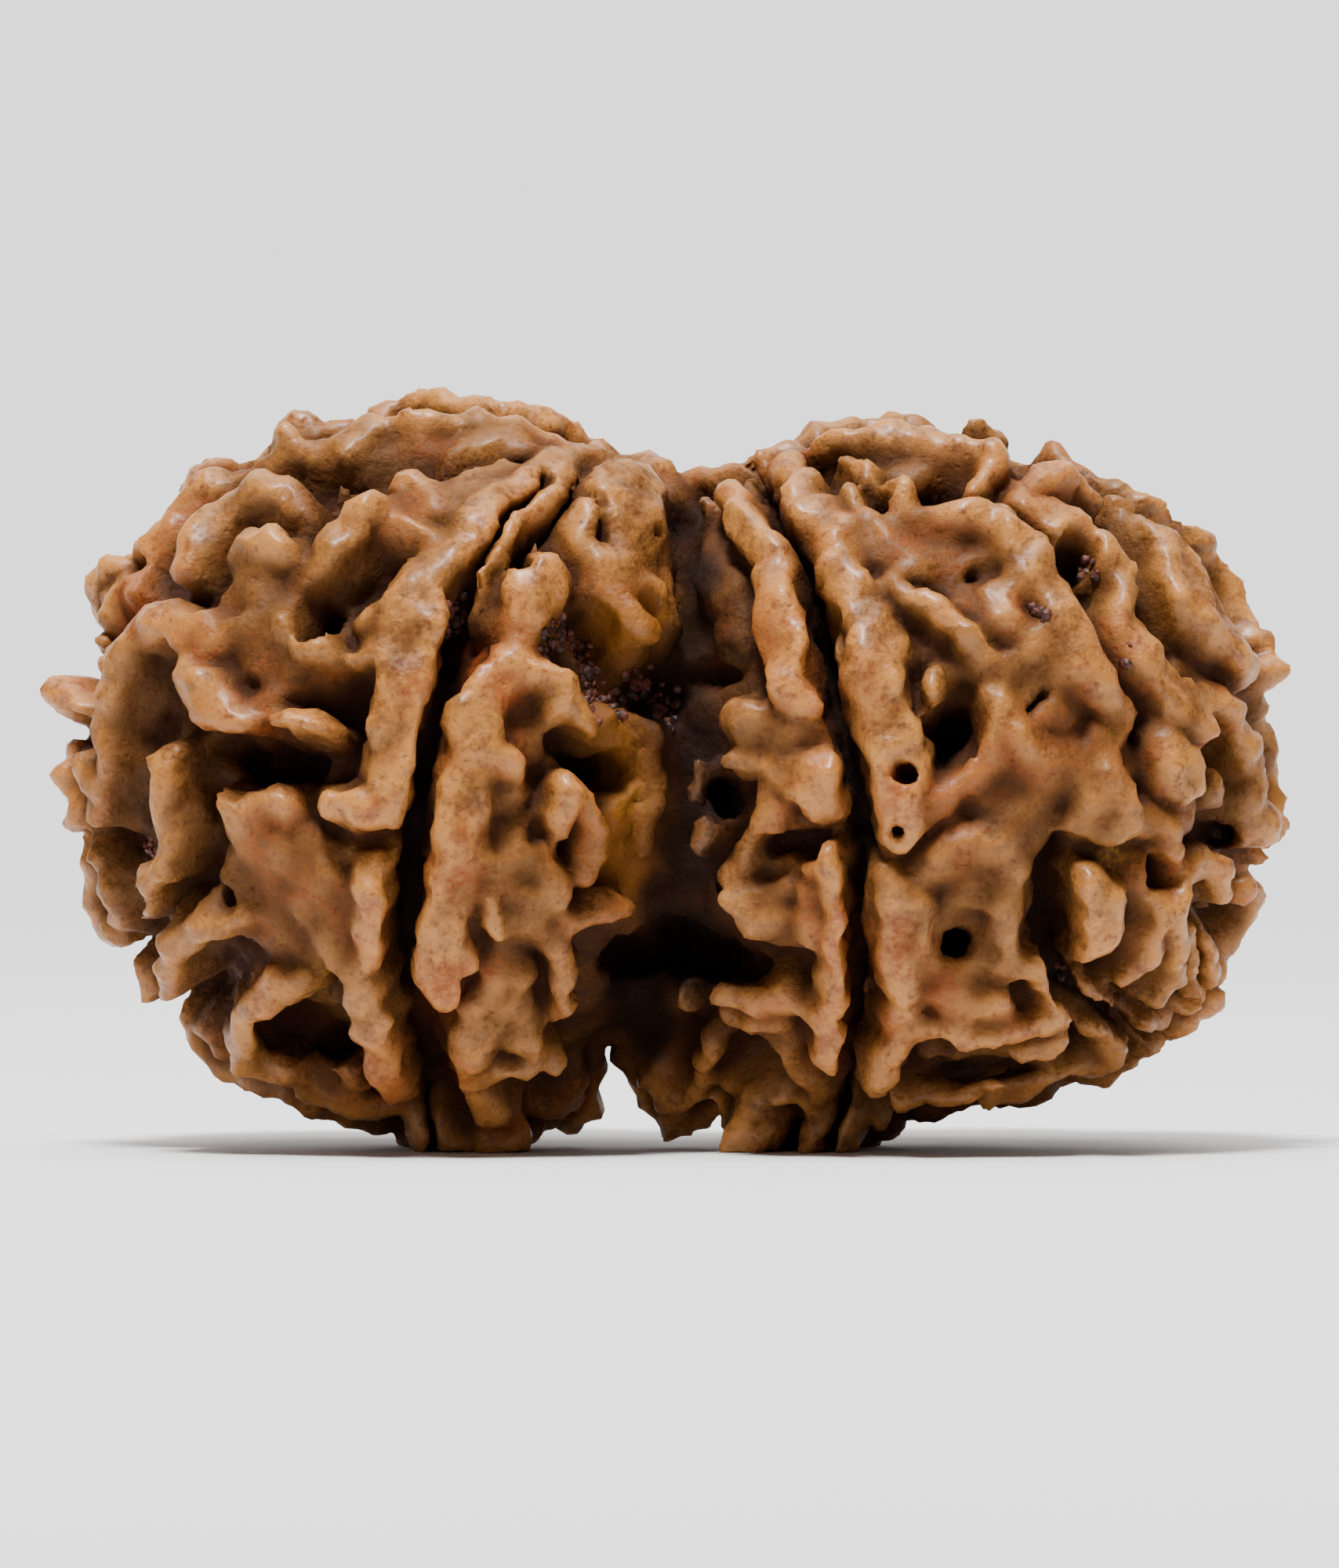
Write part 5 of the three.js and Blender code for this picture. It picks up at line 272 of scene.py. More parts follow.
RIGHT_RIDGES = [
    # left lip of the right bead's front cleft
    [[1.5, 19.2, 0.52, 1.7], [1.8, 18.5, 0.47, 1.6], [2.3, 17.8, 0.6, 1.5], [2.75, 17.1, 0.6, 1.4],
     [3.1, 16.5, 0.7, 1.4], [3.05, 15.8, 1.1, 1.5], [3.25, 15.0, 1.15, 1.55],
     [3.5, 14.2, 1.15, 1.6], [3.7, 13.6, 1.05, 1.6]],
    [[2.35, 16.6, 0.24, 1.2], [2.5, 16.1, 0.26, 1.1]],
    [[2.6, 15.6, 0.4, 1.2], [3.0, 14.8, 0.42, 1.3]],
    [[3.3, 16.9, 0.24, 1.1], [3.7, 16.9, 0.22, 1.1]],
    [[1.6, 12.9, 0.6, 1.3], [2.4, 12.5, 0.9, 1.15], [3.3, 12.4, 0.8, 1.0], [4.2, 12.3, 0.6, 0.9]],
    [[1.7, 11.6, 0.3, 1.3], [2.6, 11.5, 0.36, 1.3], [3.4, 11.1, 0.7, 1.4], [4.0, 10.9, 1.0, 1.55],
     [4.1, 10.5, 0.9, 1.5]],
    [[2.9, 11.0, 0.6, 1.15], [2.6, 10.2, 0.55, 1.1], [2.3, 9.5, 0.5, 1.1], [2.0, 8.9, 0.45, 1.0],
     [1.6, 8.3, 0.4, 0.9]],
    [[0.9, 9.8, 0.33, 1.2], [0.5, 9.2, 0.33, 1.4]],
    [[0.9, 11.4, 0.3, 1.1], [0.7, 10.6, 0.25, 1.1]],
    # hooked lip below
    [[3.8, 8.55, 0.34, 1.35], [4.3, 8.6, 0.43, 1.6], [4.7, 8.15, 0.49, 1.65],
     [4.75, 7.4, 0.52, 1.65], [4.65, 6.6, 0.55, 1.65], [4.6, 5.8, 0.49, 1.6], [4.5, 5.0, 0.49, 1.6],
     [4.45, 4.2, 0.59, 1.7], [4.4, 3.4, 0.59, 1.7], [4.3, 2.8, 0.47, 1.65]],
    [[4.0, 7.7, 0.5, 1.2], [3.9, 7.0, 0.5, 1.25], [3.95, 6.4, 0.36, 1.2]],
    [[0.6, 7.3, 0.36, 1.9], [1.3, 7.3, 0.5, 1.6], [2.1, 7.1, 0.75, 1.3], [2.9, 7.0, 0.6, 1.2]],
    [[1.5, 8.3, 0.4, 1.1], [2.2, 7.6, 0.5, 1.1], [3.3, 7.9, 0.3, 1.0]],
    [[1.4, 4.8, 0.36, 1.3], [2.2, 4.6, 0.6, 1.3], [3.1, 4.6, 0.55, 1.3], [4.0, 4.4, 0.5, 1.4]],
    [[1.4, 4.2, 0.3, 1.2], [2.3, 4.0, 0.36, 1.2], [3.1, 4.0, 0.3, 1.2]],
    [[1.1, 2.35, 0.18, 1.4], [1.7, 2.25, 0.2, 1.4], [2.5, 2.1, 0.2, 1.4], [3.2, 1.9, 0.2, 1.45],
     [3.9, 1.5, 0.2, 1.5], [4.45, 1.2, 0.2, 1.5]],
    [[3.2, 3.3, 0.36, 1.0], [3.7, 2.5, 0.42, 1.1], [4.2, 1.8, 0.4, 1.3]],
    [[-0.85, 2.25, 0.18, 1.3], [-0.3, 1.85, 0.2, 1.4], [0.3, 1.5, 0.2, 1.5],
     [0.75, 1.85, 0.18, 1.45], [0.95, 2.5, 0.18, 1.4], [0.95, 3.2, 0.2, 1.3]],
    [[-0.6, 2.9, 0.42, 1.0], [0.2, 2.5, 0.5, 1.0], [0.4, 3.4, 0.42, 0.9]],
    [[0.0, 4.9, 0.24, 1.3], [0.4, 4.4, 0.22, 1.1]],
    # knobs along the lower outline
    [[0.6, 1.0, 0.5, 1.6]], [[1.4, 1.1, 0.32, 1.5]], [[2.3, 1.0, 0.34, 1.5]], [[3.2, 1.0, 0.32, 1.5]],
    [[4.25, 0.75, 0.36, 1.6]], [[5.1, 1.05, 0.32, 1.3]], [[5.9, 1.1, 0.32, 1.3]],
    [[6.5, 1.9, 0.36, 1.2], [7.2, 1.8, 0.36, 1.2]],
    # right lip of the front cleft
    [[3.1, 20.0, 0.55, 1.5], [3.5, 19.3, 0.59, 1.5], [3.9, 18.6, 0.65, 1.45],
     [4.3, 17.9, 0.65, 1.4], [4.65, 17.2, 0.65, 1.45], [5.1, 16.4, 0.75, 1.5],
     [5.45, 15.6, 0.9, 1.55], [5.65, 14.8, 0.95, 1.6], [5.75, 14.0, 0.95, 1.6],
     [5.8, 13.2, 0.9, 1.6], [6.05, 12.4, 0.95, 1.6], [6.2, 11.6, 0.9, 1.6], [6.35, 10.8, 0.8, 1.6],
     [6.4, 10.0, 0.75, 1.65], [6.35, 9.4, 0.47, 1.65]],
    [[2.4, 20.0, 0.36, 1.5], [3.2, 20.3, 0.4, 1.4], [4.0, 20.4, 0.4, 1.3]],
    [[4.2, 18.9, 0.3, 1.4], [4.8, 18.35, 0.3, 1.4], [5.2, 17.8, 0.26, 1.2]],
    [[5.1, 19.0, 0.2, 1.2], [5.5, 18.4, 0.2, 1.2], [5.8, 17.9, 0.22, 1.2]],
    [[4.9, 19.8, 0.3, 1.2], [5.4, 19.7, 0.36, 1.3], [5.6, 19.2, 0.3, 1.1]],
    [[6.3, 19.3, 0.42, 1.5], [6.6, 19.1, 0.42, 1.55], [6.5, 18.6, 0.4, 1.3]],
    [[6.1, 18.3, 0.42, 1.0], [6.6, 17.8, 0.4, 0.9]],
    # top ridge
    [[4.2, 20.55, 0.33, 1.5], [5.2, 20.75, 0.36, 1.6], [6.3, 20.8, 0.4, 1.65],
     [7.3, 20.55, 0.4, 1.6], [8.2, 20.4, 0.42, 1.7], [9.1, 20.3, 0.42, 1.9]],
    [[9.1, 20.2, 0.36, 1.8], [8.9, 19.6, 0.33, 1.4], [8.7, 19.1, 0.33, 1.3]],
    # broad arc that bounds the middle lobe
    [[7.1, 18.3, 0.54, 1.2], [7.8, 18.5, 0.63, 1.4], [8.5, 18.5, 0.65, 1.5],
     [9.2, 18.2, 0.72, 1.55], [9.8, 17.6, 0.78, 1.55], [10.3, 16.9, 0.81, 1.55],
     [10.8, 16.1, 0.78, 1.55], [11.2, 15.4, 0.9, 1.55], [11.5, 14.6, 0.84, 1.5],
     [11.9, 13.9, 0.78, 1.45], [12.4, 13.4, 0.54, 1.4]],
    [[10.2, 14.8, 0.78, 1.35], [10.9, 14.2, 0.78, 1.35]],
    [[9.4, 15.6, 0.63, 1.4], [9.3, 16.2, 0.54, 1.4], [9.9, 16.6, 0.54, 1.45]],
    [[6.3, 16.4, 0.36, 1.2], [6.9, 16.05, 0.4, 1.5], [7.6, 15.55, 0.42, 1.55], [8.3, 15.0, 0.45, 1.55],
     [8.9, 14.4, 0.4, 1.3], [9.4, 14.3, 0.5, 1.3]],
    [[8.2, 15.8, 0.36, 0.9], [8.9, 15.3, 0.5, 1.1]],
    [[5.9, 16.5, 0.36, 1.2], [6.6, 16.9, 0.26, 0.9], [7.2, 16.7, 0.36, 0.9]],
    [[7.45, 13.9, 0.3, 1.2], [7.35, 13.5, 0.32, 1.2], [7.2, 13.1, 0.26, 1.0]],
    [[9.2, 14.0, 0.5, 1.2], [9.2, 13.2, 0.5, 1.15], [8.95, 12.4, 0.45, 1.15],
     [8.8, 11.6, 0.45, 1.1], [8.3, 11.0, 0.42, 1.1], [7.6, 10.5, 0.42, 1.1], [7.1, 10.0, 0.36, 1.1]],
    [[9.3, 13.2, 0.49, 1.2], [9.6, 12.5, 0.54, 1.2], [9.9, 11.9, 0.54, 1.2], [10.3, 11.2, 0.49, 1.0]],
    [[6.9, 11.8, 0.12, 1.3], [7.15, 11.8, 0.11, 1.4]],
    [[12.7, 12.9, 0.49, 1.1], [12.3, 12.3, 0.63, 1.1], [12.2, 11.5, 0.63, 1.2],
     [12.5, 10.8, 0.72, 1.3], [12.8, 10.2, 0.65, 1.35]],
    [[11.5, 11.6, 0.65, 0.9], [11.7, 10.9, 0.78, 1.1], [11.7, 10.2, 0.65, 1.2],
     [12.4, 10.0, 0.6, 1.3]],
    # lobes of the right outline
    [[13.5, 18.0, 0.8, 1.4], [14.0, 17.3, 1.2, 1.5], [14.5, 16.6, 1.5, 1.6], [15.0, 15.9, 1.5, 1.6],
     [15.4, 15.3, 1.25, 1.6], [15.9, 14.8, 0.95, 1.7], [16.4, 14.4, 0.75, 1.85]],
    [[9.9, 19.3, 0.54, 1.4], [10.6, 19.5, 0.54, 1.5], [11.1, 19.75, 0.49, 1.8]],
    [[11.4, 19.4, 0.54, 1.3], [12.2, 19.0, 0.54, 1.3], [12.9, 18.6, 0.49, 1.2]],
    [[9.9, 18.85, 0.45, 1.3], [10.6, 18.6, 0.65, 1.45], [11.3, 18.2, 0.85, 1.5],
     [12.0, 17.7, 0.85, 1.5]],
    [[12.3, 17.35, 0.31, 1.3], [12.9, 16.95, 0.31, 1.4]],
    [[12.65, 16.5, 0.5, 1.3], [12.7, 15.8, 0.55, 1.35], [12.9, 15.1, 0.6, 1.35],
     [13.3, 14.5, 0.75, 1.4], [13.8, 14.0, 0.85, 1.4], [14.4, 13.4, 0.9, 1.4]],
    [[14.2, 13.0, 0.85, 1.35], [15.1, 12.8, 1.0, 1.4], [15.9, 12.5, 0.95, 1.45],
     [16.3, 12.0, 0.8, 1.4], [16.5, 11.2, 0.65, 1.3], [16.6, 10.4, 0.6, 1.4], [17.0, 9.6, 0.5, 1.7],
     [17.15, 9.25, 0.5, 1.8]],
    [[15.3, 12.0, 0.78, 1.1], [15.6, 11.2, 0.78, 1.1], [15.4, 10.6, 0.63, 1.1]],
    [[14.0, 12.0, 0.6, 1.3], [14.35, 11.5, 0.85, 1.6], [14.6, 11.0, 0.85, 1.65]],
    [[13.4, 9.7, 0.63, 1.1], [14.1, 9.6, 0.6, 1.2], [14.6, 10.0, 0.54, 1.1]],
    [[14.3, 9.0, 0.37, 1.3], [13.9, 8.4, 0.34, 1.35], [13.65, 7.7, 0.31, 1.4],
     [13.65, 7.0, 0.31, 1.4], [13.5, 6.3, 0.34, 1.45], [13.3, 5.7, 0.37, 1.4],
     [12.7, 5.15, 0.31, 1.2]],
    [[15.0, 8.7, 0.37, 1.3], [14.5, 8.2, 0.31, 1.45], [14.2, 7.6, 0.31, 1.5],
     [14.2, 6.8, 0.31, 1.5], [14.25, 6.0, 0.31, 1.5], [14.2, 5.1, 0.37, 1.45],
     [13.6, 4.75, 0.31, 1.2]],
    [[14.9, 8.6, 0.4, 1.4], [15.5, 8.3, 0.45, 1.5], [15.7, 7.7, 0.51, 1.5]],
    [[15.9, 7.5, 0.54, 1.2], [16.4, 7.6, 0.49, 1.7]],
    [[14.8, 6.6, 0.54, 1.3], [15.1, 5.9, 0.63, 1.4], [15.2, 5.2, 0.59, 1.5], [14.9, 4.6, 0.6, 1.5]],
    [[11.7, 7.5, 1.0, 1.5], [11.9, 7.2, 1.2, 1.65], [11.85, 6.8, 1.2, 1.65], [11.8, 6.5, 1.0, 1.6]],
    [[11.2, 8.3, 0.4, 1.3], [11.9, 8.05, 0.34, 1.5], [12.5, 7.7, 0.31, 1.6]],
    [[11.1, 9.6, 0.45, 1.1], [12.1, 9.6, 0.43, 1.2], [13.0, 9.8, 0.45, 1.25]],
    [[11.4, 5.2, 0.45, 1.1], [11.7, 4.6, 0.54, 1.1], [12.1, 4.0, 0.63, 1.15],
     [12.5, 3.4, 0.59, 1.2], [12.3, 2.9, 0.54, 1.2]],
    [[12.8, 3.6, 0.63, 1.2], [13.4, 3.7, 0.63, 1.2], [13.9, 3.9, 0.49, 1.2]],
    [[11.2, 2.7, 0.54, 1.2], [12.0, 2.75, 0.45, 1.2]],
    # lower lip of the front cleft and the lower plateau
    [[6.1, 8.3, 0.55, 1.3], [6.3, 7.5, 0.59, 1.5], [6.25, 6.7, 0.59, 1.55], [6.25, 5.9, 0.59, 1.6],
     [6.4, 5.1, 0.55, 1.6], [6.45, 4.3, 0.47, 1.55], [6.35, 3.6, 0.42, 1.5], [6.1, 3.0, 0.43, 1.5],
     [5.85, 2.4, 0.55, 1.55], [5.75, 2.0, 0.47, 1.5]],
    [[6.9, 8.2, 0.6, 1.15], [7.7, 8.7, 0.7, 1.2], [8.6, 9.0, 0.65, 1.2], [9.4, 9.0, 0.6, 1.15],
     [9.6, 8.2, 0.6, 1.15], [9.4, 7.4, 0.6, 1.15], [9.4, 6.6, 0.6, 1.15], [9.2, 5.8, 0.6, 1.2]],
    [[7.0, 7.6, 0.36, 1.4], [6.9, 6.4, 0.3, 1.4], [7.1, 5.6, 0.36, 1.4]],
    [[7.4, 4.9, 0.6, 1.4], [8.2, 4.6, 0.7, 1.4], [8.9, 4.7, 0.6, 1.35], [9.5, 4.3, 0.42, 1.3]],
    [[6.9, 3.85, 0.34, 1.5], [7.9, 3.9, 0.37, 1.5], [8.9, 3.75, 0.37, 1.45], [9.8, 3.8, 0.37, 1.45],
     [10.6, 4.1, 0.37, 1.5], [11.2, 4.2, 0.31, 1.5]],
    [[9.8, 5.6, 0.54, 1.2], [10.4, 5.5, 0.4, 1.35], [10.9, 5.0, 0.4, 1.5], [11.2, 4.5, 0.37, 1.5]],
    [[7.6, 1.8, 0.31, 1.3], [8.5, 2.0, 0.31, 1.35], [9.2, 2.4, 0.31, 1.4], [9.9, 2.95, 0.31, 1.4],
     [10.6, 3.3, 0.31, 1.4], [11.1, 3.7, 0.31, 1.4]],
    [[9.4, 2.1, 0.49, 1.2], [10.2, 2.15, 0.54, 1.2], [10.9, 2.6, 0.49, 1.2]],
    [[7.3, 3.0, 0.2, 0.9], [8.0, 2.7, 0.2, 0.9], [8.8, 2.9, 0.2, 0.9]],
    [[9.05, 1.75, 0.24, 1.4]],
    [[0.7, 18.9, 0.42, 1.6], [0.2, 18.6, 0.3, 1.6]],
]

RIGHT_WEBS = [
    [[1.2, 17.6, 0.7, 0.6], [1.4, 16.4, 0.7, 0.5], [1.7, 15.2, 0.7, 0.4]],
    [[2.3, 19.3, 0.5, 0.8], [2.9, 18.2, 0.5, 0.8], [3.5, 17.3, 0.5, 0.9]],
    [[5.2, 19.4, 0.9, 0.8], [6.4, 19.6, 0.9, 0.8], [7.6, 19.7, 0.8, 0.7]],
    [[5.0, 18.4, 0.7, 0.8], [5.8, 17.4, 0.8, 0.8], [6.4, 16.9, 0.7, 0.8]],
    [[7.0, 17.5, 0.9, 0.8], [8.3, 17.5, 1.0, 0.8], [9.5, 17.0, 0.8, 1.0]],
    [[7.7, 16.6, 0.7, 0.5], [8.9, 15.8, 0.8, 0.6], [10.0, 15.0, 0.9, 1.1]],
    [[6.8, 15.3, 0.6, 0.6], [7.2, 14.6, 0.7, 0.5], [7.9, 14.0, 0.7, 0.5]],
    [[8.9, 14.0, 0.8, 0.8], [9.9, 13.4, 0.9, 1.0], [11.0, 12.9, 0.9, 1.0]],
    [[9.3, 12.1, 0.9, 0.8], [10.3, 11.3, 1.0, 0.8], [11.4, 10.5, 0.9, 0.9]],
    [[8.6, 10.8, 0.8, 0.7], [9.7, 9.9, 0.9, 0.7], [10.2, 9.4, 0.6, 0.7]],
    [[6.9, 8.9, 0.7, 0.7], [7.8, 9.1, 0.9, 0.7], [8.8, 8.6, 0.9, 0.8]],
    [[7.3, 8.0, 0.8, 0.9], [8.6, 7.8, 0.9, 0.8], [9.1, 6.9, 0.8, 0.8], [8.9, 5.7, 0.8, 0.9]],
    [[7.2, 6.8, 0.6, 1.0], [7.3, 5.5, 0.8, 1.0], [8.3, 5.2, 0.8, 1.0]],
    [[12.6, 11.3, 0.8, 0.8], [12.4, 10.3, 0.8, 0.9]],
    [[14.2, 13.8, 0.8, 0.7], [15.3, 12.9, 0.9, 0.9], [15.6, 11.6, 0.9, 0.8]],
    [[12.2, 8.8, 0.7, 0.6], [13.1, 8.2, 0.7, 0.8], [13.2, 6.8, 0.6, 0.8]],
    [[2.4, 12.2, 0.9, 0.6], [3.6, 11.9, 0.9, 0.6]],
    [[3.4, 10.3, 0.7, 0.5], [3.4, 8.9, 0.8, 0.4], [3.0, 7.8, 0.9, 0.6]],
    [[2.4, 6.9, 0.9, 0.6], [3.6, 6.6, 0.7, 0.9]],
    [[2.0, 4.4, 0.8, 0.8], [3.2, 3.8, 0.8, 0.8]],
]

RIGHT_PITS = [
    [[2.35, 8.35, 0.22, 0.6], [2.8, 8.0, 0.22, 0.6]],
    [[3.2, 9.35, 0.26, 0.0], [4.4, 9.4, 0.26, 0.1]],
    [[7.8, 19.25, 0.4, 0.9], [8.2, 19.35, 0.33, 0.6]],
    [[8.4, 16.5, 0.14, -0.8]],
    [[6.95, 13.7, 0.12, -0.9], [6.9, 13.0, 0.12, -0.9]],
    [[8.4, 7.2, 0.4, -1.1], [8.7, 6.6, 0.3, -1.1]],
    [[6.1, 17.15, 0.24, 0.3]],
    [[8.1, 13.3, 0.24, -0.6], [8.0, 12.7, 0.24, -0.2]],
    [[7.7, 12.1, 0.36, 1.6], [7.55, 11.75, 0.36, 1.6]],
    [[10.25, 15.75, 0.36, 0.9]],
    [[10.5, 16.4, 0.13, -0.6]],
    [[10.0, 13.0, 0.1, -0.6], [9.8, 12.8, 0.08, -0.6]],
    [[6.45, 11.3, 0.14, -0.7], [6.6, 11.2, 0.1, -0.7]],
    [[6.4, 9.8, 0.1, -0.8]],
    [[13.2, 11.7, 0.42, 1.0], [13.5, 10.9, 0.36, 1.0]],
    [[15.4, 9.3, 0.4, 0.9], [16.1, 9.45, 0.4, 0.9]],
    [[14.9, 7.5, 0.26, 0.4], [14.8, 7.0, 0.2, 0.2]],
    [[4.15, 19.5, 0.1, -0.5], [4.2, 19.25, 0.08, -0.5]],
    [[3.9, 19.95, 0.08, -0.6]],
    [[12.35, 8.75, 0.3, 0.3]],
    [[2.2, 3.35, 0.24, 0.3], [3.0, 3.25, 0.2, 0.2]],
    [[10.5, 4.5, 0.26, 0.3]],
    [[13.7, 4.3, 0.2, 0.3]],
]

RIGHT_CLEFT = [[2.4, 19.4, 0.08, -0.8], [2.8, 18.7, 0.12, -0.5], [3.2, 17.9, 0.14, -0.3],
               [3.7, 17.0, 0.1, -0.5], [4.15, 16.2, 0.14, -0.1], [4.45, 15.2, 0.22, 0.6],
               [4.7, 14.2, 0.26, 0.8], [4.9, 13.1, 0.24, 0.8], [5.05, 12.0, 0.16, 0.2],
               [5.3, 10.9, 0.16, 0.2], [5.4, 9.8, 0.18, 0.3], [5.45, 8.8, 0.18, 0.3],
               [5.5, 7.6, 0.2, 0.5], [5.45, 6.4, 0.2, 0.5], [5.35, 5.2, 0.18, 0.3],
               [5.2, 4.0, 0.14, 0.1], [5.05, 2.8, 0.1, 0.0], [4.95, 1.6, 0.1, -0.1]]

RIGHT_GROOVES = [
    # edge of the middle lobe and the second cleft beyond it
    [[9.8, 18.55, 0.14, 0.1], [10.7, 17.95, 0.18, 0.3], [11.35, 17.0, 0.22, 0.4],
     [12.0, 16.2, 0.18, 0.3], [12.35, 15.2, 0.16, 0.2], [12.65, 14.2, 0.16, 0.2],
     [13.0, 13.4, 0.14, 0.1]],
    [[12.8, 17.7, 0.2, 0.3], [13.3, 16.8, 0.33, 0.8], [13.7, 15.8, 0.42, 0.9],
     [14.4, 15.0, 0.36, 0.9], [15.2, 14.15, 0.3, 0.8]],
    [[10.2, 9.4, 0.26, 0.2], [10.0, 8.5, 0.4, 0.4], [9.95, 7.6, 0.44, 0.6], [10.0, 6.6, 0.36, 0.6],
     [10.6, 5.8, 0.28, 0.5], [11.7, 5.2, 0.22, 0.4], [12.6, 4.7, 0.18, 0.3]],
    # between the thin curls below the round knob
    [[14.05, 8.35, 0.1, -0.5], [13.95, 7.6, 0.1, -0.5], [13.92, 6.6, 0.12, -0.4],
     [13.85, 5.7, 0.12, -0.4], [13.2, 5.1, 0.12, -0.4]],
    [[14.65, 7.9, 0.14, -0.4], [14.6, 7.0, 0.14, -0.2], [14.65, 6.2, 0.12, -0.4],
     [14.6, 5.5, 0.12, -0.5]],
]

# %% The outline of each bead, as [x, z]
LEFT_OUTLINE = [
    [-1.6, 4.3], [-1.9, 3.2], [-2.0, 2.2], [-2.1, 1.3], [-2.7, 0.85], [-3.6, 0.9], [-4.2, 0.4],
    [-4.6, 0.0], [-4.9, 0.35], [-6.0, 0.4], [-6.9, 0.7], [-7.7, 1.1], [-8.3, 0.95], [-9.3, 1.05],
    [-10.1, 1.5], [-10.8, 1.9], [-12.0, 2.25], [-12.6, 2.75], [-13.2, 3.05], [-13.6, 3.8],
    [-14.2, 4.15], [-14.6, 4.8], [-15.1, 5.8], [-15.3, 6.4], [-16.0, 6.55], [-16.4, 7.5],
    [-16.3, 8.1], [-16.9, 9.2], [-16.8, 10.0], [-17.2, 11.1], [-17.0, 11.5], [-16.1, 11.9],
    [-16.1, 12.6], [-17.1, 13.0], [-17.5, 13.4], [-17.1, 14.0], [-16.4, 14.4], [-15.75, 15.0],
    [-16.1, 15.5], [-16.3, 16.3], [-16.0, 17.0], [-15.2, 17.3], [-14.3, 18.2], [-13.6, 18.6],
    [-13.65, 19.5], [-13.1, 19.95], [-12.1, 19.6], [-11.3, 20.1], [-10.75, 21.25], [-10.0, 20.65],
    [-9.2, 20.85], [-8.6, 20.85], [-8.0, 21.35], [-7.0, 21.7], [-6.3, 21.7], [-5.5, 21.5],
    [-4.3, 21.5], [-3.5, 21.2], [-2.6, 20.7], [-2.0, 20.5], [-1.2, 19.8], [-0.5, 19.85],
    [-0.15, 19.5], [0.05, 18.8], [0.4, 18.5],
]
RIGHT_OUTLINE = [
    [0.0, 18.6], [0.3, 18.9], [0.8, 19.25], [1.5, 19.5], [2.3, 20.0], [3.0, 20.2], [4.0, 20.8],
    [5.0, 21.0], [6.0, 21.2], [6.8, 21.05], [7.6, 20.85], [8.8, 20.85], [9.4, 20.5], [9.5, 19.7],
    [10.1, 19.6], [11.0, 20.2], [11.6, 19.7], [12.5, 19.1], [13.6, 18.85], [14.6, 18.3],
    [15.2, 17.5], [15.9, 16.6], [16.3, 15.6], [17.0, 14.9], [17.25, 14.1], [16.2, 13.5],
    [16.7, 13.1], [16.9, 12.3], [17.0, 11.2], [17.1, 10.4], [17.6, 9.4], [17.3, 8.8], [16.4, 8.7],
    [16.1, 8.2], [16.8, 7.6], [16.4, 6.9], [15.9, 6.3], [15.7, 5.3], [15.4, 4.4], [14.8, 3.95],
    [14.0, 3.4], [13.0, 2.9], [12.3, 2.4], [11.1, 2.3], [10.4, 1.85], [9.2, 1.7], [8.3, 1.5],
    [6.8, 1.35], [6.0, 0.9], [5.2, 0.75], [4.2, 0.4], [3.3, 0.6], [2.4, 0.6], [1.6, 0.8],
    [0.6, 0.3], [-0.1, 0.7], [-0.7, 1.3], [-1.0, 2.2], [-1.4, 3.0], [-1.8, 3.6],
]

# %% [markdown]
# ## What belongs to each bead
# The poles are where the clefts of a bead meet. The keels are low ridges under the bead, whose ends
# the pair stands on. The hidden back has clefts at the given azimuths, and a seed for its own relief.

# %% The two beads
BEADS = [
    {
        "centre": LEFT_CENTRE,
        "inward": 1,
        "ridges": LEFT_RIDGES,
        "webs": LEFT_WEBS,
        "pits": LEFT_PITS,
        "bars": LEFT_BARS,
        "clefts": [LEFT_CLEFT] + LEFT_GROOVES,
        "outline": LEFT_OUTLINE,
        "top_pole": [4.6, 1.0, 8.9],
        "bottom_pole": [0.6, 0.6, -9.0],
        "back_clefts": [148, 92],
        "keels": [[[-6.4, -2.2], [-6.9, 2.3]], [[-4.6, -2.5], [-4.8, 2.6]]],
        "seed": 1201,
    },
    {
        "centre": RIGHT_CENTRE,
        "inward": -1,
        "ridges": RIGHT_RIDGES,
        "webs": RIGHT_WEBS,
        "pits": RIGHT_PITS,
        "bars": [],
        "clefts": [RIGHT_CLEFT] + RIGHT_GROOVES,
        "outline": RIGHT_OUTLINE,
        "top_pole": [-4.2, 1.0, 9.2],
        "bottom_pole": [-1.6, 0.6, -9.0],
        "back_clefts": [84, 30],
        "keels": [[[1.9, -2.4], [2.5, 2.4]], [[4.3, -2.6], [5.0, 2.4]]],
        "seed": 5077,
    },
]

# the waist that fills the valley between the beads, and the wedge at its upper left
SWELLINGS = [
    ([0.2, 0.3, 11.2], [2.4, 4.9, 7.6]),
    ([-1.4, -1.5, 17.6], [1.25, 3.6, 2.2]),
]

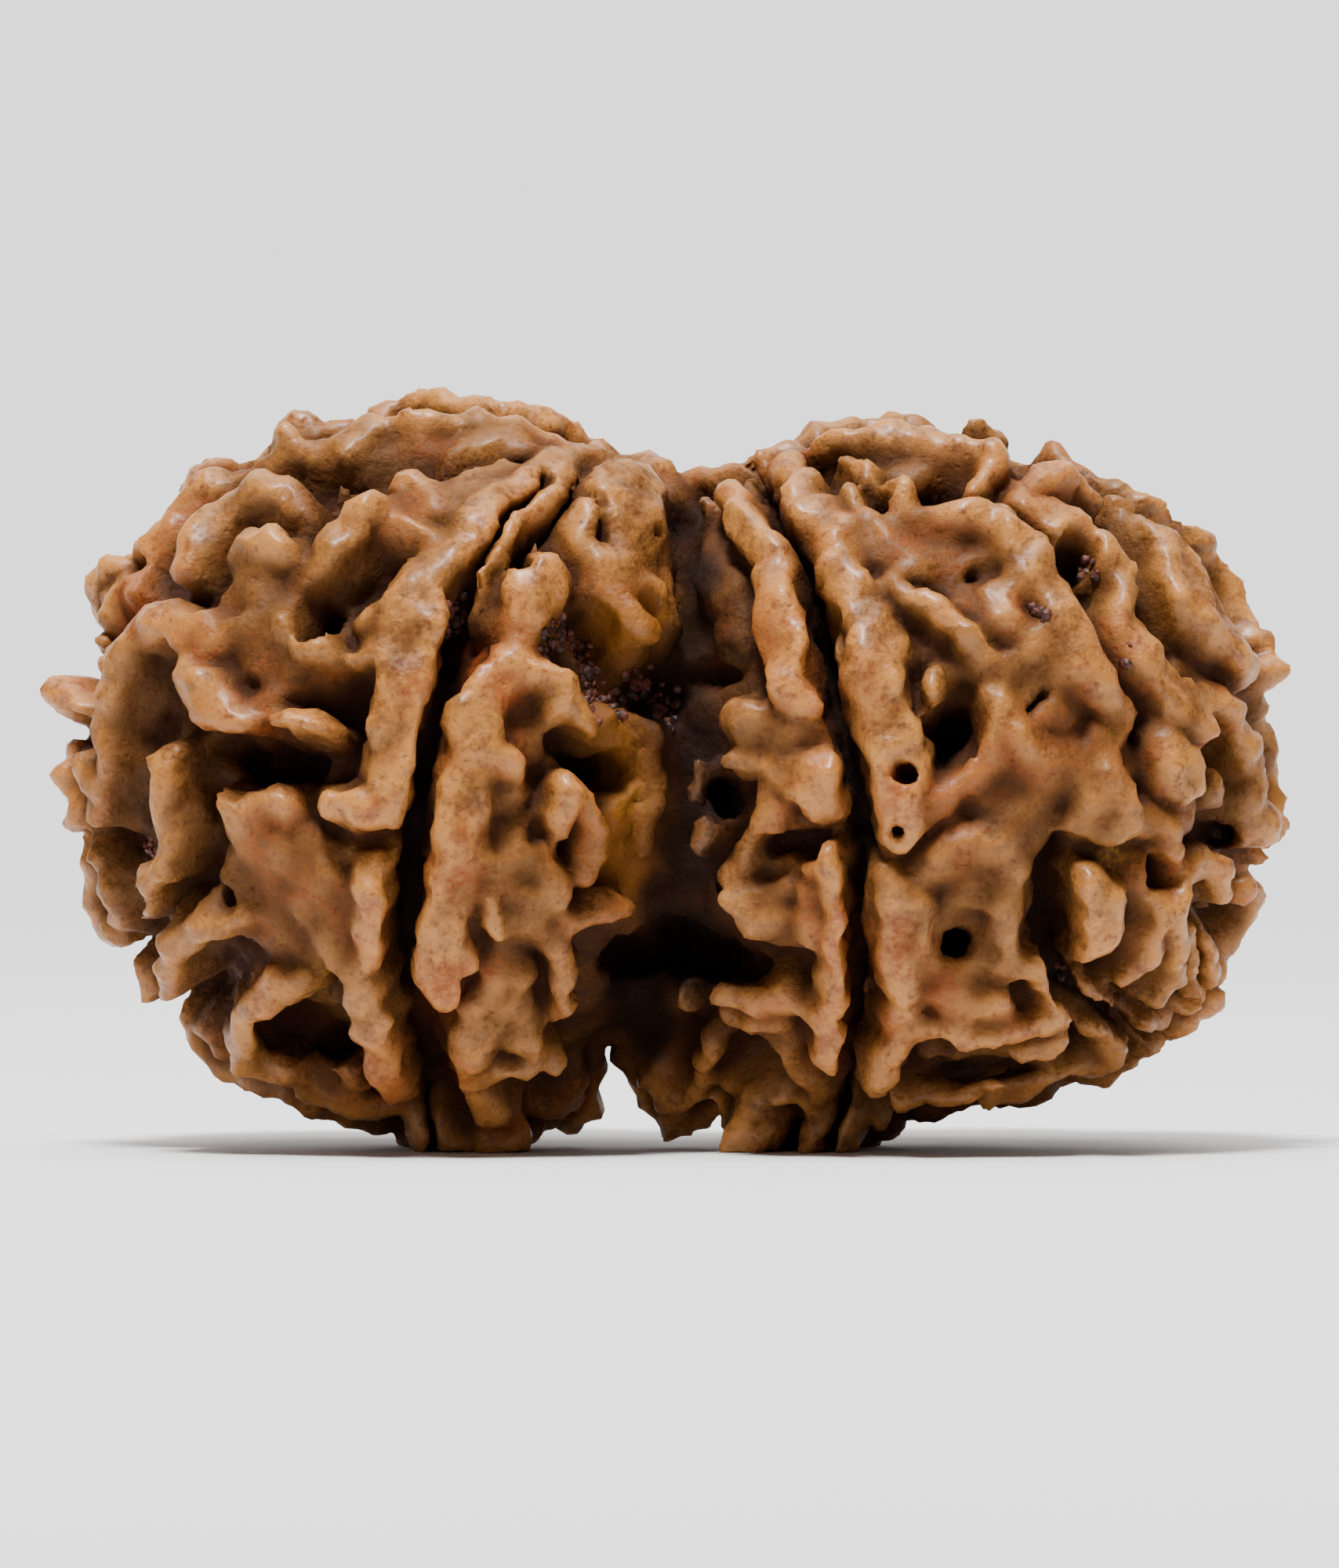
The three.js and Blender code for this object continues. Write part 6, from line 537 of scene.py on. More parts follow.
# caves that open to the front, in the valley and low on each bead: centre and half sizes
HOLLOWS = [
    ([-1.0, -3.2, 6.0], [1.0, 2.4, 0.75]),
    ([0.2, -3.5, 6.3], [1.2, 2.8, 0.85]),
    ([1.4, -4.0, 6.0], [1.0, 2.6, 0.6]),
    ([2.3, -4.8, 5.7], [0.8, 1.6, 0.4]),
    ([-0.7, -3.6, 5.0], [0.9, 1.7, 0.6]),
    ([0.5, -3.6, 18.2], [0.5, 2.6, 0.85]),
    ([-0.4, -5.4, 13.3], [1.1, 1.5, 0.8]),
    ([1.1, -5.6, 13.8], [1.0, 1.3, 0.45]),
    ([-10.3, -3.9, 4.0], [1.3, 1.9, 0.8]),
    ([-9.2, -3.5, 3.6], [0.8, 1.9, 0.6]),
    ([-14.2, -2.9, 6.6], [0.45, 1.2, 0.35]),
    ([-3.2, -4.3, 2.1], [1.1, 1.5, 0.4]),
    ([1.55, -6.4, 10.5], [0.5, 2.2, 0.65]),
    ([7.95, -6.6, 6.45], [0.48, 1.7, 0.45]),
    ([8.8, -4.7, 2.9], [1.8, 1.9, 0.36]),
    ([15.3, -2.8, 9.4], [0.6, 1.5, 0.4]),
]

# %% [markdown]
# ## From readings to chains in space
# A reading from the front gives x and z; its depth follows from the round of the bead. A chain is a row
# of pairs: the point of the crest, counted from the bead's centre, and the half width there.

# %% Places on a bead
def unit(vector):
    vector = np.asarray(vector, float)
    return vector / np.linalg.norm(vector)


def floor_radius(q):
    """Distance from a bead's centre to its skin in the direction of q."""
    in_axes = np.sqrt(((q / FLOOR_AXES) ** 2).sum(-1))
    return np.linalg.norm(q, axis=-1) / in_axes


def at_height(direction, height):
    d = unit(direction)
    return d * (floor_radius(d) + height)


def front_point(x, z, height, centre):
    """A place seen from the front, laid on the front of a bead at a height above its skin."""
    dx, dz = x - centre[0], z - centre[2]
    ax, ay, az = FLOOR_AXES + height
    inside = 1 - (dx / ax) ** 2 - (dz / az) ** 2
    return np.array([dx, -ay * math.sqrt(inside) if inside > 0 else 0.0, dz])


def raised_chain(stations, centre):
    return [(front_point(x, z, height + CREST_BASE, centre), width) for x, z, width, height in stations]


def carved_chain(stations, centre):
    return [(front_point(x, z, -depth, centre), width) for x, z, width, depth in stations]


class Draw:
    """Repeatable numbers from 0 to 1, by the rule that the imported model's form also uses."""

    def __init__(self, seed):
        self.state = seed

    def next(self):
        self.state = (self.state * 1664525 + 1013904223) % 2 ** 32
        return self.state / 2 ** 32

    def between(self, low, high):
        return low + (high - low) * self.next()


def outline_chain(points, centre, draw):
    """The ridge that makes the outline wanders a little before and behind the middle plane."""
    phase = draw.between(0, 6.28)
    chain = []
    for i, (x, z) in enumerate(points):
        flat = np.array([x - centre[0], 0.0, z - centre[2]])
        point = flat * (1 - 0.02 / np.linalg.norm(flat))
        point[1] = 0.5 + 0.9 * math.sin(phase + i * 0.9)
        chain.append((point, 0.42 * draw.between(0.7, 1.3)))
    return chain


# %% [markdown]
# ## The hidden side
# Nobody sees the back in the photograph, but it grew the same way. Each cleft of the back runs from pole
# to pole with a broken lip on either side. Between the clefts, shaken but evenly spread knobs are joined
# to their neighbours by lower saddles. Everything is drawn from the bead's seed.

# %% Relief of the back
CLEFT_STEPS = 22
CLEFT_DEPTH = 0.9
LIP_RADIUS = 9.4
LIP_GAP = 0.34
KNOB_COUNT = 190
KNOB_SHAKE = 0.09
# how far behind the middle plane the drawn relief begins, and where it stops at the other bead
BACK_START = 1.6
INNER_LIMIT = 7.2
# longest saddle between two knobs, and between a knob and a lip
KNOB_SPAN = 3.4
LIP_SPAN = 3.2
PIT_TRIES = 26


def outline_fade(direction):
    """Crests just behind the outline stay low, so the notches of the outline stay open."""
    y = direction[1] / np.linalg.norm(direction)
    return min(max(0.35 + 1.6 * (y - 0.1), 0.35), 1.0)


def meridian(top, middle, bottom, t):
    """A line from pole to pole through a middle direction."""
    return unit(top * (1 - t) * (1 - 2 * t) + middle * 4 * t * (1 - t) + bottom * t * (2 * t - 1))


def broken_chain(chain, draw):
    pieces, start = [], 0
    while start < len(chain) - 1:
        length = 4 + int(draw.next() * 6)
        piece = chain[start:start + length]
        if len(piece) > 1:
            pieces.append(piece)
        start += length - 1
        if draw.next() < 0.4:
            start += 1
    return pieces


def back_cleft(bead, azimuth, draw):
    top, bottom = unit(bead["top_pole"]), unit(bead["bottom_pole"])
    angle = math.radians(azimuth)
    middle = unit([math.cos(angle), math.sin(angle), draw.between(-0.1, 0.1)])
    left_phase, right_phase = draw.between(0, 6.28), draw.between(0, 6.28)
    line, directions, left, right = [], [], [], []
    for i in range(CLEFT_STEPS + 1):
        t = 0.06 + 0.88 * i / CLEFT_STEPS
        straight = meridian(top, middle, bottom, t)
        side = unit(np.cross(straight, meridian(top, middle, bottom, t + 0.01) - straight))
        wiggle = 0.03 * math.sin(7 * t + left_phase) + 0.02 * math.sin(17 * t + right_phase)
        d = unit(straight + side * wiggle)
        depth = CLEFT_DEPTH * math.sqrt(math.sin(math.pi * t))
        directions.append(d)
        line.append((at_height(d, -depth), 0.24 + 0.1 * math.sin(9 * t + right_phase)))
        for sign, phase, chain in ((-1, left_phase, left), (1, right_phase, right)):
            width = 0.5 + 0.16 * math.sin(13 * t + phase) + 0.1 * math.sin(29 * t + 2 * phase)
            height = 1.45 + 0.2 * math.sin(11 * t + 1.7 * phase)
            lip = d + side * sign * (LIP_GAP + width) / LIP_RADIUS
            chain.append((at_height(lip, CREST_BASE + height * outline_fade(lip)), width))
    return line, directions, broken_chain(left, draw) + broken_chain(right, draw)


def back_knobs(bead, cleft_directions, draw):
    knobs = []
    for i in range(KNOB_COUNT):
        up = 1 - 2 * (i + 0.5) / KNOB_COUNT
        turn = i * math.pi * (3 - math.sqrt(5))
        out = math.sqrt(1 - up * up)
        shake = np.array([draw.between(-1, 1), draw.between(-1, 1), draw.between(-1, 1)])
        d = unit(np.array([out * math.cos(turn), out * math.sin(turn), up]) + shake * KNOB_SHAKE)
        width, height = draw.between(0.34, 0.7), draw.between(0.9, 1.7)
        point = at_height(d, CREST_BASE + height * outline_fade(d))
        if point[1] < BACK_START + 0.8 * draw.next() or point[0] * bead["inward"] > INNER_LIMIT:
            continue
        if np.linalg.norm(cleft_directions - d, axis=1).min() >= 0.15:
            knobs.append((point, width))
    return knobs


def knob_links(knobs, i, cleft_directions, draw):
    """Ridges that join a knob to its neighbours and to the lip of a cleft."""
    point, width = knobs[i]
    far = [(np.linalg.norm(point - other), j) for j, (other, _) in enumerate(knobs) if j != i]
    ridges = []
    for distance, j in sorted(far)[:3]:
        pick = draw.next()
        if (j < i and pick < 0.55) or distance >= KNOB_SPAN or pick >= 0.75:
            continue
        saddle = (point + knobs[j][0]) * 0.5 * 0.985
        ridges.append([knobs[i], (saddle, 0.75 * min(width, knobs[j][1]) + 0.02), knobs[j]])
    if not ridges:
        ridges.append([knobs[i]])
    lips = cleft_directions * np.linalg.norm(point)
    gaps = np.linalg.norm(lips - point, axis=1)
    nearest = int(np.argmin(gaps))
    if gaps[nearest] < LIP_SPAN and draw.next() < 0.8:
        ridges.append([(point, width * 0.8), (point * 0.35 + lips[nearest] * 0.64, width * 0.7)])
    return ridges


def back_pits(bead, draw):
    pits = []
    for _ in range(PIT_TRIES):
        turn, up = draw.between(0.15, 2.99), draw.between(-0.85, 0.85)
        out = math.sqrt(1 - up * up)
        d = np.array([out * math.cos(turn), out * math.sin(turn), up])
        width, depth = draw.between(0.25, 0.5), draw.between(0.3, 1.2)
        if d[1] * 8 >= 2 and d[0] * bead["inward"] <= 0.72:
            pits.append([(at_height(d, -depth), width)])
    return pits


def keel(front, back, centre):
    """A low ridge under the bead, from a front foot over a saddle to a back foot."""
    middle = np.mean([front, back], axis=0)
    stations = [(front, FOOT_LEVEL, 1.0), (middle, KEEL_LEVEL, 0.6), (back, FOOT_LEVEL, 1.0)]
    return [(np.array([x, y, z]) - centre, share * FOOT_HALF_WIDTH) for (x, y), z, share in stations]


def bead_relief(bead):
    """Webs, ridges, pits, clefts and bars of one bead, in that order."""
    centre = bead["centre"]
    draw = Draw(bead["seed"])
    webs = [raised_chain(stations, centre) for stations in bead["webs"]]
    ridges = [raised_chain(stations, centre) for stations in bead["ridges"]]
    ridges.append(outline_chain(bead["outline"], centre, draw))
    ridges += [keel(front, back, centre) for front, back in bead["keels"]]
    behind = [back_cleft(bead, azimuth, draw) for azimuth in bead["back_clefts"]]
    directions = np.array([d for _, line, _ in behind for d in line])
    for _, _, lips in behind:
        ridges += lips
    knobs = back_knobs(bead, directions, draw)
    for i in range(len(knobs)):
        ridges += knob_links(knobs, i, directions, draw)
    pits = [carved_chain(stations, centre) for stations in bead["pits"]] + back_pits(bead, draw)
    clefts = [carved_chain(stations, centre) for stations in bead["clefts"]]
    clefts += [line for line, _, _ in behind]
    bars = [raised_chain(stations, centre) for stations in bead["bars"]]
    return webs, ridges, pits, clefts, bars


reliefs = [bead_relief(bead) for bead in BEADS]
print("webs, ridges, pits, clefts and bars:", [[len(chains) for chains in relief] for relief in reliefs])

# %% [markdown]
# ## The form as a field
# The surface is where a number given to every point of space passes zero: negative inside the wood,
# positive outside. Ridges are joined to the skin with a soft minimum, which leaves the rounded, melted
# look of the real stone, and pits are taken away the same way. Only cells near a ridge or cut are touched.

# %% Fields of a ridge and of a cut
# how far down the foot of a ridge widens, how far up a cut does, and how round the end of a cut is
FOOT_DEPTH = 1.6
CUT_DEPTH = 3
CUT_ROUNDING = 0.35


def smooth_min(a, b, softness):
    h = np.maximum(softness - np.abs(a - b), 0) / softness
    return np.minimum(a, b) - h * h * softness * 0.25


def beside_span(q, r, start, end):
    """Sideways distance from the fan of rays through a span, height over its crest, and half width."""
    (start_point, start_width), (end_point, end_width) = start, end
    run = end_point - start_point
    start_radius, end_radius = np.linalg.norm(start_point), np.linalg.norm(end_point)
    on_crest = q * (0.5 * (start_radius + end_radius) / np.maximum(r, 1e-6))[..., None]
    length2 = float(run @ run)
    t = np.zeros_like(r)
    if length2 > 1e-9:
        t = np.clip(((on_crest - start_point) @ run) / length2, 0, 1)
    closest = start_point + t[..., None] * run
    ray = closest * (r / np.linalg.norm(closest, axis=-1))[..., None]
    over = r - (start_radius + t * (end_radius - start_radius))
    return np.linalg.norm(q - ray, axis=-1), over, start_width + t * (end_width - start_width)


def ridge_field(q, r, start, end):
    sideways, over, width = beside_span(q, r, start, end)
    base = width * CREST_SHARE + FLARE * np.clip(-over, 0, FOOT_DEPTH)
    rounding = np.minimum(base, CREST_ROUNDING)
    u, v = sideways - base + rounding, over + rounding
    return np.minimum(np.maximum(u, v), 0) + np.hypot(np.maximum(u, 0), np.maximum(v, 0)) - rounding


def cut_field(q, r, start, end, taper):
    sideways, over, width = beside_span(q, r, start, end)
    opening = width + taper * np.clip(over, 0, CUT_DEPTH)
    return -smooth_min(opening - sideways, over, CUT_ROUNDING)


def wander(q, shift):
    """Small wandering of the whole relief, so no ridge runs quite straight."""
    x, y, z = q[..., 0], q[..., 1], q[..., 2]
    moved = np.empty_like(q)
    moved[..., 0] = x + 0.1 * np.sin(1.9 * y + 1.3 * z + shift) + 0.05 * np.sin(4.1 * z - 2.7 * y + 2 * shift)
    moved[..., 1] = y + 0.1 * np.sin(2.1 * z + 1.1 * x + shift) + 0.05 * np.sin(3.9 * x - 2.9 * z + 3 * shift)
    moved[..., 2] = z + 0.1 * np.sin(1.8 * x + 1.4 * y + shift) + 0.05 * np.sin(4.3 * y - 2.5 * x + 5 * shift)
    return moved


# %% Work the field out in cells
GRID_LOW = np.array([-18.4, -11.0, -0.6])
GRID_HIGH = np.array([18.6, 11.0, 22.6])
grid_size = np.ceil((GRID_HIGH - GRID_LOW) / CELL).astype(int) + 1
axes = [GRID_LOW[i] + CELL * np.arange(grid_size[i]) for i in range(3)]
places = np.stack(np.meshgrid(*axes, indexing="ij"), -1)
# how far a ridge and a cut reach inwards and outwards from their line, and the room beside them
RIDGE_REACH = (3.0, 0.5)
CUT_REACH = (0.3, 4.5)
SIDE_ROOM = 0.9
# how softly each kind runs into what is there, and how much a cut widens outwards
BAR_BLEND = 0.2
PIT_BLEND, PIT_TAPER = 0.25, 0.12
CLEFT_BLEND, CLEFT_TAPER = 0.2, 0.03
NECK_BLEND = 0.6
SWELLING_BLEND = 0.8
HOLLOW_BLEND = 0.3


def cells_near(start, end, reach, centre):
    """The block of cells round a span of a chain, with its reach inwards and outwards."""
    reach_in, reach_out = reach
    corners = []
    for point, _ in (start, end):
        corners += [point + unit(point) * reach_out, point - unit(point) * reach_in]
    margin = max(start[1], end[1]) + SIDE_ROOM
    low = (np.min(corners, axis=0) - margin + centre - GRID_LOW) / CELL
    high = (np.max(corners, axis=0) + margin + centre - GRID_LOW) / CELL
    first = np.clip(np.floor(low).astype(int), 0, grid_size)
    last = np.clip(np.ceil(high).astype(int) + 1, 0, grid_size)
    return tuple(slice(a, b) for a, b in zip(first, last))


def spans(chains):
    """Each pair of neighbours in each chain; a chain of one station is a knob, paired with itself."""
    for chain in chains:
        yield from zip(chain[:-1] or chain, chain[1:] or chain)


def raise_chains(field, q, r, centre, chains, softness):
    for start, end in spans(chains):
        near = cells_near(start, end, RIDGE_REACH, centre)
        field[near] = smooth_min(field[near], ridge_field(q[near], r[near], start, end), softness)


def cut_chains(field, q, r, centre, chains, softness, taper):
    for start, end in spans(chains):
        near = cells_near(start, end, CUT_REACH, centre)
        cut = cut_field(q[near], r[near], start, end, taper)
        field[near] = -smooth_min(-field[near], cut, softness)


def bead_field(bead, relief):
    webs, ridges, pits, clefts, bars = relief
    centre = bead["centre"]
    q = wander(places - centre, bead["seed"] % 7)
    r = np.linalg.norm(q, axis=-1)
    field = r - floor_radius(q)
    height = field.copy()
    raise_chains(field, q, r, centre, webs, WEB_BLEND)
    raise_chains(field, q, r, centre, ridges, BLEND)
    cut_chains(field, q, r, centre, pits, PIT_BLEND, PIT_TAPER)
    cut_chains(field, q, r, centre, clefts, CLEFT_BLEND, CLEFT_TAPER)
    raise_chains(field, q, r, centre, bars, BAR_BLEND)
    return field, height


def egg_field(centre, half):
    return (np.sqrt((((places - centre) / half) ** 2).sum(-1)) - 1) * min(half)


fields, heights = zip(*(bead_field(bead, relief) for bead, relief in zip(BEADS, reliefs)))
form = smooth_min(fields[0], fields[1], NECK_BLEND)
for centre, half in SWELLINGS:
    form = smooth_min(form, egg_field(centre, half), SWELLING_BLEND)
for hollow in HOLLOWS:
    form = -smooth_min(-form, egg_field(*hollow), HOLLOW_BLEND)
form = np.maximum(form, REST_CUT - places[..., 2])
skin_height = np.minimum(heights[0], heights[1])
print("cells worked out:", form.size)

# %% [markdown]
# ## From the field to a mesh
# OpenVDB walks the cells and lays faces where the field passes zero. Its faces are all of one size, which
# wastes them on smooth places, so a decimation thins them where the surface is nearly flat.

# %% Lay the skin
FACE_LIMIT = 190_000


def new_object(name, mesh):
    made = bpy.data.objects.new(name, mesh)
    bpy.context.scene.collection.objects.link(made)
    return made


def baked(piece):
    """The piece with its modifiers made real."""
    graph = bpy.context.evaluated_depsgraph_get()
    mesh = bpy.data.meshes.new_from_object(piece.evaluated_get(graph), depsgraph=graph)
    piece.modifiers.clear()
    piece.data = mesh
    return piece


def lay_skin(field):
    grid = openvdb.FloatGrid(background=1.0)
    grid.copyFromArray(np.ascontiguousarray(field, dtype=np.float32))
    points, quads = grid.convertToQuads(isovalue=0.0)
    return points * CELL + GRID_LOW, quads


points, quads = lay_skin(form)
seed_mesh = bpy.data.meshes.new("seed")
seed_mesh.from_pydata(((points - [*MIDDLE, REST_CUT]) * MM).tolist(), [], quads[:, ::-1].tolist())
seed_mesh.validate()
seed = new_object("fused_seed", seed_mesh)
thinned = seed.modifiers.new("thinned", "DECIMATE")
thinned.ratio = min(1.0, FACE_LIMIT / (2 * len(quads)))
baked(seed)
print("faces laid and kept:", len(quads), len(seed.data.polygons))

# %% [markdown]
# ## What the finish needs to know
# Rubbing and oil leave the crests pale and glossy, and what lies deep is darkened by painted shade along with
# dirt and dried pulp. So each corner of the mesh is told how high it stands over the skin, how closed in it
# is, near by and farther off, how near the underside it is, and how much of each named stain, patch, painted
# shaded stretch or painted lit strip it lies in.

# %% Measure crests, hollows and stains
# reddish stains and yellow patches of the front, as [x, z, reach]
RED_STAINS = [
    [-6.25, 5.0, 0.5], [-6.1, 8.3, 0.5], [-8.2, 7.3, 0.4], [-8.2, 6.4, 0.35], [-8.0, 3.3, 0.4],
    [-7.7, 2.3, 0.4], [-5.7, 2.8, 0.35], [4.75, 7.3, 0.4], [4.7, 6.6, 0.45], [4.65, 5.8, 0.4],
    [4.45, 4.2, 0.4], [4.4, 3.3, 0.45], [6.3, 6.8, 0.35], [6.25, 5.9, 0.35], [7.7, 5.0, 0.4],
    [-5.2, 14.2, 0.4], [-4.5, 13.4, 0.4], [-11.1, 12.6, 0.3], [-14.8, 15.6, 0.4], [5.5, 14.2, 0.4],
    [-5.5, 9.6, 0.4], [6.3, 11.0, 0.35], [-8.2, 10.2, 0.4], [6.2, 4.2, 0.3], [-7.0, 13.6, 0.4],
]
YELLOW_PATCHES = [
    [-8.4, 20.7, 0.3], [-5.0, 20.3, 0.5], [-7.2, 18.0, 0.35], [-9.5, 5.5, 0.45], [12.3, 8.8, 0.45],
    [-1.0, 10.6, 0.5], [-6.4, 18.0, 0.3], [5.0, 17.4, 0.3],
]


def box_blur(values, reach):
    """Mean over a box of that reach, three times, which comes close to a round blur."""
    n = max(1, int(round(reach / CELL)))
    for _ in range(3):
        for axis in range(3):
            padded = np.pad(values, [(n + 1, n) if i == axis else (0, 0) for i in range(3)], mode="edge")
            total = np.cumsum(padded, axis=axis, dtype=np.float64)
            ahead = np.take(total, range(2 * n + 1, total.shape[axis]), axis=axis)
            behind = np.take(total, range(0, total.shape[axis] - 2 * n - 1), axis=axis)
            values = ((ahead - behind) / (2 * n + 1)).astype(np.float32)
    return values


def sampled(values, corners):
    """Values at the corners of the mesh, mixed from the eight cells round each."""
    place = np.clip((corners - GRID_LOW) / CELL, 0, grid_size - 1.001)
    whole = place.astype(int)
    part = place - whole
    total = np.zeros(len(corners))
    for i in range(8):
        step = np.array([i & 1, (i >> 1) & 1, (i >> 2) & 1])
        weight = np.where(step, part, 1 - part).prod(1)
        total += weight * values[tuple((whole + step).T)]
    return total


def mesh_corners(mesh):
    corners = np.empty(len(mesh.vertices) * 3)
    mesh.vertices.foreach_get("co", corners)
    return corners.reshape(-1, 3) / MM + [*MIDDLE, REST_CUT]


def set_attribute(mesh, name, values):
    layer = mesh.attributes.new(name, "FLOAT", "POINT")
    layer.data.foreach_set("value", np.asarray(values, np.float32))


def patches(corners, spots):
    amount = np.zeros(len(corners))
    for x, z, reach in spots:
        away = np.hypot(corners[:, 0] - x, (corners[:, 2] - z) * 0.75) / reach
        amount = np.maximum(amount, np.exp(-away ** 2))
    return amount * (corners[:, 1] < 0)


# painted shade, with some real dirt: the valley, and what lies under the thin rims
DARK_PLACES = [
    [0.6, 18.3, 0.9], [0.9, 16.6, 0.8], [0.6, 15.0, 1.0], [0.2, 13.4, 1.3], [0.9, 11.8, 1.1],
    [0.9, 10.2, 1.1], [0.6, 8.8, 1.2], [-0.2, 7.6, 1.0], [0.6, 6.2, 1.6], [-0.9, 5.0, 1.4], [-0.4, 4.0, 1.2],
]

# painted light: the lit strip of the valley floor, along the left bead
PAINTED_LIGHT_PLACES = [
    [-1.5, 12.4, 0.7], [-1.3, 11.6, 0.8], [-1.2, 10.8, 0.8], [-1.3, 10.0, 0.8], [-1.5, 9.0, 0.8],
    [-1.0, 8.2, 0.7], [-0.4, 15.6, 0.7], [-1.4, 15.2, 0.8],
]

# over these distances it is measured how closed in a corner is
NEAR_REACH = 0.4
FAR_REACH = 1.1
# painted shade: the underside grows darker from this height down
UNDERSIDE_SHADE_TOP = 4.5
UNDERSIDE_SHADE_DEPTH = 4.0

corners = mesh_corners(seed.data)
wood = (form < 0).astype(np.float32)
measured = {
    "crest": sampled(skin_height, corners),
    "closed_near": sampled(box_blur(wood, NEAR_REACH), corners),
    "closed_far": sampled(box_blur(wood, FAR_REACH), corners),
    "red": patches(corners, RED_STAINS),
    "yellow": patches(corners, YELLOW_PATCHES),
    "dark": patches(corners, DARK_PLACES),
    "gold": patches(corners, PAINTED_LIGHT_PLACES),
    # painted shade: darker towards the underside
    "low": np.clip((UNDERSIDE_SHADE_TOP - corners[:, 2]) / UNDERSIDE_SHADE_DEPTH, 0, 1),
}
for name, values in measured.items():
    set_attribute(seed.data, name, values)
    print(f"{name}: {np.percentile(values, [2, 25, 50, 75, 98]).round(2)}")

# %% [markdown]
# ## A small kit for node trees
# Both the relief of the skin and its finish are node trees. `Tree.node` adds one node from its type, its
# settings and its inputs. A socket is wrapped in `Number`, so that sums are written as sums.

# %% The node kit
class Number:
    """A socket that carries one number, with the operators that are used here."""

    def __init__(self, tree, socket):
        self.tree, self.socket = tree, socket

    def _with(self, operation, other, swap=False):
        pair = (other, self) if swap else (self, other)
        return self.tree.number("ShaderNodeMath", {"operation": operation}, {0: pair[0], 1: pair[1]})

    def __add__(self, other):
        return self._with("ADD", other)

    def __radd__(self, other):
        return self._with("ADD", other, True)

    def __sub__(self, other):
        return self._with("SUBTRACT", other)

    def __rsub__(self, other):
        return self._with("SUBTRACT", other, True)

    def __mul__(self, other):
        return self._with("MULTIPLY", other)

    def stretched(self, low, high):
        """0 at low, 1 at high, and no more on either side."""
        inputs = {"Value": self, "From Min": low, "From Max": high}
        return self.tree.number("ShaderNodeMapRange", {"interpolation_type": "SMOOTHSTEP"}, inputs)


class Tree:
    def __init__(self, tree):
        self.tree = tree

    def node(self, kind, settings=None, inputs=None):
        made = self.tree.nodes.new(kind)
        for name, value in (settings or {}).items():
            setattr(made, name, value)
        for name, value in (inputs or {}).items():
            self.join(value, made.inputs[name])
        return made

    def join(self, value, socket):
        if isinstance(value, Number):
            value = value.socket
        if isinstance(value, bpy.types.NodeSocket):
            self.tree.links.new(value, socket)
        else:
            socket.default_value = value

    def number(self, kind, settings=None, inputs=None, output=0):
        return Number(self, self.node(kind, settings, inputs).outputs[output])

    def mixed(self, amount, low, high):
        """A colour between two colours."""
        made = self.node("ShaderNodeMix", {"data_type": "RGBA"})
        for value, index in ((amount, 0), (low, 6), (high, 7)):
            self.join(value, made.inputs[index])
        return made.outputs[2]


def linear(red, green, blue):
    """A colour seen on screen, 0 to 255, as the light it stands for."""
    parts = [value / 255 for value in (red, green, blue)]
    return (*(p / 12.92 if p <= 0.04045 else ((p + 0.055) / 1.055) ** 2.4 for p in parts), 1.0)

# %% [markdown]
# ## Skin relief with Geometry Nodes
# Between the ridges the skin is never smooth: it has low lumps of half a millimetre and a finer grain.
# A Geometry Nodes tree moves each corner along its normal by noise. Its inputs are the sizes and heights
# of the lumps and of the grain.

# %% Roughen the skin
def group_input(tree, name, kind, value=None):
    socket = tree.tree.interface.new_socket(name, in_out="INPUT", socket_type=kind)
    if value is not None:
        socket.default_value = value
    return socket


def new_nodes(name, inputs):
    """A tree with a geometry in, a geometry out, and the named number inputs."""
    made = Tree(bpy.data.node_groups.new(name, "GeometryNodeTree"))
    made.tree.interface.new_socket("Geometry", in_out="OUTPUT", socket_type="NodeSocketGeometry")
    group_input(made, "Geometry", "NodeSocketGeometry")
    for input_name, (kind, value) in inputs.items():
        group_input(made, input_name, kind, value)
    return made, made.node("NodeGroupInput").outputs


def close_nodes(tree, geometry, material):
    real = tree.node("GeometryNodeRealizeInstances", None, {"Geometry": geometry})
    painted = tree.node("GeometryNodeSetMaterial", None, {"Geometry": real.outputs[0], "Material": material})
    tree.node("NodeGroupOutput", None, {"Geometry": painted.outputs[0]})


def run_nodes(piece, tree, values):
    modifier = piece.modifiers.new(tree.tree.name, "NODES")
    modifier.node_group = tree.tree
    items = tree.tree.interface.items_tree
    sockets = {item.name: item.identifier for item in items if item.in_out == "INPUT"}
    for name, value in values.items():
        modifier[sockets[name]] = value
    return baked(piece)


FLOAT = "NodeSocketFloat"


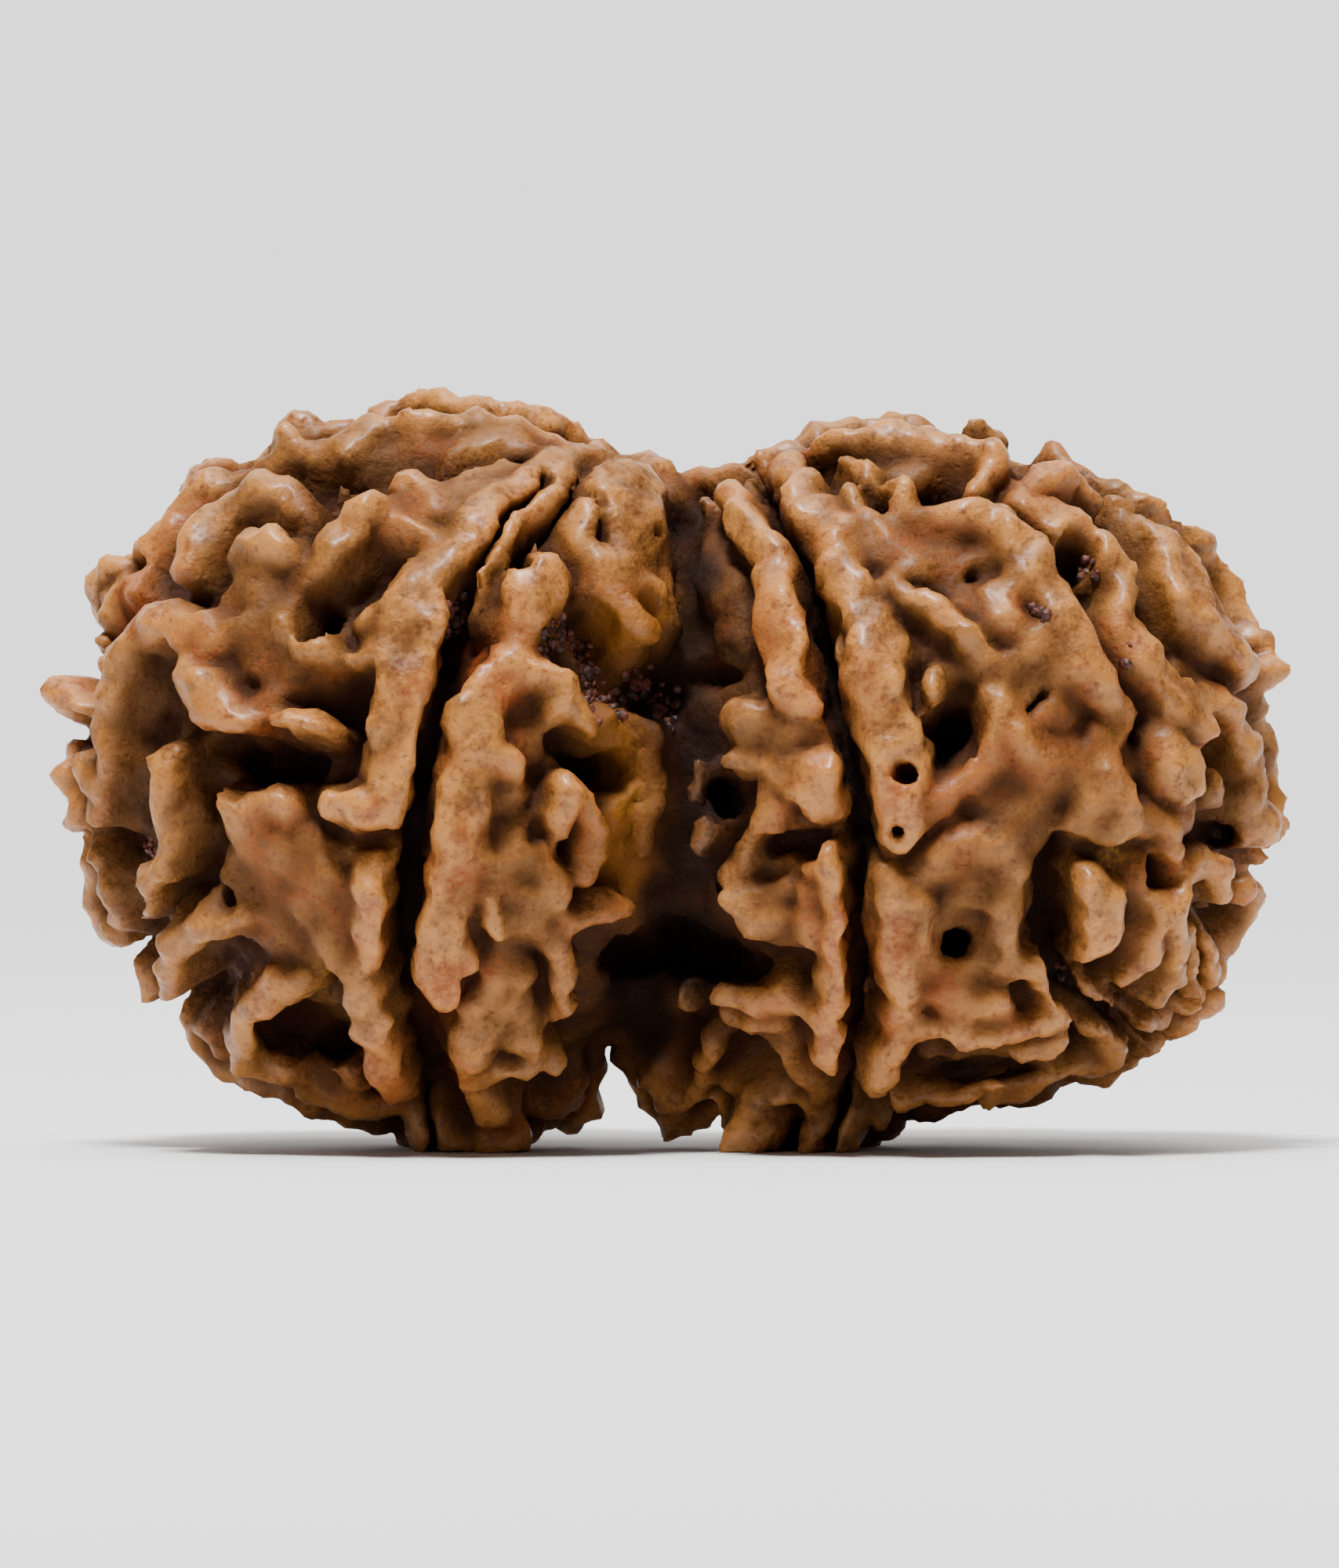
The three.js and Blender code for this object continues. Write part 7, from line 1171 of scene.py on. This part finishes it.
def skin_tree():
    sizes = {"Lump size": (FLOAT, 0.0006), "Lump height": (FLOAT, 0.0001), "Grain size": (FLOAT, 0.0002),
             "Grain height": (FLOAT, 0.00003), "Material": ("NodeSocketMaterial", None)}
    tree, given = new_nodes("skin relief", sizes)
    position = tree.node("GeometryNodeInputPosition").outputs[0]

    def waves(size, height, detail):
        turns = tree.number("ShaderNodeMath", {"operation": "DIVIDE"}, {0: 1.0, 1: given[size]})
        inputs = {"Vector": position, "Scale": turns, "Detail": detail, "Roughness": 0.55}
        noise = tree.number("ShaderNodeTexNoise", None, inputs)
        return (noise - 0.5) * Number(tree, given[height])

    rise = waves("Lump size", "Lump height", 1.0) + waves("Grain size", "Grain height", 2.0)
    normal = tree.node("GeometryNodeInputNormal").outputs[0]
    offset = tree.node("ShaderNodeVectorMath", {"operation": "SCALE"}, {0: normal, "Scale": rise})
    moved = tree.node("GeometryNodeSetPosition", None, {
        "Geometry": given["Geometry"], "Offset": offset.outputs[0],
    })
    smooth = tree.node("GeometryNodeSetShadeSmooth", None, {"Geometry": moved.outputs[0]})
    close_nodes(tree, smooth.outputs[0], given["Material"])
    return tree


def new_material(name):
    material = bpy.data.materials.new(name)
    material.use_nodes = True
    material.node_tree.nodes.clear()
    return material, Tree(material.node_tree)


seed_material, seed_nodes = new_material("oiled_seed_shell")
run_nodes(seed, skin_tree(), {
    "Lump size": 0.8 * MM,
    "Lump height": 0.62 * MM,
    "Grain size": 0.34 * MM,
    "Grain height": 0.2 * MM,
    "Material": seed_material,
})
# nothing is pushed below the cut, so the feet stay flat
resting = mesh_corners(seed.data)
resting[:, 2] = np.maximum(resting[:, 2], REST_CUT)
seed.data.vertices.foreach_set("co", ((resting - [*MIDDLE, REST_CUT]) * MM).ravel())
seed.data.shade_smooth()
print("corners after the relief:", len(seed.data.vertices))

# %% [markdown]
# ## Crumbs of dried pulp
# The fruit's blue pulp dries dark in the deepest clefts and never quite comes out. Real crumbs are a few
# tenths of a millimetre and glint like resin. They are scattered on the faces that lie in a few named
# places, as small balls that a second tree turns and dents.

# %% Scatter the crumbs
CRUMB_PLACES = [
    [-3.1, 14.9, 0.4], [-2.7, 14.5, 0.4], [-2.3, 14.0, 0.35], [-2.0, 13.3, 0.35], [-1.6, 12.9, 0.35],
    [-0.7, 13.4, 0.45], [-0.2, 13.0, 0.45], [-5.9, 15.4, 0.3], [11.6, 16.8, 0.2], [12.7, 14.5, 0.18],
    [10.3, 15.7, 0.2], [6.2, 10.7, 0.15], [11.0, 5.6, 0.2], [-14.4, 8.9, 0.2],
]
# how thickly crumbs may lie, and how finely and how deep each is dented
CRUMBS_PER_SQUARE_METRE = 9.0e7
DENTS_PER_METRE = 9000.0
DENT = 0.16 * MM
FULL_TURN = 6.28


def crumb_tree():
    sizes = {"Gap": (FLOAT, 0.00015), "Smallest": (FLOAT, 0.00005), "Largest": (FLOAT, 0.0001),
             "Seed": ("NodeSocketInt", 3), "Material": ("NodeSocketMaterial", None)}
    tree, given = new_nodes("crumbs", sizes)
    where = tree.node("GeometryNodeInputNamedAttribute", {"data_type": "FLOAT"}, {"Name": "pulp"})
    spread = tree.node("GeometryNodeDistributePointsOnFaces", {"distribute_method": "POISSON"}, {
        "Mesh": given["Geometry"], "Distance Min": given["Gap"], "Seed": given["Seed"],
        "Density Max": CRUMBS_PER_SQUARE_METRE, "Density Factor": where.outputs[0],
    })
    ball = tree.node("GeometryNodeMeshIcoSphere", None, {"Radius": 1.0, "Subdivisions": 2})
    size = tree.node("FunctionNodeRandomValue", {"data_type": "FLOAT"}, {
        "Min": given["Smallest"], "Max": given["Largest"], "Seed": given["Seed"],
    })
    turn = tree.node("FunctionNodeRandomValue", {"data_type": "FLOAT_VECTOR"}, {
        "Max": (FULL_TURN, FULL_TURN, FULL_TURN), "Seed": given["Seed"],
    })
    crumbs = tree.node("GeometryNodeInstanceOnPoints", None, {
        "Points": spread.outputs["Points"], "Instance": ball.outputs[0],
        "Rotation": turn.outputs[0], "Scale": size.outputs[1],
    })
    real = tree.node("GeometryNodeRealizeInstances", None, {"Geometry": crumbs.outputs[0]})
    position = tree.node("GeometryNodeInputPosition").outputs[0]
    noise = tree.node("ShaderNodeTexNoise", None, {
        "Vector": position, "Scale": DENTS_PER_METRE, "Detail": 1.0,
    })
    push = tree.node("ShaderNodeVectorMath", {"operation": "SUBTRACT"}, {
        0: noise.outputs["Color"], 1: (0.5, 0.5, 0.5),
    })
    dent = tree.node("ShaderNodeVectorMath", {"operation": "SCALE"}, {0: push.outputs[0], "Scale": DENT})
    moved = tree.node("GeometryNodeSetPosition", None, {
        "Geometry": real.outputs[0], "Offset": dent.outputs[0],
    })
    close_nodes(tree, moved.outputs[0], given["Material"])
    return tree


crumb_material, crumb_nodes = new_material("dried_pulp")
crumbs = new_object("pulp_crumbs", seed.data.copy())
in_hollows = np.clip((measured["closed_near"] - 0.34) * 8, 0, 1)
set_attribute(crumbs.data, "pulp", patches(mesh_corners(crumbs.data), CRUMB_PLACES) ** 1.5 * in_hollows)
run_nodes(crumbs, crumb_tree(), {
    "Gap": 0.12 * MM,
    "Smallest": 0.06 * MM,
    "Largest": 0.18 * MM,
    "Seed": 7,
    "Material": crumb_material,
})
print("crumb faces:", len(crumbs.data.polygons))

# %% [markdown]
# ## The finish of the shell
# Years of handling make the crests pale and softly glossy. The slopes are gold-brown and grainy, and
# clefts and holes go to nearly black with painted shade and some dirt. All of it follows the measured crest
# height and closeness, broken up by noise at three scales. Over that lie painted shade on the shaded
# stretches and the underside, painted light on the lit strip of the valley, then red stains and yellow
# patches.

# %% Paint the shell
def attribute(tree, name):
    return tree.number("ShaderNodeAttribute", {"attribute_name": name}, None, "Fac")


def noise_at(tree, size_mm):
    """Noise whose lumps are about that size, from 0 to 1."""
    place = tree.node("ShaderNodeTexCoord").outputs["Object"]
    inputs = {"Vector": place, "Scale": 1000 / size_mm, "Detail": 3.0, "Roughness": 0.6}
    return tree.number("ShaderNodeTexNoise", None, inputs, "Fac")


def paint_shell(tree):
    crest, near, far = (attribute(tree, name) for name in ("crest", "closed_near", "closed_far"))
    fine, middle, broad = noise_at(tree, 0.2), noise_at(tree, 0.6), noise_at(tree, 3.0)
    grain = fine * 0.6 + middle * 0.4 - 0.5
    height = crest + grain * 1.8
    slope = tree.mixed(height.stretched(0.1, 1.9), linear(56, 28, 8), linear(104, 60, 22))
    olive = tree.mixed((broad + grain * 0.9).stretched(0.4, 0.62) * 0.5, slope, linear(98, 66, 26))
    rubbed = (1 - (near + grain * 0.3).stretched(0.3, 0.54)) * height.stretched(0.9, 2.1)
    colour = tree.mixed(rubbed * 0.95, olive, linear(188, 124, 60))
    blush = (1 - broad + grain).stretched(0.5, 0.7) * height.stretched(0.6, 1.8) * 0.5
    pink = tree.mixed(blush, colour, linear(152, 78, 36))
    blotch = (middle + (broad - 0.5) * 0.7).stretched(0.46, 0.66) * 0.45
    blotched = tree.mixed(blotch, pink, linear(84, 42, 13))
    speck = (fine + (middle - 0.5) * 0.5).stretched(0.54, 0.78) * 0.4
    speckled = tree.mixed(speck, blotched, linear(62, 30, 9))
    # painted shade with some dirt: creases closed in near by go dark brown
    crease = (near + grain * 0.25).stretched(0.48, 0.68)
    crease_shaded = tree.mixed(crease * 0.8, speckled, linear(40, 16, 4))
    # painted shade: the listed valley stretches, partly real dirt, and the underside go dark brown
    shaded = attribute(tree, "dark") * 0.95 + attribute(tree, "low") * 0.5
    # painted shade with dirt: what is closed in farther off goes dark brown
    closed = far + (near - 0.5) * 0.4 + grain * 0.3
    dirt_and_shade = tree.mixed(closed.stretched(0.54, 0.82) * 0.85, crease_shaded, linear(46, 17, 1))
    soiled_and_shaded = tree.mixed(shaded * (1 - height.stretched(0.9, 2.2) * 0.5) * 0.95, dirt_and_shade, linear(44, 16, 1))
    # painted light: the lit strip of the valley floor turns gold-brown
    lit_strip_painted = tree.mixed(attribute(tree, "gold") * 0.8, soiled_and_shaded, linear(122, 72, 20))
    # painted shade, partly dirt: the valley stretches go nearly black below the crests
    valley_shade_and_dirt = attribute(tree, "dark").stretched(0.4, 0.9) * (1 - height.stretched(0.9, 2.2)) * 0.8
    valley_shaded = tree.mixed(valley_shade_and_dirt, lit_strip_painted, linear(20, 7, 1))
    # painted shade: the most closed-in clefts and holes go nearly black
    dark = tree.mixed(closed.stretched(0.74, 0.98) * 0.94, valley_shaded, linear(14, 4, 0))
    stained = attribute(tree, "red") * (middle + grain * 0.4).stretched(0.3, 0.6)
    red = tree.mixed(stained * 0.6, dark, linear(136, 56, 16))
    yellowed = attribute(tree, "yellow") * (grain + 0.5).stretched(0.42, 0.62)
    final = tree.mixed(yellowed * 0.5, red, linear(146, 100, 30))

    rough = 0.64 - rubbed * 0.2 + (fine - 0.5) * 0.5 + crease * 0.2 + shaded * 0.2
    place = tree.node("ShaderNodeTexCoord").outputs["Object"]
    pores = tree.number("ShaderNodeTexVoronoi", None, {"Vector": place, "Scale": 1000 / 0.45}, "Distance")
    relief = fine * 0.6 + noise_at(tree, 0.45) * 0.7 + pores.stretched(0.02, 0.22) * 0.3
    bump = tree.node("ShaderNodeBump", None, {"Strength": 0.9, "Distance": 0.1 * MM, "Height": relief})
    shader = tree.node("ShaderNodeBsdfPrincipled", None, {
        "Base Color": final, "Roughness": rough, "Normal": bump.outputs[0], "Specular IOR Level": 0.15,
        "Coat Weight": rubbed * 0.45, "Coat Roughness": 0.3,
    })
    tree.node("ShaderNodeOutputMaterial", None, {"Surface": shader.outputs[0]})


def paint_crumbs(tree):
    colour = tree.mixed(noise_at(tree, 0.3).stretched(0.35, 0.65), linear(34, 10, 4), linear(96, 40, 18))
    rough = 0.4 + noise_at(tree, 0.1) * 0.4
    shader = tree.node("ShaderNodeBsdfPrincipled", None, {
        "Base Color": colour, "Roughness": rough, "Specular IOR Level": 0.5,
    })
    tree.node("ShaderNodeOutputMaterial", None, {"Surface": shader.outputs[0]})


paint_shell(seed_nodes)
paint_crumbs(crumb_nodes)

# %% [markdown]
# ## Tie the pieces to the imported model
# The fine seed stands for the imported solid, and the crumbs are stuck to it.

# %% Ride and replace
for piece in (seed, crumbs):
    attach(piece, "root")
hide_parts("fused_beads")

# %% [markdown]
# ## Stage, lights and camera
# The floor is a white sheet that curves up behind the seed, so no horizon shows. One large soft light
# hangs above and a little in front, a weak one fills from the left, and a third brightens the sheet behind.
# The camera looks at the front through a long lens, from one degree above level.

# %% Lay the sheet
# sizes of the sheet, in metres
HALF_WIDTH, SHEET_FRONT, SHEET_BACK = 1.2, -1.4, 0.25
SHEET_BEND, SHEET_TOP = 0.15, 0.9
BEND_STEPS = 12


def bent_sheet():
    profile = [(SHEET_FRONT, 0.0), (SHEET_BACK, 0.0)]
    for i in range(1, BEND_STEPS + 1):
        angle = math.pi / 2 * i / BEND_STEPS
        profile.append((SHEET_BACK + SHEET_BEND * math.sin(angle), SHEET_BEND * (1 - math.cos(angle))))
    profile.append((SHEET_BACK + SHEET_BEND, SHEET_TOP))
    corners = [(x, y, z) for y, z in profile for x in (-HALF_WIDTH, HALF_WIDTH)]
    faces = [(2 * i, 2 * i + 1, 2 * i + 3, 2 * i + 2) for i in range(len(profile) - 1)]
    mesh = bpy.data.meshes.new("sheet")
    mesh.from_pydata(corners, [], faces)
    mesh.shade_smooth()
    return mesh


sheet = new_object("white_sheet", bent_sheet())
paper, paper_nodes = new_material("white_paper")
shade = paper_nodes.mixed(noise_at(paper_nodes, 40), (0.86, 0.86, 0.86, 1), (0.9, 0.9, 0.9, 1))
paper_shader = paper_nodes.node("ShaderNodeBsdfPrincipled", None, {"Base Color": shade, "Roughness": 0.9})
paper_nodes.node("ShaderNodeOutputMaterial", None, {"Surface": paper_shader.outputs[0]})
sheet.data.materials.append(paper)


# %% Hang the lights and set the camera
def soft_light(name, place, size, power, target=(0, 0, 0.011)):
    lamp = bpy.data.lights.new(name, "AREA")
    lamp.shape, lamp.size, lamp.energy = "DISK", size, power
    made = new_object(name, lamp)
    made.location = place
    made.rotation_euler = (Vector(target) - made.location).to_track_quat("-Z", "Y").to_euler()
    return made


soft_light("key", (-0.05, -0.16, 0.42), 0.1, 3.6)
soft_light("fill", (-0.30, -0.45, 0.15), 0.3, 0.2)
soft_light("backdrop", (0, 0.05, 0.55), 0.5, 3.6, (0, 0.35, 0.1))
world = bpy.data.worlds.new("room")
world.use_nodes = True
world.node_tree.nodes["Background"].inputs["Color"].default_value = (1, 1, 1, 1)
world.node_tree.nodes["Background"].inputs["Strength"].default_value = 0.06
bpy.context.scene.world = world

# the upright photograph is this many pixels high
PHOTO_HEIGHT = 2000
MM_PER_PIXEL = 0.022
FRAME_MIDDLE = np.array([0.03, 10.74])
CAMERA_AWAY = 0.45
CAMERA_RISE = math.radians(1.0)
SENSOR = 36.0

camera_data = bpy.data.cameras.new("camera")
camera_data.sensor_width = SENSOR
camera_data.lens = SENSOR * CAMERA_AWAY / (PHOTO_HEIGHT * MM_PER_PIXEL * MM)
camera_data.clip_start = 0.01
camera = new_object("camera", camera_data)
aim = Vector(((FRAME_MIDDLE[0] - MIDDLE[0]) * MM, 0, (FRAME_MIDDLE[1] - REST_CUT) * MM))
camera.location = aim + Vector((0, -math.cos(CAMERA_RISE), math.sin(CAMERA_RISE))) * CAMERA_AWAY
camera.rotation_euler = (aim - camera.location).to_track_quat("-Z", "Y").to_euler()
bpy.context.scene.camera = camera
print("lens, mm:", round(camera_data.lens, 1))
